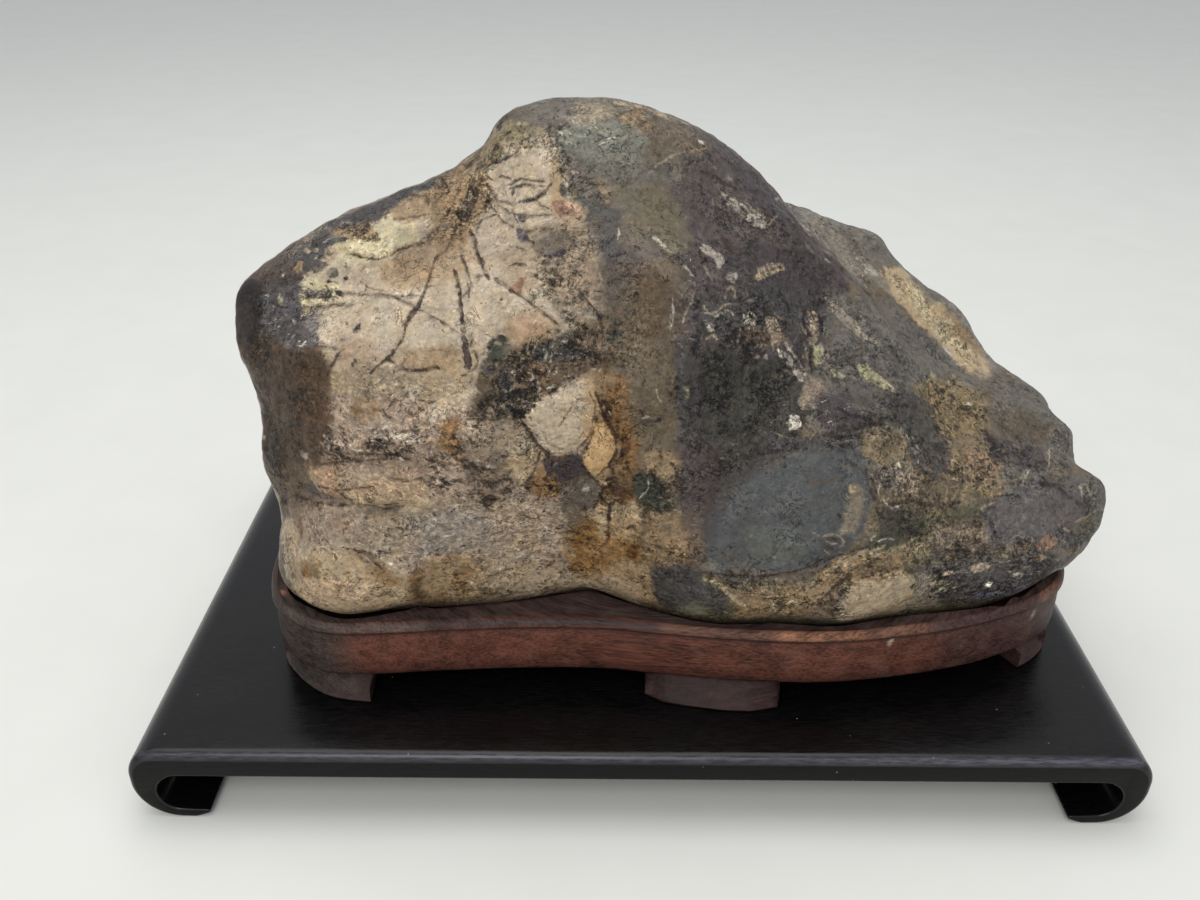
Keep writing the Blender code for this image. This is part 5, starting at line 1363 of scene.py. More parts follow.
# Deep pits, drawn as dots
PITS = [
    (936, 390), (935, 395), (940, 402), (952, 401), (947, 395), (953, 412), (942, 424), (938, 415),
    (960, 434), (965, 435), (974, 434), (962, 446), (970, 444), (974, 449), (976, 447), (955, 456),
    (967, 468), (979, 470), (994, 477), (992, 484), (1001, 478), (1002, 488), (945, 408),
    (958, 424), (968, 418), (950, 440), (964, 456), (986, 488),
]
PATCHES += [("pit black", 0.3, 1.1, [(x, y), (x + 1, y + 1)]) for x, y in PITS]

# Veins and cracks by kind, with a few painted glints, highlights and shadows among them:
# (half width px at start, at end, points)
VEINS = {
    "ink": [
        (0.9, 0.9, [(346, 253), (362, 256), (380, 257), (392, 253), (400, 249), (412, 246),
            (425, 243)]),
        (1.2, 0.8, [(410, 194), (420, 196), (426, 198), (428, 203)]),
        (1.0, 0.8, [(442, 180), (445, 184), (448, 189)]),
        (0.8, 0.7, [(395, 219), (408, 218), (420, 215), (428, 214)]),
        (1.0, 1.2, [(437, 256), (432, 268), (428, 280), (424, 292)]),
        (1.0, 0.6, [(437, 256), (446, 249), (452, 240), (455, 226)]),
        (1.0, 2.2, [(454, 270), (457, 280), (459, 292)]),
        (1.1, 1.0, [(462, 258), (467, 268), (471, 284), (468, 296)]),
        (1.8, 1.1, [(471, 232), (475, 246), (480, 262), (488, 278)]),
        (1.0, 0.8, [(466, 168), (474, 158), (480, 150)]),
        (1.0, 0.8, [(490, 158), (495, 144), (500, 137), (507, 132)]),
        (1.3, 0.8, [(478, 168), (490, 164), (504, 160), (517, 152)]),
        (1.0, 0.6, [(513, 266), (520, 264), (525, 265)]),
        (0.9, 0.7, [(496, 279), (510, 288)]),
        (0.9, 0.7, [(660, 202), (666, 207), (672, 212)]),
        (0.8, 0.8, [(477, 278), (483, 276)]),
        (0.8, 0.8, [(316, 346), (328, 347), (341, 350)]),
        (1.5, 0.7, [(339, 355), (333, 365), (327, 376)]),
        (1.2, 2.8, [(424, 292), (420, 302), (416, 309)]),
        (2.8, 1.2, [(416, 309), (408, 320), (404, 328)]),
        (1.2, 1.1, [(404, 328), (401, 341), (393, 351), (388, 358), (382, 363)]),
        (0.6, 0.6, [(382, 363), (376, 368), (372, 374)]),
        (1.0, 1.6, [(388, 360), (396, 366), (405, 370), (420, 370), (438, 368)]),
        (0.7, 0.7, [(345, 293), (368, 295), (395, 297), (417, 296)]),
        (0.7, 0.7, [(394, 297), (404, 302), (413, 306)]),
        (0.6, 0.6, [(419, 310), (438, 319), (452, 329), (461, 335)]),
        (2.2, 2.0, [(459, 292), (460, 304), (461, 318)]),
        (2.0, 3.6, [(461, 318), (463, 332), (465, 345)]),
        (5.0, 6.0, [(465, 346), (467, 358), (468, 366)]),
        (0.8, 0.9, [(474, 352), (477, 361), (473, 370), (464, 375)]),
        (0.8, 0.8, [(467, 285), (469, 290), (463, 295)]),
        (0.7, 0.7, [(472, 335), (471, 346)]),
        (0.9, 0.8, [(495, 280), (512, 291), (530, 303), (546, 315), (558, 325)]),
        (0.8, 0.8, [(470, 419), (490, 420), (520, 419)]),
        (1.6, 2.2, [(520, 420), (530, 435), (540, 447), (548, 456)]),
        (1.0, 1.0, [(579, 290), (590, 304), (600, 318), (602, 330)]),
        (0.6, 0.6, [(641, 372), (645, 380), (643, 384)]),
        (0.7, 0.7, [(302, 308), (320, 307), (340, 305), (353, 304)]),
        (0.7, 0.7, [(340, 453), (360, 455), (390, 454), (410, 460)]),
        (0.5, 0.5, [(387, 409), (394, 402)]),
        (0.9, 0.7, [(702, 171), (718, 177), (736, 188)]),
        (1.2, 0.9, [(510, 184), (514, 180.5), (520, 179), (528, 179.5), (536, 181), (542, 181.5)]),
        (1.3, 0.8, [(512, 189), (517, 187), (524, 185.5), (530, 185.5), (538, 186.5), (543, 187)]),
        (1.4, 1.3, [(513, 194), (514, 189)]),
        (1.0, 1.5, [(550, 184), (547.5, 188), (545, 192), (541, 195), (536, 198), (531, 200)]),
        (0.8, 0.7, [(500, 202), (506, 203), (512, 203)]),
        (0.9, 0.6, [(536, 201), (540, 204.5), (543, 207), (548, 208)]),
        (1.0, 1.0, [(488, 186), (492, 190), (494, 195), (496, 201), (499, 206), (503, 209),
            (508, 211), (512, 213), (517, 214.5)]),
        (1.0, 0.8, [(518, 215), (526, 215.5), (534, 215.5), (541, 215), (549, 215)]),
        (0.9, 0.9, [(513, 211), (515, 217), (517, 223)]),
        (0.9, 0.8, [(500, 218), (505, 223.5), (511, 226)]),
        (1.0, 0.7, [(527, 233), (533, 231), (539, 229)]),
        (0.9, 0.6, [(528, 240), (533, 243)]),
        (0.9, 0.7, [(541, 231), (546, 229), (552, 229)]),
        (0.9, 0.8, [(518, 248), (523, 249)]),
        (1.5, 1.0, [(473, 235), (475, 243), (477, 250), (479.5, 257), (483, 262)]),
        (1.0, 0.8, [(556, 341), (559, 337.5), (564, 336), (568, 339), (568, 343), (564, 346)]),
        (0.9, 0.6, [(521, 354), (524, 350), (526, 346)]),
        (1.0, 0.8, [(559, 362), (566, 362)]),
        (0.9, 0.7, [(571, 360), (577, 360.5)]),
        (0.9, 0.7, [(589, 362), (593, 364)]),
        (0.9, 0.7, [(535, 369), (536.5, 373)]),
        (0.9, 0.8, [(539, 374), (543, 373), (544.5, 370)]),
        (0.8, 0.6, [(551, 371), (554, 367)]),
        (0.9, 0.6, [(549, 392.5), (556, 389)]),
        (0.9, 0.7, [(531, 384.5), (535, 382)]),
        (0.8, 0.6, [(523, 372), (528, 376)]),
        (0.8, 0.6, [(546, 383), (551, 381)]),
        (0.8, 0.6, [(560, 370), (565, 373)]),
        (0.9, 0.6, [(516, 379), (520, 381)]),
        (0.8, 0.6, [(541, 388), (546, 390)]),
        (1.0, 0.7, [(640, 411), (643, 415)]),
        (0.9, 0.7, [(660.5, 451), (661, 457)]),
        (0.9, 0.6, [(639, 423.5), (644, 424)]),
        (1.0, 0.7, [(745, 203), (747, 208), (750, 213)]),
        (1.0, 0.7, [(741, 213), (745, 217)]),
        (1.2, 0.84, [(727, 193), (733, 197)]),
        (1.0, 0.7, [(718, 235), (724, 239), (730, 242)]),
        (1.0, 0.7, [(723, 242), (728, 248), (733, 252)]),
        (0.9, 0.63, [(772, 269), (778, 268)]),
        (1.0, 0.7, [(274, 304), (280, 307), (287, 308)]),
        (1.2, 0.84, [(384, 415), (386, 416)]),
        (1.0, 0.7, [(375, 438), (379, 442), (382, 444)]),
        (0.8, 0.56, [(403, 431), (408, 430), (414, 430)]),
        (0.8, 0.56, [(430, 403), (434, 401)]),
        (1.3, 0.91, [(811, 350), (812, 360), (813, 370)]),
        (1.2, 0.84, [(991, 508), (994, 507)]),
        (1.1, 0.77, [(872, 478), (875, 488), (876, 498)]),
        (1.3, 0.91, [(343, 494), (346, 498), (345, 503)]),
        (1.2, 0.84, [(315, 506), (317, 510)]),
        (0.9, 0.63, [(386, 505), (397, 504)]),
        (1.3, 0.91, [(484, 469), (490, 470), (498, 468)]),
        (1.2, 0.84, [(478, 476), (484, 479)]),
        (1.2, 0.84, [(492, 472), (497, 475)]),
        (1.3, 0.91, [(505, 479), (509, 480)]),
        (1.1, 0.77, [(440, 479), (448, 482)]),
        (1.2, 0.84, [(452, 481), (462, 479)]),
        (1.0, 0.7, [(455, 491), (457, 492)]),
        (1.2, 0.84, [(475, 490), (478, 491)]),
        (1.3, 0.91, [(544, 478), (548, 480)]),
        (1.2, 0.84, [(584, 466), (590, 477), (598, 487), (604, 490)]),
        (1.0, 0.7, [(613, 490), (610, 504), (608, 520), (608, 540)]),
        (1.1, 0.77, [(584, 508), (587, 517)]),
        (1.3, 0.91, [(628, 528), (634, 526), (636, 532)]),
        (1.1, 0.77, [(632, 536), (638, 538)]),
        (0.9, 0.63, [(656, 544), (660, 546)]),
        (0.9, 0.63, [(496, 574), (504, 571), (512, 569)]),
        (1.0, 0.7, [(540, 453), (536, 466), (530, 478), (526, 487)]),
        (1.2, 0.84, [(660, 453), (661, 458)]),
        (1.2, 0.84, [(672, 464), (675, 468)]),
        (1.2, 0.84, [(676, 473), (677, 477)]),
        (1.2, 0.84, [(838, 516), (841, 518)]),
        (1.0, 0.7, [(829, 539), (837, 540)]),
        (1.0, 0.7, [(840, 557), (850, 556), (860, 551), (868, 549)]),
        (1.1, 0.77, [(834, 590), (842, 582), (852, 575)]),
        (0.8, 0.56, [(864, 577), (874, 575), (882, 570)]),
        (0.8, 0.56, [(884, 569), (898, 568)]),
        (1.3, 0.91, [(952, 556), (956, 558)]),
        (0.9, 0.5, [(340, 455), (352, 460), (364, 459)]),
        (0.9, 0.6, [(366, 444), (372, 450), (376, 446)]),
        (0.9, 0.6, [(384, 452), (392, 456), (402, 453)]),
        (0.9, 0.5, [(326, 452), (334, 456)]),
        (0.8, 0.5, [(318, 464), (340, 462), (366, 461), (392, 458)]),
        (1.2, 0.7, [(462, 466), (474, 470), (486, 474)]),
        (1.2, 0.7, [(478, 480), (492, 484), (502, 480)]),
        (1.1, 0.6, [(482, 494), (490, 500), (498, 498)]),
        (0.9, 0.5, [(442, 482), (452, 484)]),
        (1.0, 0.6, [(458, 480), (466, 484)]),
        (0.9, 0.6, [(484, 506), (492, 510)]),
        (0.8, 0.5, [(396, 488), (402, 494)]),
        (0.7, 0.5, [(384, 410), (388, 418), (396, 420)]),
        (0.8, 0.4, [(350, 550), (364, 552), (378, 556)]),
        (0.8, 0.5, [(378, 552), (390, 553)]),
        (0.8, 0.5, [(364, 556), (374, 562), (384, 570)]),
        (1.4, 0.8, [(700, 252), (706, 258)]),
        (1.2, 0.6, [(692, 163), (688, 166)]),
        (1.2, 0.6, [(740, 208), (746, 214), (744, 222)]),
        (1.2, 0.6, [(728, 198), (734, 204)]),
        (1.1, 0.6, [(750, 206), (756, 212)]),
        (1.3, 0.7, [(718, 232), (726, 240)]),
        (1.2, 0.7, [(806, 312), (812, 318)]),
        (1.1, 0.6, [(800, 336), (806, 344)]),
        (1.2, 0.6, [(706, 572), (730, 576), (760, 577), (800, 571), (824, 560)]),
        (0.8, 0.4, [(826, 596), (842, 580), (858, 568), (880, 560)]),
        (0.9, 0.5, [(780, 200), (800, 226), (822, 250), (846, 272), (870, 296)]),
        # Painted shadow under the raised bands: this line and the next
        (1.3, 0.7, [(292, 496), (310, 503), (334, 507), (352, 505)]),
        (1.0, 0.6, [(366, 506), (384, 510), (404, 507)]),
        (0.9, 0.5, [(320, 486), (344, 489), (372, 486)]),
        (0.8, 0.5, [(390, 478), (410, 480), (426, 476)]),
        (0.8, 0.4, [(356, 552), (372, 556), (390, 552)]),
    ],
    "rust": [
        (1.6, 2.0, [(548, 457), (560, 459), (572, 453), (582, 446), (592, 432), (597, 420)]),
        (1.2, 1.0, [(590, 392), (596, 402), (593, 424), (586, 440)]),
        (1.6, 1.2, [(614, 372), (618, 384), (616, 396)]),
        (0.9, 0.8, [(362, 283), (374, 289), (386, 292)]),
        (0.9, 0.8, [(428, 351), (440, 350), (450, 351)]),
        (0.7, 0.7, [(455, 412), (446, 426), (440, 438)]),
        (0.7, 0.6, [(560, 424), (567, 413), (572, 405)]),
        (0.7, 0.6, [(548, 441), (560, 447), (575, 441), (583, 431)]),
        (0.6, 0.6, [(552, 436), (562, 433), (571, 433)]),
        (0.9, 0.63, [(692, 151), (698, 153), (705, 151)]),
        (0.9, 0.63, [(899, 286), (904, 292)]),
        (0.8, 0.56, [(955, 350), (960, 354)]),
        (1.0, 0.7, [(896, 280), (898, 282)]),
        (1.0, 0.7, [(404, 359), (402, 366)]),
        (1.2, 0.84, [(282, 400), (283, 412), (283, 422)]),
        (1.1, 0.77, [(381, 395), (387, 396), (393, 394)]),
        (1.0, 0.7, [(651, 444), (647, 449), (644, 452)]),
        (1.1, 0.77, [(795, 421), (797, 426)]),
        (1.3, 0.91, [(299, 520), (301, 530), (301, 541)]),
        (1.3, 0.91, [(328, 569), (333, 571)]),
        (1.2, 0.84, [(379, 574), (383, 570), (387, 574)]),
        (1.2, 0.84, [(384, 583), (390, 579), (396, 582), (391, 586)]),
        (1.0, 0.7, [(378, 596), (386, 592), (394, 595)]),
        (1.0, 0.7, [(324, 588), (326, 591)]),
        (0.9, 0.63, [(302, 588), (304, 590)]),
        (0.9, 0.63, [(341, 580), (343, 581)]),
        (1.2, 0.84, [(463, 592), (465, 586), (470, 585), (473, 588)]),
        (1.2, 0.84, [(352, 549), (362, 552), (373, 560), (381, 566)]),
        (1.1, 0.77, [(546, 562), (550, 562)]),
        (0.9, 0.63, [(486, 594), (500, 594)]),
        (1.0, 0.7, [(320, 462), (334, 463), (346, 465)]),
        (0.9, 0.63, [(852, 486), (854, 489)]),
        (1.1, 0.77, [(850, 524), (856, 525)]),
        (1.1, 0.77, [(723, 549), (725, 555), (730, 560)]),
        (1.0, 0.7, [(736, 552), (736, 558)]),
        (0.9, 0.63, [(812, 483), (822, 481), (840, 478)]),
        (0.9, 0.63, [(842, 463), (850, 466)]),
        (1.1, 0.77, [(750, 586), (756, 586)]),
        (1.1, 0.77, [(846, 590), (849, 593)]),
    ],
    "pale": [
        (1.6, 1.4, [(500, 128), (512, 123), (526, 124), (540, 134), (548, 148), (554, 168),
            (557, 188)]),
        (1.0, 0.8, [(655, 166), (668, 158), (680, 153), (704, 150)]),
        (0.9, 0.8, [(588, 252), (597, 264), (601, 280), (598, 292)]),
        (0.8, 0.6, [(566, 168), (568, 184), (566, 198)]),
        (0.8, 0.7, [(620, 115), (632, 124), (645, 133)]),
        (0.8, 0.7, [(634, 116), (646, 118), (660, 120)]),
        (1.2, 1.0, [(514, 296), (500, 320), (492, 335), (482, 350)]),
        (0.8, 0.7, [(786, 198), (796, 214), (806, 228)]),
        # Painted highlight along the facet's upper edge
        (0.9, 0.7, [(856, 322), (864, 334), (876, 342)]),
        (1.1, 0.77, [(713, 200), (715, 206), (719, 213)]),
        (0.8, 0.56, [(720, 204), (722, 206)]),
        (1.0, 0.7, [(768, 226), (773, 220), (776, 217)]),
        (1.2, 0.84, [(946, 320), (952, 329)]),
        (0.9, 0.63, [(962, 346), (970, 358)]),
        (0.9, 0.63, [(974, 358), (982, 368), (988, 378)]),
        (0.8, 0.56, [(447, 361), (452, 362)]),
        (1.0, 0.7, [(362, 388), (378, 388), (395, 391)]),
        (1.2, 0.84, [(684, 320), (690, 306), (694, 294)]),
        (1.0, 0.7, [(726, 297), (727, 290), (731, 287), (735, 291), (735, 298)]),
        (1.1, 0.77, [(705, 307), (710, 313), (716, 312), (723, 307), (728, 304)]),
        (1.0, 0.7, [(708, 338), (714, 334), (718, 338)]),
        (1.0, 0.7, [(745, 312), (749, 318), (754, 322), (752, 328), (746, 328), (742, 331)]),
        (1.2, 0.84, [(740, 329), (738, 339)]),
        (1.0, 0.7, [(747, 301), (753, 299)]),
        (1.2, 0.84, [(775, 313), (778, 317), (782, 319)]),
        (1.2, 0.84, [(772, 342), (774, 350)]),
        (1.1, 0.77, [(782, 376), (785, 370), (789, 372)]),
        (1.1, 0.77, [(802, 324), (806, 334)]),
        (1.1, 0.77, [(805, 344), (807, 356)]),
        (0.9, 0.63, [(837, 370), (844, 376)]),
        (1.1, 0.77, [(876, 379), (884, 382), (890, 385), (894, 392)]),
        (1.3, 0.91, [(808, 425), (814, 428), (815, 433), (811, 438)]),
        (0.9, 0.63, [(777, 434), (784, 437), (793, 438)]),
        (0.8, 0.56, [(945, 381), (950, 386), (955, 389)]),
        (0.9, 0.63, [(898, 460), (899, 472), (899, 478)]),
        (0.9, 0.63, [(913, 474), (917, 480)]),
        (0.9, 0.63, [(985, 447), (992, 452), (1000, 449)]),
        (1.1, 0.77, [(1079, 521), (1088, 515), (1098, 511), (1106, 510)]),
        (1.3, 0.91, [(984, 508), (990, 504), (996, 503)]),
        (1.0, 0.7, [(1068, 529), (1071, 533)]),
        (0.9, 0.63, [(590, 548), (600, 553), (612, 557), (617, 556)]),
        (1.2, 0.84, [(569, 556), (572, 552), (575, 556)]),
        (1.1, 0.77, [(574, 504), (578, 509)]),
        (1.3, 0.91, [(675, 508), (681, 513), (686, 516)]),
        (1.2, 0.84, [(669, 500), (675, 498)]),
        (1.0, 0.7, [(856, 498), (862, 496)]),
        (1.2, 0.84, [(846, 514), (852, 513)]),
        (1.2, 0.84, [(825, 537), (832, 534), (840, 536), (845, 542), (841, 546)]),
        (1.1, 0.77, [(828, 543), (836, 544)]),
        (1.2, 0.84, [(826, 552), (829, 554)]),
        (0.9, 0.63, [(814, 533), (820, 537)]),
        (1.0, 0.7, [(722, 588), (728, 595), (738, 600), (751, 600)]),
        (1.2, 0.84, [(768, 608), (784, 606), (797, 602), (805, 593), (814, 582)]),
        (0.7, 0.49, [(795, 599), (802, 592), (810, 582), (813, 578)]),
        (1.1, 0.77, [(824, 614), (829, 615)]),
        (1.0, 0.7, [(836, 566), (846, 558), (860, 551)]),
        (0.8, 0.56, [(842, 567), (854, 565)]),
        (1.2, 0.84, [(874, 557), (888, 551), (906, 545)]),
        (1.2, 0.84, [(950, 574), (962, 571)]),
        (1.3, 0.91, [(1007, 571), (1010, 572)]),
        (1.2, 0.84, [(1012, 565), (1016, 564)]),
        (1.1, 0.77, [(1024, 568), (1028, 566)]),
        (0.9, 0.63, [(1040, 556), (1050, 558), (1060, 561)]),
        (1.0, 0.7, [(1040, 571), (1047, 567)]),
        (1.1, 0.77, [(1000, 556), (1006, 556)]),
        (1.0, 0.7, [(1002, 562), (1008, 560)]),
        (0.9, 1.6, [(704, 578), (716, 586), (730, 598), (744, 606)]),
        (1.0, 2.2, [(762, 606), (790, 605), (806, 596), (822, 583), (840, 567), (862, 554),
            (884, 546)]),
        (0.8, 0.5, [(768, 612), (794, 611), (812, 602), (830, 588), (846, 572)]),
        (0.8, 0.4, [(720, 584), (742, 594), (764, 598), (786, 596), (804, 586)]),
        (0.7, 0.4, [(850, 574), (872, 560), (896, 550), (914, 540)]),
    ],
    "burnt": [
        (1.4, 1.9, [(599, 396), (600, 406), (602.5, 414), (606, 421), (610, 427), (613, 432),
            (615.5, 438), (616, 446), (616, 452), (614, 457), (610.5, 462), (609, 466)]),
        (1.2, 0.7, [(622, 455), (621, 459), (617, 460.5), (613, 461.5)]),
        (0.9, 0.8, [(600, 474), (604, 470), (608, 468), (613, 471)]),
        (1.5, 1.1, [(610, 486), (606, 489), (602, 492), (600, 497), (596, 503), (594, 507)]),
        (1.0, 1.4, [(593, 434), (590, 441), (587, 447), (584, 451)]),
        (1.1, 0.8, [(613, 503), (610, 511), (609, 520)]),
        (0.7, 0.6, [(596, 416), (597, 423)]),
        (0.7, 0.5, [(597, 392), (598, 399)]),
        (0.8, 0.6, [(608, 389), (610, 391)]),
        (1.0, 0.9, [(477, 231), (480, 224), (483, 220), (487, 218), (492, 217), (496, 216)]),
        (0.8, 0.6, [(482, 203), (488, 202)]),
        (1.0, 0.7, [(481, 193), (485, 197), (488, 201)]),
        (0.6, 0.4, [(500, 177), (504, 176), (509, 178)]),
        (0.9, 0.7, [(476, 164), (480, 161)]),
        (0.9, 0.6, [(486, 168), (491, 163)]),
        (0.8, 0.6, [(452, 204), (457, 198), (461, 190)]),
        (0.9, 0.5, [(448, 214), (452, 208)]),
        (0.8, 0.5, [(483, 186), (488, 188)]),
        (0.9, 0.6, [(459, 224), (464, 226)]),
        (0.7, 0.5, [(486, 176), (492, 180)]),
        (0.7, 0.5, [(474, 178), (481, 174)]),
        (0.8, 0.6, [(492, 208), (496, 212)]),
    ],
    "white": [
        (0.8, 0.5, [(543.5, 347), (541, 354), (537, 361)]),
        (0.9, 0.6, [(552, 345), (551, 353), (550, 361)]),
        (0.7, 0.5, [(534, 346), (532.5, 352)]),
        (0.7, 0.5, [(528, 344), (526, 351)]),
        (0.9, 0.6, [(499, 392.5), (506, 392), (512, 389), (514.5, 385)]),
        (0.8, 0.5, [(554, 352), (560, 353.5)]),
        (0.9, 0.6, [(571, 358), (576, 357)]),
        (0.9, 0.6, [(580, 354), (584, 355)]),
        (0.8, 0.6, [(587, 359), (591, 361)]),
        (0.8, 0.5, [(546, 347), (546, 353), (544, 360)]),
        (0.8, 0.6, [(537, 383), (540, 389), (537, 394)]),
        (0.8, 0.5, [(548, 388), (555, 385)]),
        (0.8, 0.5, [(519, 369), (523, 366)]),
        (0.8, 0.5, [(529, 373), (533, 377), (530, 381)]),
        (0.8, 0.6, [(554, 374), (556, 368)]),
        (0.8, 0.5, [(561, 376), (567, 377)]),
        (0.7, 0.5, [(545, 366), (548, 371)]),
        (0.8, 0.5, [(512, 372), (514, 378)]),
        (0.6, 0.5, [(567, 183), (568, 197)]),
        (0.7, 0.5, [(648, 482), (649, 488), (646, 493), (641, 497)]),
        (0.8, 0.6, [(643, 418), (650, 417.5)]),
        (1.0, 0.6, [(657, 391), (658, 397), (662, 402)]),
        (0.7, 0.5, [(462, 203), (464, 210), (467, 213)]),
        (0.8, 0.5, [(485, 170), (490, 167)]),
        (0.8, 0.6, [(484, 190), (487, 193)]),
        (0.8, 0.6, [(489, 172), (496, 170)]),
        (0.7, 0.5, [(519, 400), (526, 402)]),
        (0.8, 0.5, [(508, 404), (514, 405)]),
        # Painted glints on the ridge: this line and the next
        (1.3, 0.91, [(684, 266), (689, 271), (693, 276)]),
        (1.0, 0.7, [(690, 281), (694, 284)]),
        (1.3, 0.91, [(557, 130), (561, 134)]),
        (1.1, 0.77, [(573, 121), (579, 125)]),
        (0.9, 0.63, [(619, 229), (618, 238)]),
        (1.3, 0.91, [(827, 260), (829, 261)]),
        (1.0, 0.7, [(944, 347), (948, 354), (955, 360)]),
        (1.3, 0.91, [(385, 428), (388, 424), (390, 421)]),
        (1.2, 0.84, [(374, 430), (378, 434), (383, 436)]),
        (1.2, 0.84, [(404, 443), (407, 436), (413, 434), (417, 436), (419, 441)]),
        (1.0, 0.7, [(408, 441), (412, 437), (416, 440)]),
        (1.2, 0.84, [(400, 458), (403, 460)]),
        (1.3, 0.91, [(953, 391), (955, 392)]),
        (1.0, 0.7, [(470, 461), (480, 461)]),
        (1.3, 0.91, [(488, 466), (496, 467)]),
        (1.0, 0.7, [(560, 508), (562, 516), (566, 520)]),
        (0.9, 0.63, [(545, 526), (549, 532), (556, 534)]),
        (1.0, 0.7, [(871, 540), (875, 535)]),
        (0.9, 0.63, [(879, 541), (887, 538), (893, 539)]),
        (0.7, 0.5, [(372, 438), (378, 434), (384, 440), (380, 445)]),
        (0.8, 0.5, [(392, 436), (398, 433), (402, 438)]),
        (0.9, 0.6, [(404, 438), (410, 433), (416, 437), (412, 442)]),
        (0.8, 0.5, [(340, 446), (348, 444), (354, 449), (364, 450)]),
        (0.7, 0.5, [(324, 436), (330, 441), (328, 447)]),
        (0.7, 0.5, [(908, 440), (914, 452), (918, 462)]),
        (0.7, 0.4, [(912, 436), (920, 450)]),
        (0.6, 0.5, [(1048, 450), (1050, 462), (1046, 472)]),
        (0.6, 0.4, [(1030, 470), (1024, 480)]),
        (0.6, 0.4, [(1080, 486), (1084, 500)]),
        (0.6, 0.5, [(776, 198), (786, 204), (800, 222), (812, 236)]),
        (0.7, 0.5, [(741, 330), (738, 342)]),
        (0.7, 0.5, [(706, 312), (716, 316), (726, 310), (732, 314)]),
        (0.7, 0.5, [(744, 316), (750, 312), (756, 318), (752, 324)]),
        (0.7, 0.4, [(672, 300), (674, 316), (671, 330)]),
        (0.8, 0.5, [(884, 500), (890, 508), (900, 506)]),
        (0.7, 0.5, [(898, 462), (902, 474)]),
        (0.6, 0.4, [(872, 476), (880, 484), (878, 494)]),
        (0.8, 0.5, [(384, 431), (392, 437), (404, 434), (416, 440)]),
        (0.7, 0.5, [(372, 440), (380, 443), (388, 440)]),
        (0.7, 0.4, [(434, 520), (442, 524), (452, 521)]),
        (0.7, 0.4, [(462, 514), (470, 518)]),
        (0.7, 0.4, [(446, 536), (456, 534)]),
        (0.7, 0.4, [(500, 548), (510, 546), (518, 550)]),
    ],
}

# Grooves and ridges: (height mm, half width px, points along a line)
RELIEF = [
    (-1.2, 8, [(270, 490), (340, 508), (420, 520)]),
    (-1.6, 6, [(302, 488), (322, 498), (346, 503)]),
    (-1.3, 5, [(352, 510), (378, 507), (400, 506), (430, 514)]),
    (-0.8, 4, [(424, 280), (416, 310), (400, 338), (388, 358), (405, 370), (438, 370)]),
    (-0.9, 5, [(457, 284), (461, 318), (466, 350), (468, 370)]),
    (-0.7, 4, [(472, 235), (480, 262), (495, 280), (530, 303), (558, 325)]),
    (-1.2, 5, [(520, 420), (532, 438), (548, 457), (572, 453), (592, 432), (600, 404)]),
    (-1.0, 4, [(602, 398), (610, 421), (617, 438), (616, 456), (604, 472)]),
    (-1.0, 5, [(509, 184), (520, 179), (546, 182), (551, 190), (530, 202)]),
    (-1.2, 6, [(700, 578), (728, 596), (752, 604), (790, 604), (812, 586), (840, 560), (868, 549)]),
    (0.9, 4, [(770, 608), (797, 602), (814, 582)]),
    (-0.9, 4, [(826, 304), (844, 320), (876, 346)]),
    (-1.4, 6, [(818, 433), (846, 437), (882, 424)]),
    (-1.2, 5, [(985, 505), (1020, 498), (1046, 480), (1070, 490), (1097, 509)]),
    (-1.0, 6, [(985, 540), (1030, 540), (1082, 519)]),
    (-1.0, 5, [(676, 338), (677, 400), (678, 470)]),
    (-0.9, 5, [(778, 188), (806, 228), (850, 276)]),
    (-1.0, 4, [(338, 252), (380, 258), (400, 250), (425, 243)]),
    (-0.8, 5, [(500, 128), (540, 134), (552, 160), (557, 190)]),
]

# Raised and sunken areas: (height mm, edge softness px, outline)
BULGES = [
    (1.8, 22, [(524, 421), (530, 406), (556, 392), (584, 372), (600, 368), (602, 400), (597, 424),
        (588, 442), (574, 452), (558, 456), (544, 448), (532, 434)]),
    (1.2, 12, [(601, 424), (611, 437), (614, 455), (606, 466), (588, 472), (584, 462), (591, 448)]),
    (1.0, 10, [(842, 600), (856, 580), (882, 572), (912, 572), (913, 592), (900, 607), (846, 619)]),
    (-1.6, 14, [(484, 354), (502, 334), (592, 330), (596, 350), (552, 390), (500, 404),
        (474, 418)]),
    (1.2, 12, [(308, 471), (318, 466), (400, 470), (428, 474), (432, 510), (400, 503), (356, 507),
        (326, 496)]),
    (0.8, 8, [(504, 184), (530, 180), (550, 186), (540, 198), (522, 202), (508, 196)]),
    (-1.0, 10, [(636, 478), (656, 472), (668, 486), (664, 500), (642, 500)]),
    (0.9, 6, [(724, 192), (745, 200), (764, 216), (757, 226), (742, 212)]),
    (0.9, 6, [(702, 243), (727, 258), (719, 268), (706, 255)]),
    (1.0, 6, [(782, 341), (797, 357), (808, 378), (802, 378), (787, 352)]),
    (1.0, 5, [(809, 312), (823, 344), (822, 366), (814, 362), (808, 336)]),
    (1.4, 6, [(787, 417), (799, 416), (801, 426), (794, 432), (786, 427)]),
]

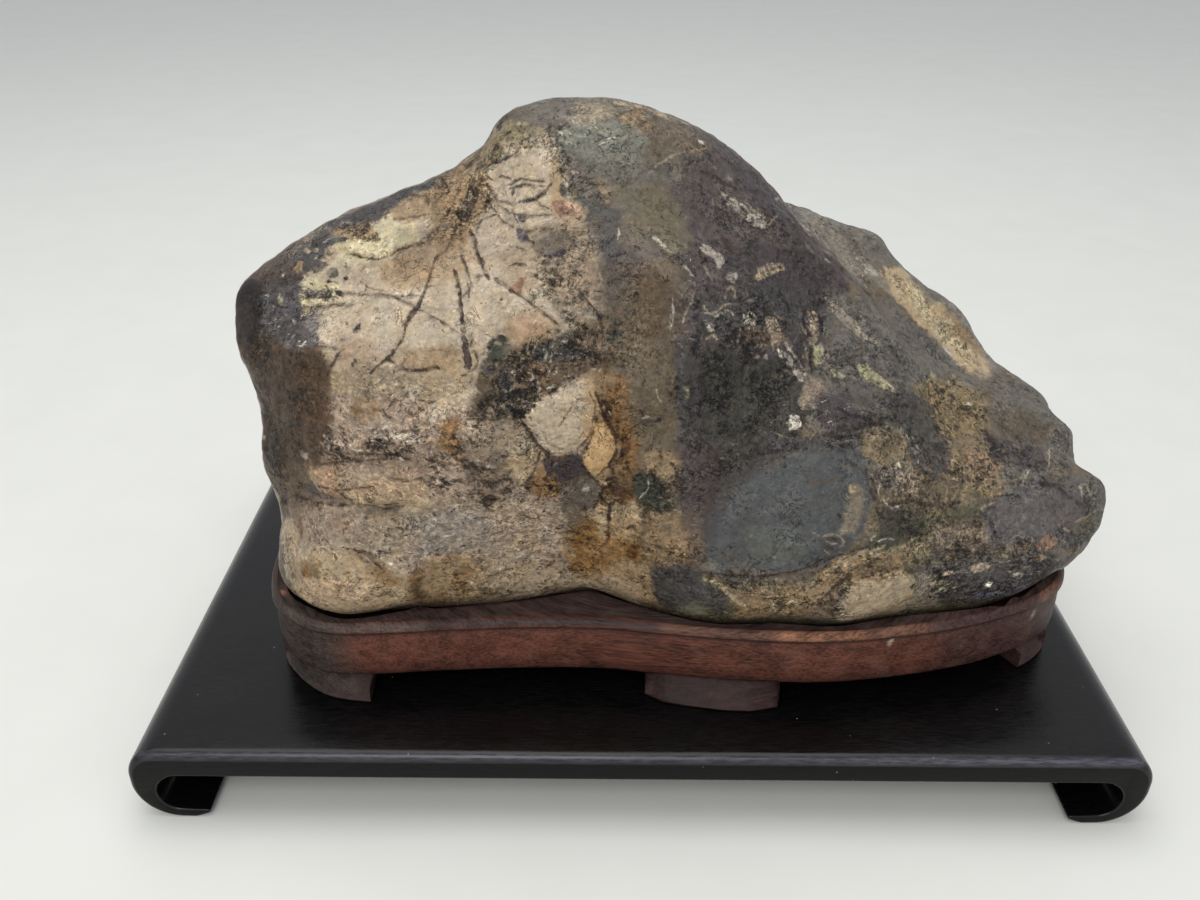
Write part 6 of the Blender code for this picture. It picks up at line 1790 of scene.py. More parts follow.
# Masses of the sides and back: (tint, strength, edge softness, mottling, flecks,
# centre mm, radii mm)
FAR_MASSES = [
    ("cream", 0.9, 0.16, 0.14, 0.04, (-120, 66, 158), (66, 70, 52)),
    ("ivory", 0.8, 0.22, 0.08, 0.0, (-112, 76, 176), (34, 50, 24)),
    ("tan", 0.7, 0.3, 0.2, 0.1, (-150, 60, 110), (44, 60, 26)),
    ("dusk purple", 0.9, 0.14, 0.16, 0.04, (-36, 74, 206), (40, 70, 74)),
    ("summit grey", 0.8, 0.25, 0.2, 0.1, (-50, 40, 270), (60, 60, 30)),
    ("olive", 0.7, 0.2, 0.2, 0.05, (18, 78, 196), (26, 60, 34)),
    ("bark", 0.8, 0.22, 0.5, 0.1, (-74, 76, 104), (52, 60, 18)),
    ("dark slate", 0.9, 0.14, 0.14, 0.02, (52, 70, 160), (48, 60, 52)),
    ("dark green", 0.8, 0.18, 0.24, 0.04, (8, 80, 122), (30, 50, 30)),
    ("slate blue", 0.9, 0.12, 0.1, 0.0, (104, 70, 112), (46, 60, 24)),
    ("light tan", 0.8, 0.16, 0.1, 0.04, (-38, 80, 138), (20, 40, 15)),
    ("brown tan", 0.8, 0.18, 0.42, 0.1, (150, 50, 138), (34, 60, 20)),
    ("gold brown", 0.8, 0.18, 0.16, 0.06, (96, 64, 176), (38, 60, 11)),
    ("slate", 0.8, 0.2, 0.14, 0.02, (180, 30, 110), (34, 70, 26)),
    ("purple brown", 0.8, 0.2, 0.24, 0.1, (196, 20, 84), (40, 70, 14)),
    ("rust brown", 0.8, 0.3, 0.4, 0.06, (-14, 84, 92), (16, 50, 22)),
    ("orange brown", 0.7, 0.4, 0.24, 0.04, (-10, 84, 84), (9, 40, 12)),
    ("tan", 0.7, 0.22, 0.2, 0.08, (66, 76, 84), (48, 50, 12)),
    ("peach", 0.6, 0.3, 0.14, 0.04, (-84, 76, 214), (18, 40, 18)),
    ("rust brown", 0.8, 0.22, 0.45, 0.04, (-182, 10, 150), (26, 40, 34)),
    ("pinkish grey", 0.7, 0.25, 0.2, 0.16, (-172, 30, 90), (30, 50, 18)),
]

# Knobs and notches of the outline: (height mm, radius mm, centre mm)
KNOBS = [
    (-3.2, 9, (212, -36, 122)), (1.5, 8, (219, -48, 116)), (1.6, 8, (205, -31, 136)),
    (-3.0, 10, (130, 32, 203)), (1.2, 9, (120, 29, 211)), (2.8, 11, (165, 16, 168)),
    (-1.6, 5, (-182, -20, 180)), (-1.4, 5, (-178, -30, 140)), (-1.5, 6, (-176, -40, 112)),
]

FINE_FACES = 36000           # triangles facing the camera that are split once more
FULL_FRONT, NO_FRONT = 0.30, 0.06    # how squarely a point faces the camera
SEEN, VEIN_SEEN = 0.01, 0.02         # least share of the front that takes a marking
SEAT_LINE = 84.0             # relief fades out below this height
STONE_BOTTOM = 61.9
TINT_GAIN, GLOSS_HAZE, DARKEST = 0.94, 0.007, 0.004
EDGE_SOFTNESS = 0.6          # how much of each ground's softness is used
PLAIN_MOTTLING, PLAIN_FLECKS = 0.25, 0.04    # in front, where no outline says otherwise
COARSE_SIZE, SMALL_SIZE = 16, 5      # mm: the noise that bends the outlines
PAINT_SHAKE = (4.5, 3.6)     # px by which coarse and small noise bend the grounds
SECOND_SHAKE = (5.0, 4.5)    # the same for their second reading, bent another way
VEIN_SHAKE = 1.2
# Natural unevenness in mm: swells, ridges, and pits that are deeper in dense mottling
SWELL_HEIGHT, SWELL_SIZE = 1.0, 26
RIDGE_HEIGHT, RIDGE_SIZE, RIDGE_MIDDLE = 0.9, 34, 0.75
PIT_HEIGHT, MOTTLED_PIT_HEIGHT, PIT_SIZE, PIT_TOP = 0.20, 1.5, 6, 0.35
# How noise bends the far masses: (mm, noise size mm, octaves, seeds)
FAR_BENDS = ((13, 46, 4, (81, 91, 101)), (5, 13, 3, (111, 121, 131)))
FAR_LEFT_X, FAR_RIGHT_X = -50, 20    # between these the far side turns from pink to slate


def stone_tint(name):
    """A named tint as linear light, less the haze that the stone's gloss lays over it."""
    return np.maximum(TINT_GAIN * linear(TINTS[name]) - GLOSS_HAZE, DARKEST)


def nearby(pixels, front, line, reach, seen=SEEN):
    """Numbers of the visible points within reach of a line's or outline's extent."""
    low, high = np.min(line, axis=0) - reach, np.max(line, axis=0) + reach
    return np.nonzero(np.all((pixels > low) & (pixels < high), axis=1) & (front > seen))[0]


def spread_on(values, pixels, front, outline, softness, strength, target):
    """Blend one outline's tint or number into the values stored on the points."""
    near = nearby(pixels, front, outline, softness)
    depth = inside_depth(pixels[near], outline)
    share = ramp(-softness / 2, softness / 2, depth) * strength * front[near]
    if values.ndim == 2:
        share = share[:, None]
    values[near] += (target - values[near]) * share


def toward_eye(points, normals):
    """How squarely each point faces the camera: 1 facing it, 0 edge on."""
    sight = EYE - points
    return np.sum(normals * sight, axis=1) / np.linalg.norm(sight, axis=1)


def noise_columns(points, size, octaves, seeds):
    """Noise of one kind for each seed, side by side."""
    return np.column_stack([layered_noise(points, size, octaves, seed) for seed in seeds])


def stone_points():
    """The stone's skin: the CAD solid rounded between its corners, then finely split."""
    points, faces = weld(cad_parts["stone"])
    for _ in range(2):
        points, faces = split_triangles(points, faces, np.ones(len(faces), bool))
    normals = point_normals(points, faces)
    facing = toward_eye(points[faces].mean(axis=1), normals[faces].mean(axis=1))
    chosen = np.zeros(len(faces), bool)
    chosen[np.argsort(-facing, kind="stable")[:FINE_FACES]] = True
    return split_triangles(points, faces, chosen)


def stone_relief(points, normals, pixels, front, mottling):
    """Push the skin in and out: drawn relief in front, and natural unevenness all over."""
    free = ramp(SEAT_LINE - 6, SEAT_LINE + 8, points[:, 2])
    height = SWELL_HEIGHT * layered_noise(points, SWELL_SIZE, 3, 11)
    ridges = 1 - np.abs(layered_noise(points, RIDGE_SIZE, 3, 31))
    height += RIDGE_HEIGHT * (ridges - RIDGE_MIDDLE)
    pits = np.minimum(layered_noise(points, PIT_SIZE, 3, 21), PIT_TOP)
    height += (PIT_HEIGHT + MOTTLED_PIT_HEIGHT * mottling) * pits
    for rise, half_width, line in RELIEF:
        near = nearby(pixels, front, line, 3 * half_width)
        offset, _ = line_offset(pixels[near], line)
        height[near] += rise * np.exp(-(offset / half_width) ** 2) * front[near]
    for rise, softness, outline in BULGES:
        near = nearby(pixels, front, outline, softness)
        depth = inside_depth(pixels[near], outline)
        height[near] += rise * ramp(-softness / 2, softness / 2, depth) * front[near]
    for rise, radius, centre in KNOBS:
        height += rise * np.exp(-np.sum((points - centre) ** 2, axis=1) / radius ** 2)
    return points + normals * (height * free)[:, None]


def far_side_paint(points):
    """Tint, mottling and flecks of the sides and back, in the stone's own coordinates."""
    bent = points
    for bend, size, octaves, seeds in FAR_BENDS:
        bent = bent + bend * noise_columns(points, size, octaves, seeds)
    side = ramp(FAR_LEFT_X, FAR_RIGHT_X, bent[:, 0])[:, None]
    paint = stone_tint("pinkish grey") * (1 - side) + stone_tint("slate") * side
    mottling = 0.18 + 0.10 * side[:, 0]
    flecks = np.full(len(points), PLAIN_FLECKS)
    for tint, strength, softness, amount, bright, centre, radii in FAR_MASSES:
        depth = 1 - np.linalg.norm((bent - centre) / np.asarray(radii, float), axis=1)
        share = strength * ramp(-softness, softness, depth)
        paint += (stone_tint(tint) - paint) * share[:, None]
        mottling += (amount - mottling) * share
        flecks += (bright - flecks) * share
    return paint, mottling, flecks


def stone_grounds(points, pixels, front, coarse, small):
    """What the broad outlines say of each point, by the names the material reads."""
    wavy = pixels + PAINT_SHAKE[0] * coarse + PAINT_SHAKE[1] * small
    other = pixels - SECOND_SHAKE[0] * coarse[:, ::-1] - SECOND_SHAKE[1] * small[:, ::-1]
    paint, mottling, flecks = far_side_paint(points)
    second = paint.copy()
    for tint, softness, strength, outline in GROUNDS:
        for values, places in ((paint, wavy), (second, other)):
            spread_on(values, places, front, outline, EDGE_SOFTNESS * softness, strength,
                      stone_tint(tint))
    mottle = np.tile(stone_tint("bark"), (len(points), 1))
    mottling += (PLAIN_MOTTLING - mottling) * front
    flecks += (PLAIN_FLECKS - flecks) * front
    for tint, amount, softness, outline in MOTTLES:
        spread_on(mottle, wavy, front, outline, softness, 1.0, stone_tint(tint))
        spread_on(mottling, wavy, front, outline, softness, 1.0, amount)
    for amount, softness, outline in FLECKS:
        spread_on(flecks, wavy, front, outline, softness, 1.0, amount)
    return {"paint": paint, "second": second, "mottle": mottle, "mottling": mottling,
            "flecks": flecks, "hidden": 1 - front}


def build_stone():
    """The stone, with all that its markings need stored on its points."""
    points, faces = stone_points()
    normals = point_normals(points, faces)
    front = ramp(NO_FRONT, FULL_FRONT, toward_eye(points, normals))
    coarse = noise_columns(points, COARSE_SIZE, 3, (41, 51))
    small = noise_columns(points, SMALL_SIZE, 3, (61, 71))
    pixels = to_pixels(points)
    grounds = stone_grounds(points, pixels, front, coarse, small)
    points = stone_relief(points, normals, pixels, front, grounds["mottling"])
    points[:, 2] = np.maximum(points[:, 2], STONE_BOTTOM)
    obj = make_mesh("viewing_stone", points, faces, ["stone"])
    for name, values in grounds.items():
        store(obj, name, values)
    for number, layer in enumerate(patch_layers(PATCHES)):
        depth, tint = patch_values(layer, pixels, small, front)
        store(obj, f"patch{number}", depth)
        store(obj, f"patch{number}_tint", tint)
    for kind, veins in VEINS.items():
        for number, layer in enumerate(vein_layers(veins)):
            offset, width = vein_values(layer, pixels + VEIN_SHAKE * small, front)
            store(obj, f"{kind}{number}_offset", offset)
            store(obj, f"{kind}{number}_width", width)
    obj.data.materials.append(stone_material())
    return obj


PATCH_LAYERS, PATCH_ROOM = 4, 6.0    # patches on one layer stay this many px apart
PATCH_CLEAR, WIDE_GAP = 4, 99.0      # a gap that is enough, and the gap on an empty layer
PATCH_REACH, NO_PATCH = 12, -30.0    # px beyond which a patch has no say, and depth there
VEIN_LAYERS = 4
VEIN_REACH = 5.5             # px beyond which a vein has no say
VEIN_FADE_FROM, VEIN_FADE = 0.55, 8  # share of the reach where its half width starts to go,
                                     # and the px that have gone at the reach
NO_VEIN_OFFSET, NO_VEIN_WIDTH = 50.0, -5.0


def patch_layers(patches):
    """Sort patches onto layers, each over those it overlaps and clear of its layer's others."""
    layers = [[] for _ in range(PATCH_LAYERS)]
    for patch in patches:
        points = resample(patch[3], 2.0)
        low, high = points.min(axis=0) - PATCH_ROOM, points.max(axis=0) + PATCH_ROOM
        clear = []
        for layer in layers:
            gap = WIDE_GAP
            for other, other_low, other_high, others in layer:
                if np.any(other_low > high) or np.any(other_high < low):
                    continue
                if other[2] is None:
                    gap = min(gap, -inside_depth(points, other[3]).max())
                apart = np.linalg.norm(points[:, None] - others[None], axis=2).min()
                gap = min(gap, apart - (other[2] or 0) - (patch[2] or 0))
            clear.append(gap)
        over = [i for i, gap in enumerate(clear) if gap <= 0]
        first = min(over[-1] + 1, PATCH_LAYERS - 1) if over else 0
        free = [i for i in range(first, PATCH_LAYERS) if clear[i] > PATCH_CLEAR]
        pick = free[0] if free else first + int(np.argmax(clear[first:]))
        layers[pick].append((patch, low, high, points))
    return [[entry[0] for entry in layer] for layer in layers]


def patch_values(layer, pixels, small, front):
    """How deep inside the nearest patch of a layer each point is (px), and its tint."""
    depth = np.full(len(pixels), NO_PATCH)
    tints = np.tile(stone_tint("ivory"), (len(pixels), 1))
    for tint, ragged, half_width, line in layer:
        near = nearby(pixels, front, line, PATCH_REACH)
        shaken = pixels[near] + ragged * small[near]
        if half_width is None:
            here = inside_depth(shaken, line)
        else:
            here = half_width - np.abs(line_offset(shaken, line)[0])
        better = here > depth[near]
        depth[near[better]] = here[better]
        tints[near[better]] = stone_tint(tint)
    return depth, tints


def vein_layers(veins):
    """Sort veins onto layers so that those on one layer stay clear of each other."""
    layers = [[] for _ in range(VEIN_LAYERS)]
    for vein in veins:
        dense = resample(vein[2])
        clear = []
        for layer in layers:
            gaps = [np.abs(line_offset(dense, other[2])[0]).min() for other in layer]
            clear.append(min(gaps, default=FAR_OFF))
        pick = next((i for i, gap in enumerate(clear) if gap > 2 * VEIN_REACH),
                    int(np.argmax(clear)))
        layers[pick].append(vein)
    return layers


def resample(line, step=3.0):
    """Points along a line about step pixels apart."""
    line = np.asarray(line, float)
    made = []
    for start, end in zip(line[:-1], line[1:]):
        count = max(1, int(np.linalg.norm(end - start) / step))
        made += [start + (end - start) * i / count for i in range(count)]
    return np.array(made + [line[-1]])


def vein_values(layer, pixels, front):
    """Signed offset from the nearest vein, and that vein's half width there."""
    offset = np.full(len(pixels), NO_VEIN_OFFSET)
    width = np.full(len(pixels), NO_VEIN_WIDTH)
    for start_width, end_width, line in layer:
        near = nearby(pixels, front, line, VEIN_REACH, VEIN_SEEN)
        here, share = line_offset(pixels[near], line)
        better = np.abs(here) < np.abs(offset[near])
        near, here, share = near[better], here[better], share[better]
        offset[near] = here
        thick = start_width + (end_width - start_width) * share
        width[near] = thick - VEIN_FADE * ramp(VEIN_REACH * VEIN_FADE_FROM, VEIN_REACH,
                                               np.abs(here))
    return offset, width


# Kinds of vein in the order they are laid on: (kind, tint, strength, px off the half width)
VEIN_KINDS = (("pale", "pale yellow", 0.75, 0.0), ("white", "white", 0.75, 0.0),
              ("rust", "deep rust", 0.85, 0.0), ("burnt", "burnt", 0.9, 0.0),
              ("ink", "ink", 0.88, 0.25))
# The two ink lines under the raised bands in the lower left are painted shadow.
DARK_KINDS = ("ink", "burnt")        # these are cracks, lower than the skin


def stone_base_colour(s):
    """The grounds, torn together from their two readings, and warmer and cooler in places."""
    torn = s.spread(s.noise(3.6, 5, 0.68, distortion=0.6), 0.475, 0.525)
    colour = s.mix(torn, s.stored("paint", "Color"), s.stored("second", "Color"))
    warm = s.mix(1.0, colour, (1.03, 0.99, 0.92), "MULTIPLY")
    cool = s.mix(1.0, colour, (0.98, 1.0, 1.02), "MULTIPLY")
    return s.mix(s.spread(s.noise(8, 4, 0.6, distortion=0.8), 0.4, 0.6), cool, warm)


def add_patches(s, colour, spots):
    """The small crisp shapes, with the mottling between the lower and upper layers."""
    mottle = s.stored("mottle", "Color")
    colour = s.mix(s.times(spots, 0.4), colour, mottle)
    wobble = s.times(s.minus(s.noise(2.0, 4, 0.7), 0.5), 6.5)
    broken = s.spread(s.noise(2.2, 3, 0.6), 0.36, 0.54, 0.5, 1.0)
    for number in range(PATCH_LAYERS):
        shown = s.spread(s.plus(s.stored(f"patch{number}"), wobble), -0.8, 0.9)
        tint = s.stored(f"patch{number}_tint", "Color")
        colour = s.mix(s.times(shown, broken), colour, tint)
        if number == 1:
            colour = s.mix(s.times(spots, 0.7), colour, mottle)
    return colour


def add_rust_by_veins(s, colour):
    """Rust brown laid along the dark veins, in broken patches beside them."""
    near_veins = None
    for number in range(VEIN_LAYERS):
        offset = s.math("ABSOLUTE", s.stored(f"ink{number}_offset"))
        here = s.spread(s.minus(s.stored(f"ink{number}_width"), offset), -4.5, 1.0)
        near_veins = here if near_veins is None else s.highest(near_veins, here)
    near_veins = s.times(near_veins, s.spread(s.noise(3.4, 4, 0.66), 0.40, 0.60, 0.0, 0.75))
    return s.mix(near_veins, colour, tuple(stone_tint("rust brown")))


def add_far_marks(s, colour):
    """Dark veins and pale chips where the camera doesn't look."""
    hidden = s.stored("hidden")
    veins = s.creases(36, 4, 0.55, 0.7, 0.003, 0.010)
    where = s.times(hidden, s.spread(s.noise(24, 2, 0.5), 0.47, 0.57, 0.0, 0.85))
    colour = s.mix(s.times(veins, where), colour, tuple(stone_tint("ink")))
    chips = s.spread(s.noise(7, 4, 0.66, distortion=1.2), 0.63, 0.66)
    where = s.times(hidden, s.spread(s.noise(42, 2, 0.5), 0.48, 0.58, 0.0, 0.8))
    return s.mix(s.times(chips, where), colour, tuple(stone_tint("chip")))


def add_veins(s, colour):
    """The drawn veins, frayed and fading in places, and where the dark ones are."""
    cracks = None
    fray = s.times(s.minus(s.noise(2.2, 4, 0.65), 0.5), 4.5)
    swell = s.times(s.minus(s.noise(3.2, 3, 0.6), 0.5), 4.5)
    faded = s.spread(s.noise(5.5, 3, 0.6), 0.40, 0.56, 0.35, 1.0)
    for kind, tint, strength, thinner in VEIN_KINDS:
        for number in range(VEIN_LAYERS):
            offset = s.math("ABSOLUTE", s.plus(s.stored(f"{kind}{number}_offset"), fray))
            room = s.plus(s.stored(f"{kind}{number}_width"), swell)
            if thinner:
                room = s.minus(room, thinner)
            shown = s.times(s.spread(s.minus(room, offset), -1.0, 1.2), faded)
            colour = s.mix(s.times(shown, strength), colour, tuple(stone_tint(tint)))
            if kind in DARK_KINDS:
                cracks = shown if cracks is None else s.highest(cracks, shown)
    return colour, cracks


def pitting(s, density):
    """Small dark pits in two sizes, more of them where the mottling is dense."""
    pitted = None
    for size, spot, gain in ((1.9, 0.70, 0.17), (3.2, 0.72, 0.19)):
        dots = s.plus(s.noise(size, 3, 0.62, distortion=0.4), s.times(density, gain))
        dots = s.spread(dots, spot - 0.01, spot + 0.03)
        pitted = dots if pitted is None else s.highest(pitted, dots)
    return pitted


def stone_material():
    """The stone's skin: drawn markings, then fine grain, pits, crackle and hair lines."""
    s = Shader("stone_skin")
    density = s.times(s.stored("mottling"), s.spread(s.noise(13, 4, 0.6), 0.40, 0.60, 0.35, 1.45))
    parts = s.parts(s.mm)
    bedded = s.join(s.times(parts[0], 0.75), s.times(parts[1], 0.75), parts[2])
    fine = s.noise(1.3, 2, 0.6)
    grain = s.noise(2.3, 3, 0.6, bedded)
    coarse = s.noise(5.5, 4, 0.6, bedded)
    cloudy = s.noise(18, 3, 0.5)

    blotch = s.noise(2.4, 4, 0.68, bedded, distortion=0.9)
    threshold = s.minus(0.672, s.times(density, 0.23))
    spots = s.spread(s.minus(blotch, threshold), -0.015, 0.035)
    colour = add_patches(s, stone_base_colour(s), spots)
    colour = add_far_marks(s, add_rust_by_veins(s, colour))
    colour, cracks = add_veins(s, colour)

    lively = s.plus(0.13, s.times(density, 0.95))
    bright = s.plus(s.spread(fine, 0.38, 0.62, -0.55, 0.6),
                    s.spread(grain, 0.41, 0.59, -0.62, 0.75))
    bright = s.plus(bright, s.spread(coarse, 0.42, 0.58, -0.34, 0.34))
    bright = s.plus(s.times(bright, lively), s.spread(cloudy, 0.35, 0.65, 0.92, 1.20))
    bright = s.highest(bright, 0.25)
    pitted = pitting(s, density)
    flecks = s.plus(s.noise(2.6, 3, 0.66, bedded, 1.2), s.times(s.stored("flecks"), 0.27))
    denser = s.times(density, 0.35)
    crinkle = s.times(s.creases(7.5, 4, 0.6, 1.2, 0.004, 0.018),
                      s.spread(s.plus(cloudy, denser), 0.58, 0.76))
    hair = s.times(s.creases(12, 4, 0.58, 0.9, 0.001, 0.009),
                   s.spread(s.noise(17, 2, 0.5), 0.47, 0.58))
    curls = s.times(s.creases(4.6, 2, 0.5, 1.8, 0.006, 0.022),
                    s.spread(s.plus(s.noise(13, 3, 0.6), denser), 0.60, 0.78))
    for shown, low, high, gain in ((pitted, 0, 1, 0.42), (flecks, 0.645, 0.69, 1.55),
                                   (crinkle, 0, 1, 0.64), (hair, 0, 1, 0.66),
                                   (curls, 0, 1, 1.38)):
        bright = s.times(bright, s.spread(shown, low, high, 1.0, gain))
    colour = s.shade(colour, bright)

    relief = s.plus(s.times(grain, 0.5), s.times(coarse, 0.8))
    relief = s.times(s.plus(relief, s.times(fine, 0.2)), lively)
    for lowered, amount in ((cracks, 0.35), (crinkle, 0.3), (pitted, 0.35),
                            (s.times(spots, density), 0.4)):
        relief = s.minus(relief, s.times(lowered, amount))
    rough = s.spread(s.noise(7, 4, 0.6), 0.3, 0.7, 0.34, 0.54)
    return s.finish(colour, rough, s.bump(relief, 2.6, 1.0), Specular_IOR_Level=0.35)


# ---------------------------------------------------------------- carved base
BASE_UNDERSIDE, SEAT_EDGE, SEAT_FLOOR = 50.0, 77.8, 61.5
TABLE_TOP, FIT_GAP = 38.0, 0.3
GROOVE_HEIGHT, GROOVE_DEPTH = 75.0, 1.4
BEAD_CENTRE, BEAD_RADIUS = (-1.4, 76.0), 3.0
BEAD_DEGREES = (-14, 0, 15, 30, 45, 60, 75, 90)
FOOT_COVE, FOOT_DEPTH = 3.2, 17.0
TOE_HEIGHT = TABLE_TOP + FIT_GAP
SEAT_GAP, LEAST_RIM = 0.35, 4.0      # clearance round the stone, and wood left outside it
SEAT_CENTRE = np.array([10.0, -15.0])
SEAT_SCAN_FROM, SEAT_SCAN_STEP, STONE_SCAN_TOP = 63.0, 1.5, 90.0
BASE_OUTLINE = [
    (209, -15), (203, 15), (188, 42), (160, 63), (120, 77), (70, 85), (20, 88), (-40, 88),
    (-95, 80), (-135, 62), (-160, 36), (-172, 0), (-175, -35), (-174, -65), (-170, -84),
    (-165, -95), (-156, -104), (-141, -111.5), (-118, -112), (-91, -109.5), (-52, -107),
    (-18, -107), (10, -110.5), (45, -114.5), (84, -115.5), (120, -110.5), (150, -103),
    (172, -94), (188, -85), (200, -73), (207, -55), (210, -35),
]
# start, end, and how far the toe stands out along the foot
FEET = [
    ((178, 50), (150, 68), (1.0, 4.0, 4.0, 2.0)),
    ((62, 86), (6, 88), (2.5, 6.5, 6.5, 2.5)),
    ((-122, 68), (-152, 45), (2.0, 4.0, 4.0, 1.0)),
    ((-170, -84), (-124, -113), (0.0, -1.0, 1.5, 5.5)),
    ((3, -110), (63, -115), (1.0, 5.5, 6.5, 7.0, 7.5, 7.0, 3.5)),
    ((182, -89), (201, -73), (1.0, 1.0, 0.5, 0.0)),
]
FOOT_FILLET = 3.2            # rounding where a foot's end meets the underside
FILLET_STEPS = ((1.0, 0.0), (0.55, 0.05), (0.25, 0.13), (0.04, 0.30))    # (turn, foot share)
STATION_STEP = 2.2           # between the points of a ring, along the wall
LEFT_END_X, RIGHT_END_X = -128.0, 150.0    # the groove gets shallow beyond these
# Rows round the base from the underside's inner edge up to the bead, each as
# (offset outward from the wall, height).  A toe row's offset adds to its foot's reach, and its
# height counts from the toe's underside.
FOOT_INNER_ROWS = ((-FOOT_DEPTH, 50.0), (-FOOT_DEPTH + 2.5, 44.0),
                   (-FOOT_DEPTH + 4, TOE_HEIGHT + 1.0), (-FOOT_DEPTH + 4.8, TOE_HEIGHT))
TOE_ROWS = ((-1.2, 0.0), (-0.2, 0.5), (0.0, 1.3), (-0.7, 2.2), (-2.9, 4.2), (-5.6, 6.8),
            (-7.0, 9.2))
WALL_ROWS = ((-1.9, 50.03), (-0.9, 50.35), (-0.25, 51.1), (0.0, 52.3), (0.3, 55), (0.5, 60),
             (0.5, 65), (0.35, 69), (0.1, 72.2), (-0.05, 73.8))
# Groove rows: (share of the groove's depth, further offset, height above its middle)
GROOVE_ROWS = ((-0.45, 0.0, -0.65), (-1.0, 0.0, -0.2), (-1.0, 0.0, 0.15), (-0.35, 0.2, 0.5))
# From the bead in to the stone: (share of the way, height)
LIP_ROWS = ((0.12, 78.75), (0.3, 78.35), (0.55, 78.0), (0.8, 77.85), (0.96, SEAT_EDGE),
            (1.0, SEAT_EDGE - 0.4))
INSIDE = -99.0               # marks rows of the seat, which no wear reaches
# Slight unevenness of the wood above the toes: (height mm, noise size mm, octaves, seed)
UNEVENNESS = ((0.06, 9, 2, 201), (0.096, 40, 2, 205))
EVEN_ROWS = 4                # the innermost rows keep to the stone


def closed_curve(points, steps):
    """A closed Catmull-Rom curve."""
    p = np.asarray(points, float)
    t = (np.arange(steps) / steps)[:, None]
    made = []
    for i in range(len(p)):
        p0, p1, p2, p3 = (p[(i + k - 1) % len(p)] for k in range(4))
        made.append(0.5 * (2 * p1 + (p2 - p0) * t + (2 * p0 - 5 * p1 + 4 * p2 - p3) * t ** 2
                           + (3 * p1 - p0 - 3 * p2 + p3) * t ** 3))
    return np.vstack(made)


def plan_angle(point):
    """Angle of a point in plan about the seat's centre."""
    return math.atan2(point[1] - SEAT_CENTRE[1], point[0] - SEAT_CENTRE[0]) % math.tau


class Wall:
    """The base's wall in plan, by angle about the seat's centre."""

    def __init__(self):
        curve = closed_curve(BASE_OUTLINE, 40)
        angle = np.array([plan_angle(p) for p in curve])
        order = np.argsort(angle)
        self.angle, self.curve = angle[order], curve[order]

    def at(self, angle):
        """Points of the wall at these angles."""
        return np.column_stack([np.interp(angle, self.angle, self.curve[:, k], period=math.tau)
                                for k in (0, 1)])

    def out(self, angle):
        """Directions straight out of the wall at these angles."""
        along = self.at(angle + 0.02) - self.at(angle - 0.02)
        along /= np.linalg.norm(along, axis=1)[:, None]
        return np.column_stack([along[:, 1], -along[:, 0]])


def base_stations(wall):
    """Angles round the wall, with the height share of the foot at each (0 where none)."""
    ends = sorted((plan_angle(start), plan_angle(end)) for start, end, _ in FEET)
    stations = []

    def run(first, last, share):
        length = np.linalg.norm(wall.at(np.array([first])) - wall.at(np.array([last])))
        count = max(2, int(round(length / STATION_STEP)))
        stations.extend((first + (last - first) * i / count, share) for i in range(count))

    for number, (first, last) in enumerate(ends):
        radius = np.linalg.norm(wall.at(np.array([last])) - SEAT_CENTRE)
        turn = FOOT_FILLET / radius
        stations += [(first - turn * step, share) for step, share in FILLET_STEPS]
        run(first, last, 1.0)
        stations.append((last, 1.0))
        stations += [(last + turn * step, share) for step, share in FILLET_STEPS[:0:-1]]
        following = ends[(number + 1) % len(ends)][0]
        if following < last:
            following += math.tau
        run(last + turn, following - turn * 1.3, 0.0)
    angles, heights = np.array(stations).T
    return angles, heights


def toe_reaches(angles):
    """How far the toe stands out at each angle."""
    reach = np.zeros(len(angles))
    for start, end, reaches in FEET:
        first, last = plan_angle(start), plan_angle(end)
        share = (np.mod(angles, math.tau) - first) / (last - first)
        here = (share > -0.15) & (share < 1.15)
        reach[here] = np.interp(share[here], np.linspace(0, 1, len(reaches)), reaches)
    return reach


def stone_edge(tree, angles, height):
    """How far out the stone comes in each direction, at or below a height."""
    reach = np.zeros(len(angles))
    for level in np.arange(SEAT_SCAN_FROM, height + 0.01, SEAT_SCAN_STEP):
        for k, angle in enumerate(angles):
            toward = Vector((math.cos(angle), math.sin(angle), 0))
            hit = tree.ray_cast(Vector((*SEAT_CENTRE, level)) + toward * 400, -toward)[0]
            if hit is not None:
                reach[k] = max(reach[k], math.hypot(hit[0] - SEAT_CENTRE[0],
                                                    hit[1] - SEAT_CENTRE[1]))
    return np.max([np.roll(reach, k) for k in range(-2, 3)], axis=0)


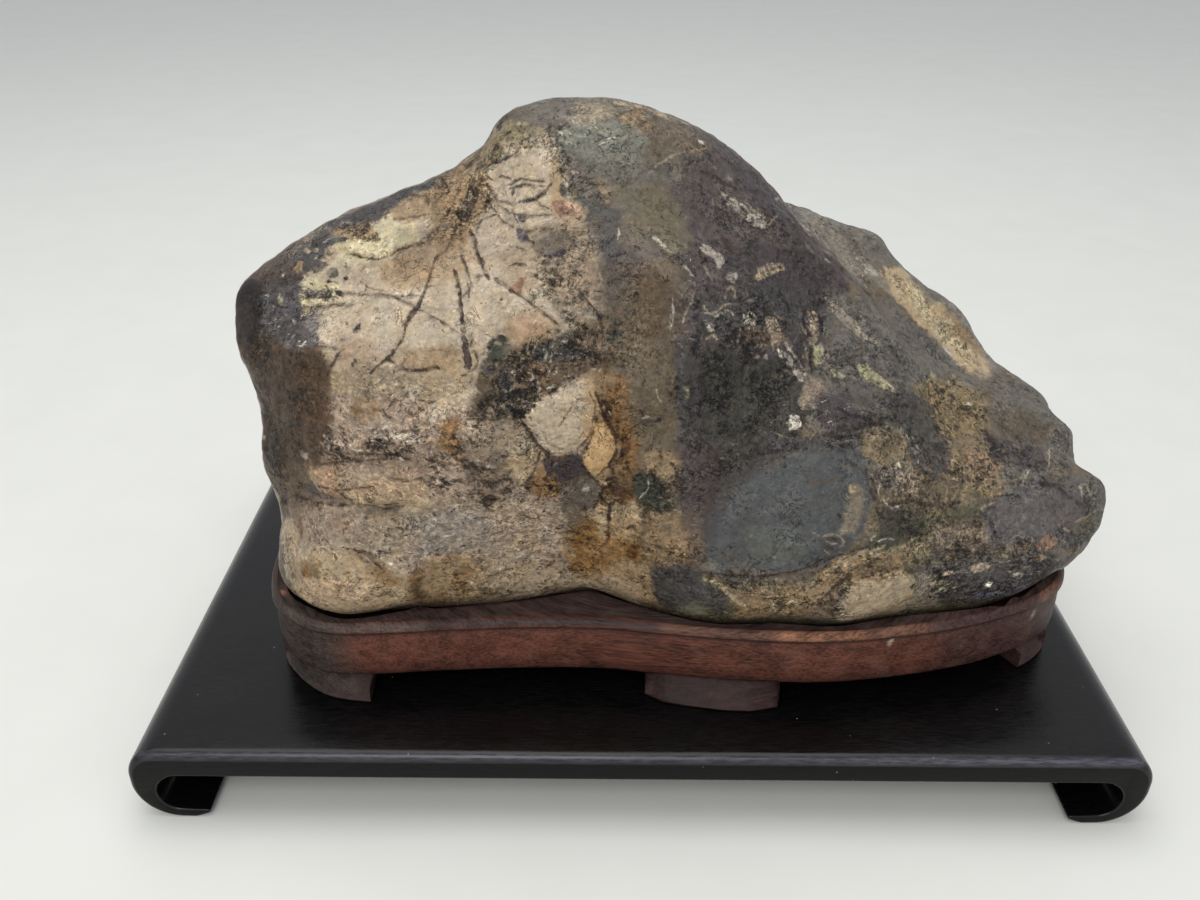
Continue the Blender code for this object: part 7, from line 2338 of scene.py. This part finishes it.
def base_rows(angles, foot, plan):
    """The outer rows from the underside to the bead: (offsets, heights) over the stations."""
    count = len(angles)
    rows = []

    def row(offset, height):
        rows.append((np.broadcast_to(offset, count).astype(float),
                     np.broadcast_to(height, count).astype(float)))

    reach = toe_reaches(angles)
    foot_rows = list(FOOT_INNER_ROWS)
    for lift, height in TOE_ROWS:
        shaped = np.maximum(reach + lift, -FOOT_COVE - 1.2) if lift < -2 else reach + lift
        foot_rows.append((shaped, TOE_HEIGHT + height))
    foot_rows.append((-FOOT_COVE, 50.0))
    flat = np.linspace(-FOOT_DEPTH, -FOOT_COVE, len(foot_rows))
    spread = np.clip(foot / 0.3, 0, 1)
    for level, (shaped, height) in zip(flat, foot_rows):
        row(level + (shaped - level) * spread, BASE_UNDERSIDE - (BASE_UNDERSIDE - height) * foot)
    for offset, height in WALL_ROWS:
        row(offset, height)
    end_soft = ramp(LEFT_END_X, LEFT_END_X - 30, plan[:, 0]) + ramp(
        RIGHT_END_X, RIGHT_END_X + 40, plan[:, 0])
    groove = GROOVE_DEPTH * (1 - 0.75 * np.clip(end_soft, 0, 1))
    for share, offset, height in GROOVE_ROWS:
        row(share * groove + offset, GROOVE_HEIGHT + height)
    for turn in np.radians(BEAD_DEGREES):
        row(BEAD_CENTRE[0] + BEAD_RADIUS * math.cos(turn),
            BEAD_CENTRE[1] + BEAD_RADIUS * math.sin(turn))
    return rows


def seat_rows(tree, angles, plan, bead_top):
    """The inner rows, from the bead in to the stone and down to the seat's floor."""
    outer = np.linalg.norm(plan - SEAT_CENTRE, axis=1)
    toward = np.column_stack([np.cos(angles), np.sin(angles)])

    def seat(clear_below):
        edge = np.minimum(stone_edge(tree, angles, clear_below) + SEAT_GAP, outer - LEAST_RIM)
        return SEAT_CENTRE + toward * edge[:, None]

    def level(flatwise, height):
        return np.column_stack([flatwise, np.full(len(angles), height)])

    lip = seat(SEAT_EDGE + 1.5)
    return [level(bead_top + (lip - bead_top) * share, height) for share, height in LIP_ROWS] + [
        level(seat(SEAT_EDGE), 71.0), level(seat(70.0), SEAT_FLOOR)]


def build_base(stone):
    """The carved base: rings from its underside over the rim to the seat, cut to the stone."""
    points, faces = read_triangles(stone)
    low = faces[points[faces][:, :, 2].min(axis=1) < STONE_SCAN_TOP]
    tree = BVHTree.FromPolygons(points.tolist(), low.tolist())

    wall = Wall()
    angles, foot = base_stations(wall)
    plan, out = wall.at(angles), wall.out(angles)
    rows = base_rows(angles, foot, plan)
    rings = [np.column_stack([plan + out * offset[:, None], height]) for offset, height in rows]
    inner = seat_rows(tree, angles, plan, rings[-1][:, :2])
    rings += inner
    count = len(angles)
    points = np.vstack(rings)
    uneven = sum(rise * layered_noise(points, *kind) for rise, *kind in UNEVENNESS)
    free = (points[:, 2] > TOE_HEIGHT + 0.6) & (
        np.arange(len(points)) < (len(rings) - EVEN_ROWS) * count)
    points[free, 2] += uneven[free]

    grain = np.column_stack([np.tile(path_lengths(plan), len(rings)), points[:, 2],
                             np.linalg.norm(points[:, :2] - SEAT_CENTRE, axis=1)])
    outward = np.repeat([offset.max() for offset, _ in rows] + [INSIDE] * len(inner), count)
    middle_low, middle_top = len(points), len(points) + 1
    points = np.vstack([points, [*SEAT_CENTRE, BASE_UNDERSIDE], [*SEAT_CENTRE, SEAT_FLOOR]])
    faces = ring_faces(len(rings), count).tolist()
    last = (len(rings) - 1) * count
    for k in range(count):
        j = (k + 1) % count
        faces.append([j, k, middle_low])
        faces.append([last + k, last + j, middle_top])
    obj = make_mesh("carved_base", points, faces, ["daiza"], 50)
    store(obj, "grain_place", np.vstack([grain, np.zeros((2, 3))]))
    store(obj, "paint", base_paint(points, np.append(outward, (INSIDE, INSIDE))))
    obj.data.materials.append(wood_material())
    return obj


def path_lengths(line):
    """How far along a line each of its points is."""
    return np.concatenate([[0], np.cumsum(np.linalg.norm(np.diff(line, axis=0), axis=1))])


WOOD_TINTS = {
    "red brown": (94, 56, 45), "rim shade brown": (64, 50, 49), "bead brown": (80, 52, 44),
    "dusty olive": (64, 54, 49), "foot brown": (50, 32, 31), "worn and lit orange": (142, 98, 74),
    "shade": (36, 24, 22), "groove": (20, 11, 9), "end brown": (68, 48, 44),
    "dust": (120, 104, 92), "fleck": (176, 160, 140),
}
# Tints by height, under and over the drawn zones: (tint, strength, fades), each fade none at
# its first height and full at its second.  The band on the rim's top is painted shade and the
# stone's painted reflection; the shade bands are painted shade.
WOOD_BANDS = [
    ("bead brown", 0.8, ((75.2, 76.2),)),
    # Painted shade and reflection on the rim's top, under the stone
    ("rim shade brown", 1.0, ((79.05, 78.7), (76.6, 77.4))),
    ("shade", 0.5, ((60, 50.5),)),
    ("foot brown", 1.0, ((51.2, 49.5),)),
]
SHADOW_BANDS = [
    ("groove", 0.95, ((73.3, 74.1), (76.0, 75.6))),
    ("shade", 0.8, ((51.6, 50.2), (49.0, 50.2))),
]
# (tint, edge softness px, strength, outline)
WOOD_ZONES = [
    ("dusty olive", 50, 1.0, [(255, 570), (330, 600), (356, 690), (255, 720)]),
    ("end brown", 60, 0.8, [(930, 590), (1080, 560), (1075, 680), (940, 690)]),
    ("dusty olive", 30, 0.5, [(1036, 580), (1080, 560), (1075, 640), (1030, 640)]),
]
BEAD_FADE, BEAD_INNER = (75.6, 76.4), -2.5    # heights, and offset from the wall
# Worn places along the bead, with a painted highlight where it catches the light:
# (tint, strength, from x px, to x px)
BEAD_WEAR_AND_HIGHLIGHT = [
    ("worn and lit orange", 0.90, 780, 866), ("worn and lit orange", 0.30, 660, 780),
    ("worn and lit orange", 0.40, 866, 930), ("dust", 0.20, 330, 420), ("worn and lit orange", 0.35, 1040, 1062),
]
# Specks: (tint, radius px, x px, y px)
FLECKS_ON_WOOD = [("fleck", 0.8, 890, 641), ("fleck", 0.6, 1032, 614), ("fleck", 2.0, 1009, 668),
                  ("worn and lit orange", 2.0, 283, 592)]


def base_paint(points, outward):
    """The wood's tints: by height all round, with painted shade on the rim's top, in the groove and
    low on the wall, and by drawn zones and wear in front, with a painted highlight on the bead.
    """
    paint = np.tile(linear(WOOD_TINTS["red brown"]), (len(points), 1))
    height = points[:, 2]

    def lay(tint, share):
        nonlocal paint
        paint = paint + (linear(WOOD_TINTS[tint]) - paint) * share[:, None]

    def lay_bands(bands):
        for tint, strength, fades in bands:
            lay(tint, np.prod([ramp(none, full, height) for none, full in fades], axis=0)
                * strength)

    pixels = to_pixels(points)
    front = ramp(20, -20, points[:, 1])
    lay_bands(WOOD_BANDS)
    for tint, softness, strength, outline in WOOD_ZONES:
        spread_on(paint, pixels, front, outline, softness, strength, linear(WOOD_TINTS[tint]))
    # Rubbed wear with a painted highlight along the bead's front
    for tint, strength, left, right in BEAD_WEAR_AND_HIGHLIGHT:
        along = ramp(left - 8, left + 8, pixels[:, 0]) * ramp(right + 8, right - 8, pixels[:, 0])
        on_bead = ramp(*BEAD_FADE, height) * (outward > BEAD_INNER)
        lay(tint, along * front * on_bead * strength)
    lay_bands(SHADOW_BANDS)
    for tint, size, x, y in FLECKS_ON_WOOD:
        away = np.hypot(pixels[:, 0] - x, pixels[:, 1] - y)
        lay(tint, ramp(size + 1, size, away) * front)
    lay("dusty olive", ramp(0, 60, points[:, 1]) * 0.35)
    return paint


def wood_material():
    """Dark hardwood whose fibres run round the base, with pores and a little dust."""
    s = Shader("carved_hardwood")
    place = s.parts(s.stored("grain_place", "Vector"))
    stretched = s.join(s.times(place[0], 0.07), place[1], s.times(place[2], 0.8))
    fibre = s.noise(0.9, 4, 0.62, stretched)
    figure = s.noise(4.0, 3, 0.5, stretched)
    dust = s.noise(9, 4, 0.6)
    bright = s.plus(s.spread(fibre, 0.40, 0.60, 0.68, 1.32),
                    s.spread(figure, 0.40, 0.60, -0.22, 0.22))
    bright = s.plus(bright, s.spread(s.noise(26, 3, 0.5), 0.4, 0.6, -0.12, 0.12))
    colour = s.shade(s.stored("paint", "Color"), bright)
    pores = s.spread(s.noise(0.7, 2, 0.5, stretched), 0.60, 0.66, 1.0, 0.5)
    colour = s.shade(colour, pores)
    colour = s.mix(s.spread(dust, 0.55, 0.72, 0, 0.16), colour,
                   tuple(linear(WOOD_TINTS["dust"])))
    height = s.plus(s.times(fibre, 0.7), s.times(dust, 0.5))
    rough = s.spread(s.plus(fibre, dust), 0.8, 1.2, 0.40, 0.62)
    return s.finish(colour, rough, s.bump(height, 0.35, 0.9), Specular_IOR_Level=0.2)


# ---------------------------------------------------------------- table
TABLE_HALF_LENGTH, TABLE_HALF_DEPTH = 225.0, 150.0
BOARD_BOTTOM, BOARD_RADIUS = 24.6, 13.4
SCROLL_RADIUS, STRIP_END = 20.5, 198.5
TOP_EDGE, TOP_EDGE_LOSS = 4.2, 1.9       # edge radius, and what it loses round the board's end
ROLL_EDGE, ROLL_EDGE_LOSS = 2.3, 1.4     # the same round the roll
HOLLOW_EDGE = 0.8
TOP_STEPS, END_STEPS, ROLL_STEPS, HOLLOW_STEPS, UNDERSIDE_STEPS = 22, 14, 18, 20, 12
HOLLOW_CENTRE, HOLLOW_RADII = (203.8, 14.5), (10.0, 9.9)
EDGE_DEGREES = (0, 15, 30, 45, 60, 75, 90)
MIDDLE_END, MIDDLE_RINGS = 136.0, 18       # rings between the two rounded long edges
# From the strip the table stands on round the roll's lip: (x, z, edge radius)
SCROLL_LIP = [(201.5, 0.0, 0.8), (STRIP_END, 0.0, 0.8), (196.4, 0.7, 0.7), (194.2, 1.65, 0.6),
              (192.6, 2.5, 0.45), (192.05, 3.1, 0.4), (192.15, 3.75, 0.4), (192.9, 4.15, 0.45),
              (194.6, 4.3, 0.5), (198.0, 4.35, 0.6), (201.0, 4.45, 0.7)]
# Where the hollow meets the board's underside
HOLLOW_CORNER = [(207.3, 24.05, 0.7), (205.6, 24.5, 0.7), (203.5, 24.6, 0.8)]
# Black lacquer, the painted highlight on the front's rounded top edge, and dust
LACQUER, LACQUER_EDGE_HIGHLIGHT, LACQUER_DUST = (10, 9, 10), (74, 72, 82), (150, 146, 140)


def arc_points(centre, radii, start, end, steps):
    """Points along an arc of an ellipse, from one angle in degrees to another."""
    turn = np.radians(np.linspace(start, end, steps + 1))
    return [(centre[0] + radii[0] * math.cos(a), centre[1] + radii[1] * math.sin(a))
            for a in turn]


def table_section():
    """Right half of the table's end view from the middle of its top round to the middle of its
    underside, each point with the radius of the edge there: (x, z, edge radius)."""
    made = [(x, TABLE_TOP, TOP_EDGE) for x in np.linspace(0, 205, TOP_STEPS)]
    ends = arc_points((TABLE_HALF_LENGTH - BOARD_RADIUS, BOARD_BOTTOM),
                      (BOARD_RADIUS, BOARD_RADIUS), 90, 0, END_STEPS)
    made += [(x, z, TOP_EDGE - TOP_EDGE_LOSS * k / END_STEPS) for k, (x, z) in enumerate(ends)]
    centre = (TABLE_HALF_LENGTH - SCROLL_RADIUS, SCROLL_RADIUS)
    roll = arc_points(centre, (SCROLL_RADIUS, SCROLL_RADIUS), 0, -90, ROLL_STEPS)
    made += [(x, z, ROLL_EDGE - ROLL_EDGE_LOSS * k / ROLL_STEPS) for k, (x, z) in enumerate(roll)]
    made += SCROLL_LIP
    hollow = arc_points(HOLLOW_CENTRE, HOLLOW_RADII, -90, 62, HOLLOW_STEPS)
    made += [(x, z, HOLLOW_EDGE) for x, z in hollow]
    made += HOLLOW_CORNER
    made += [(x, BOARD_BOTTOM, HOLLOW_EDGE) for x in np.linspace(190, 0, UNDERSIDE_STEPS)]
    return np.array(made)


def build_table():
    """The low table: its end view swept from front to back, with both long edges rounded."""
    half = table_section()
    section = np.vstack([half, half[::-1][1:-1] * np.array([-1, 1, 1])])
    before, after = np.roll(section, 1, axis=0)[:, :2], np.roll(section, -1, axis=0)[:, :2]
    along = after - before
    along /= np.linalg.norm(along, axis=1)[:, None]
    inward = np.column_stack([along[:, 1], -along[:, 0]])     # the section runs clockwise
    radius = section[:, 2]

    def edge_rings(side):
        for turn in np.radians(EDGE_DEGREES):
            flat = section[:, :2] + inward * (radius * (1 - math.sin(turn)))[:, None]
            y = side * (TABLE_HALF_DEPTH - radius * (1 - math.cos(turn)))
            yield np.column_stack([flat[:, 0], y, flat[:, 1]])

    count = len(section)
    rings = list(edge_rings(-1))
    for y in np.linspace(-MIDDLE_END, MIDDLE_END, MIDDLE_RINGS):
        rings.append(np.column_stack([section[:, 0], np.full(count, y), section[:, 1]]))
    rings += list(edge_rings(1))[::-1]
    points = np.vstack(rings)
    faces = ring_faces(len(rings), count)[:, [0, 3, 2, 1]].tolist()
    front_face = len(faces)
    faces.append(list(range(count)))
    faces.append(list(range(len(points) - 1, len(points) - 1 - count, -1)))
    obj = make_mesh("display_table", points, faces,
                    ["table_board", "scroll_foot_left", "scroll_foot_right"], 40)
    store(obj, "paint", table_paint(points))
    obj.data.materials.append(lacquer_material("black_lacquer", 0.38))
    obj.data.materials.append(lacquer_material("black_lacquer_front", 0.16))
    obj.data.polygons[front_face].material_index = 1
    return obj


def table_paint(points):
    """Black lacquer, with a painted highlight along the front's upper edge."""
    y, z = points[:, 1], points[:, 2]
    paint = np.tile(linear(LACQUER), (len(points), 1))
    # Painted highlight along the front's rounded top edge, stronger toward the right
    edge = ramp(-145.6, -148.4, y) * ramp(TABLE_TOP - 4.6, TABLE_TOP - 1.6, z)
    edge = edge * ramp(TABLE_TOP + 0.2, TABLE_TOP - 1.2, z)
    along = 0.6 + 0.4 * ramp(40, 140, points[:, 0])
    paint += (linear(LACQUER_EDGE_HIGHLIGHT) - paint) * (edge * along)[:, None]
    return paint


def lacquer_material(name, gloss):
    """Black lacquer over a fine grain, with dust; the front face is duller."""
    s = Shader(name)
    parts = s.parts(s.mm)
    stretched = s.join(s.times(parts[0], 0.12), parts[1], parts[2])
    grain = s.noise(0.9, 4, 0.65, stretched)
    orange_peel = s.noise(2.2, 3, 0.5)
    dust = s.spread(s.cells(13.0), 0.040, 0.028)
    colour = s.shade(s.stored("paint", "Color"), s.spread(grain, 0.40, 0.60, 0.6, 1.45))
    colour = s.mix(s.times(dust, 0.4), colour, tuple(linear(LACQUER_DUST)))
    height = s.plus(s.times(grain, 0.7), s.times(orange_peel, 0.8))
    rough = s.plus(s.spread(s.noise(45, 4, 0.6), 0.35, 0.65, 0.20, 0.30), s.times(dust, 0.3))
    rough = s.plus(rough, s.spread(grain, 0.40, 0.60, -0.025, 0.035))
    return s.finish(colour, rough, s.bump(height, 0.06, 0.9), Specular_IOR_Level=gloss)


# ---------------------------------------------------------------- floor, light and camera
FLOOR_HALF, FLOOR_HEIGHT = 6.0, -0.0002    # metres; just under the table, so they don't touch
FLOOR_TINTS = (0.775, 0.785, 0.745), (0.80, 0.81, 0.77)
ROOM_TINT, ROOM_STRENGTH = (0.94, 0.96, 1.0, 1.0), 0.58
# Square lamps: (name, place m, what it points at m, side m, watts, tint)
LAMPS = [
    ("ceiling_light", (-0.15, 0.2, 1.7), (0.05, 0.05, 0.1), 1.5, 13.0, (1.0, 0.98, 0.95)),
    ("front_light", (-0.25, -1.5, 1.35), (0.05, -0.05, 0.12), 1.0, 12.5, (1.0, 0.98, 0.94)),
]


def build_floor():
    """The pale floor that the table stands on."""
    mesh = bpy.data.meshes.new("floor")
    corners = [(-FLOOR_HALF, -FLOOR_HALF), (FLOOR_HALF, -FLOOR_HALF), (FLOOR_HALF, FLOOR_HALF),
               (-FLOOR_HALF, FLOOR_HALF)]
    mesh.from_pydata([(x, y, FLOOR_HEIGHT) for x, y in corners], [], [(0, 1, 2, 3)])
    floor = bpy.data.objects.new("floor", mesh)
    bpy.context.scene.collection.objects.link(floor)
    s = Shader("pale_floor")
    tone = s.mix(s.spread(s.noise(60, 3), 0.3, 0.7), *FLOOR_TINTS)
    mesh.materials.append(s.finish(tone, 0.6, s.bump(s.noise(1.5), 0.05, 0.3),
                                   Specular_IOR_Level=0.2))


def build_lights():
    """An even pale room, and two soft lamps."""
    world = bpy.data.worlds.new("soft_room")
    world.use_nodes = True
    background = world.node_tree.nodes["Background"]
    background.inputs["Color"].default_value = ROOM_TINT
    background.inputs["Strength"].default_value = ROOM_STRENGTH
    bpy.context.scene.world = world
    for name, place, aim, side, power, tint in LAMPS:
        lamp = bpy.data.lights.new(name, "AREA")
        lamp.shape = "SQUARE"
        lamp.size = side
        lamp.energy = power
        lamp.color = tint
        obj = bpy.data.objects.new(name, lamp)
        obj.location = place
        direction = Vector(aim) - Vector(place)
        obj.rotation_mode = "QUATERNION"
        obj.rotation_quaternion = direction.to_track_quat("-Z", "Y")
        bpy.context.scene.collection.objects.link(obj)


def build_camera():
    """The camera the markings are drawn through."""
    data = bpy.data.cameras.new("camera")
    data.sensor_width = SENSOR_WIDTH
    data.lens = SENSOR_WIDTH * FOCAL_PX / VIEW_WIDTH_PX
    camera = bpy.data.objects.new("camera", data)
    turn = Matrix([RIGHT, UP, -FORWARD]).transposed().to_4x4()
    camera.matrix_world = Matrix.Translation(Vector(EYE * MM)) @ turn
    bpy.context.scene.collection.objects.link(camera)
    bpy.context.scene.camera = camera


bpy.context.scene.view_settings.view_transform = "Standard"
build_camera()
build_base(build_stone())
build_table()
build_floor()
build_lights()
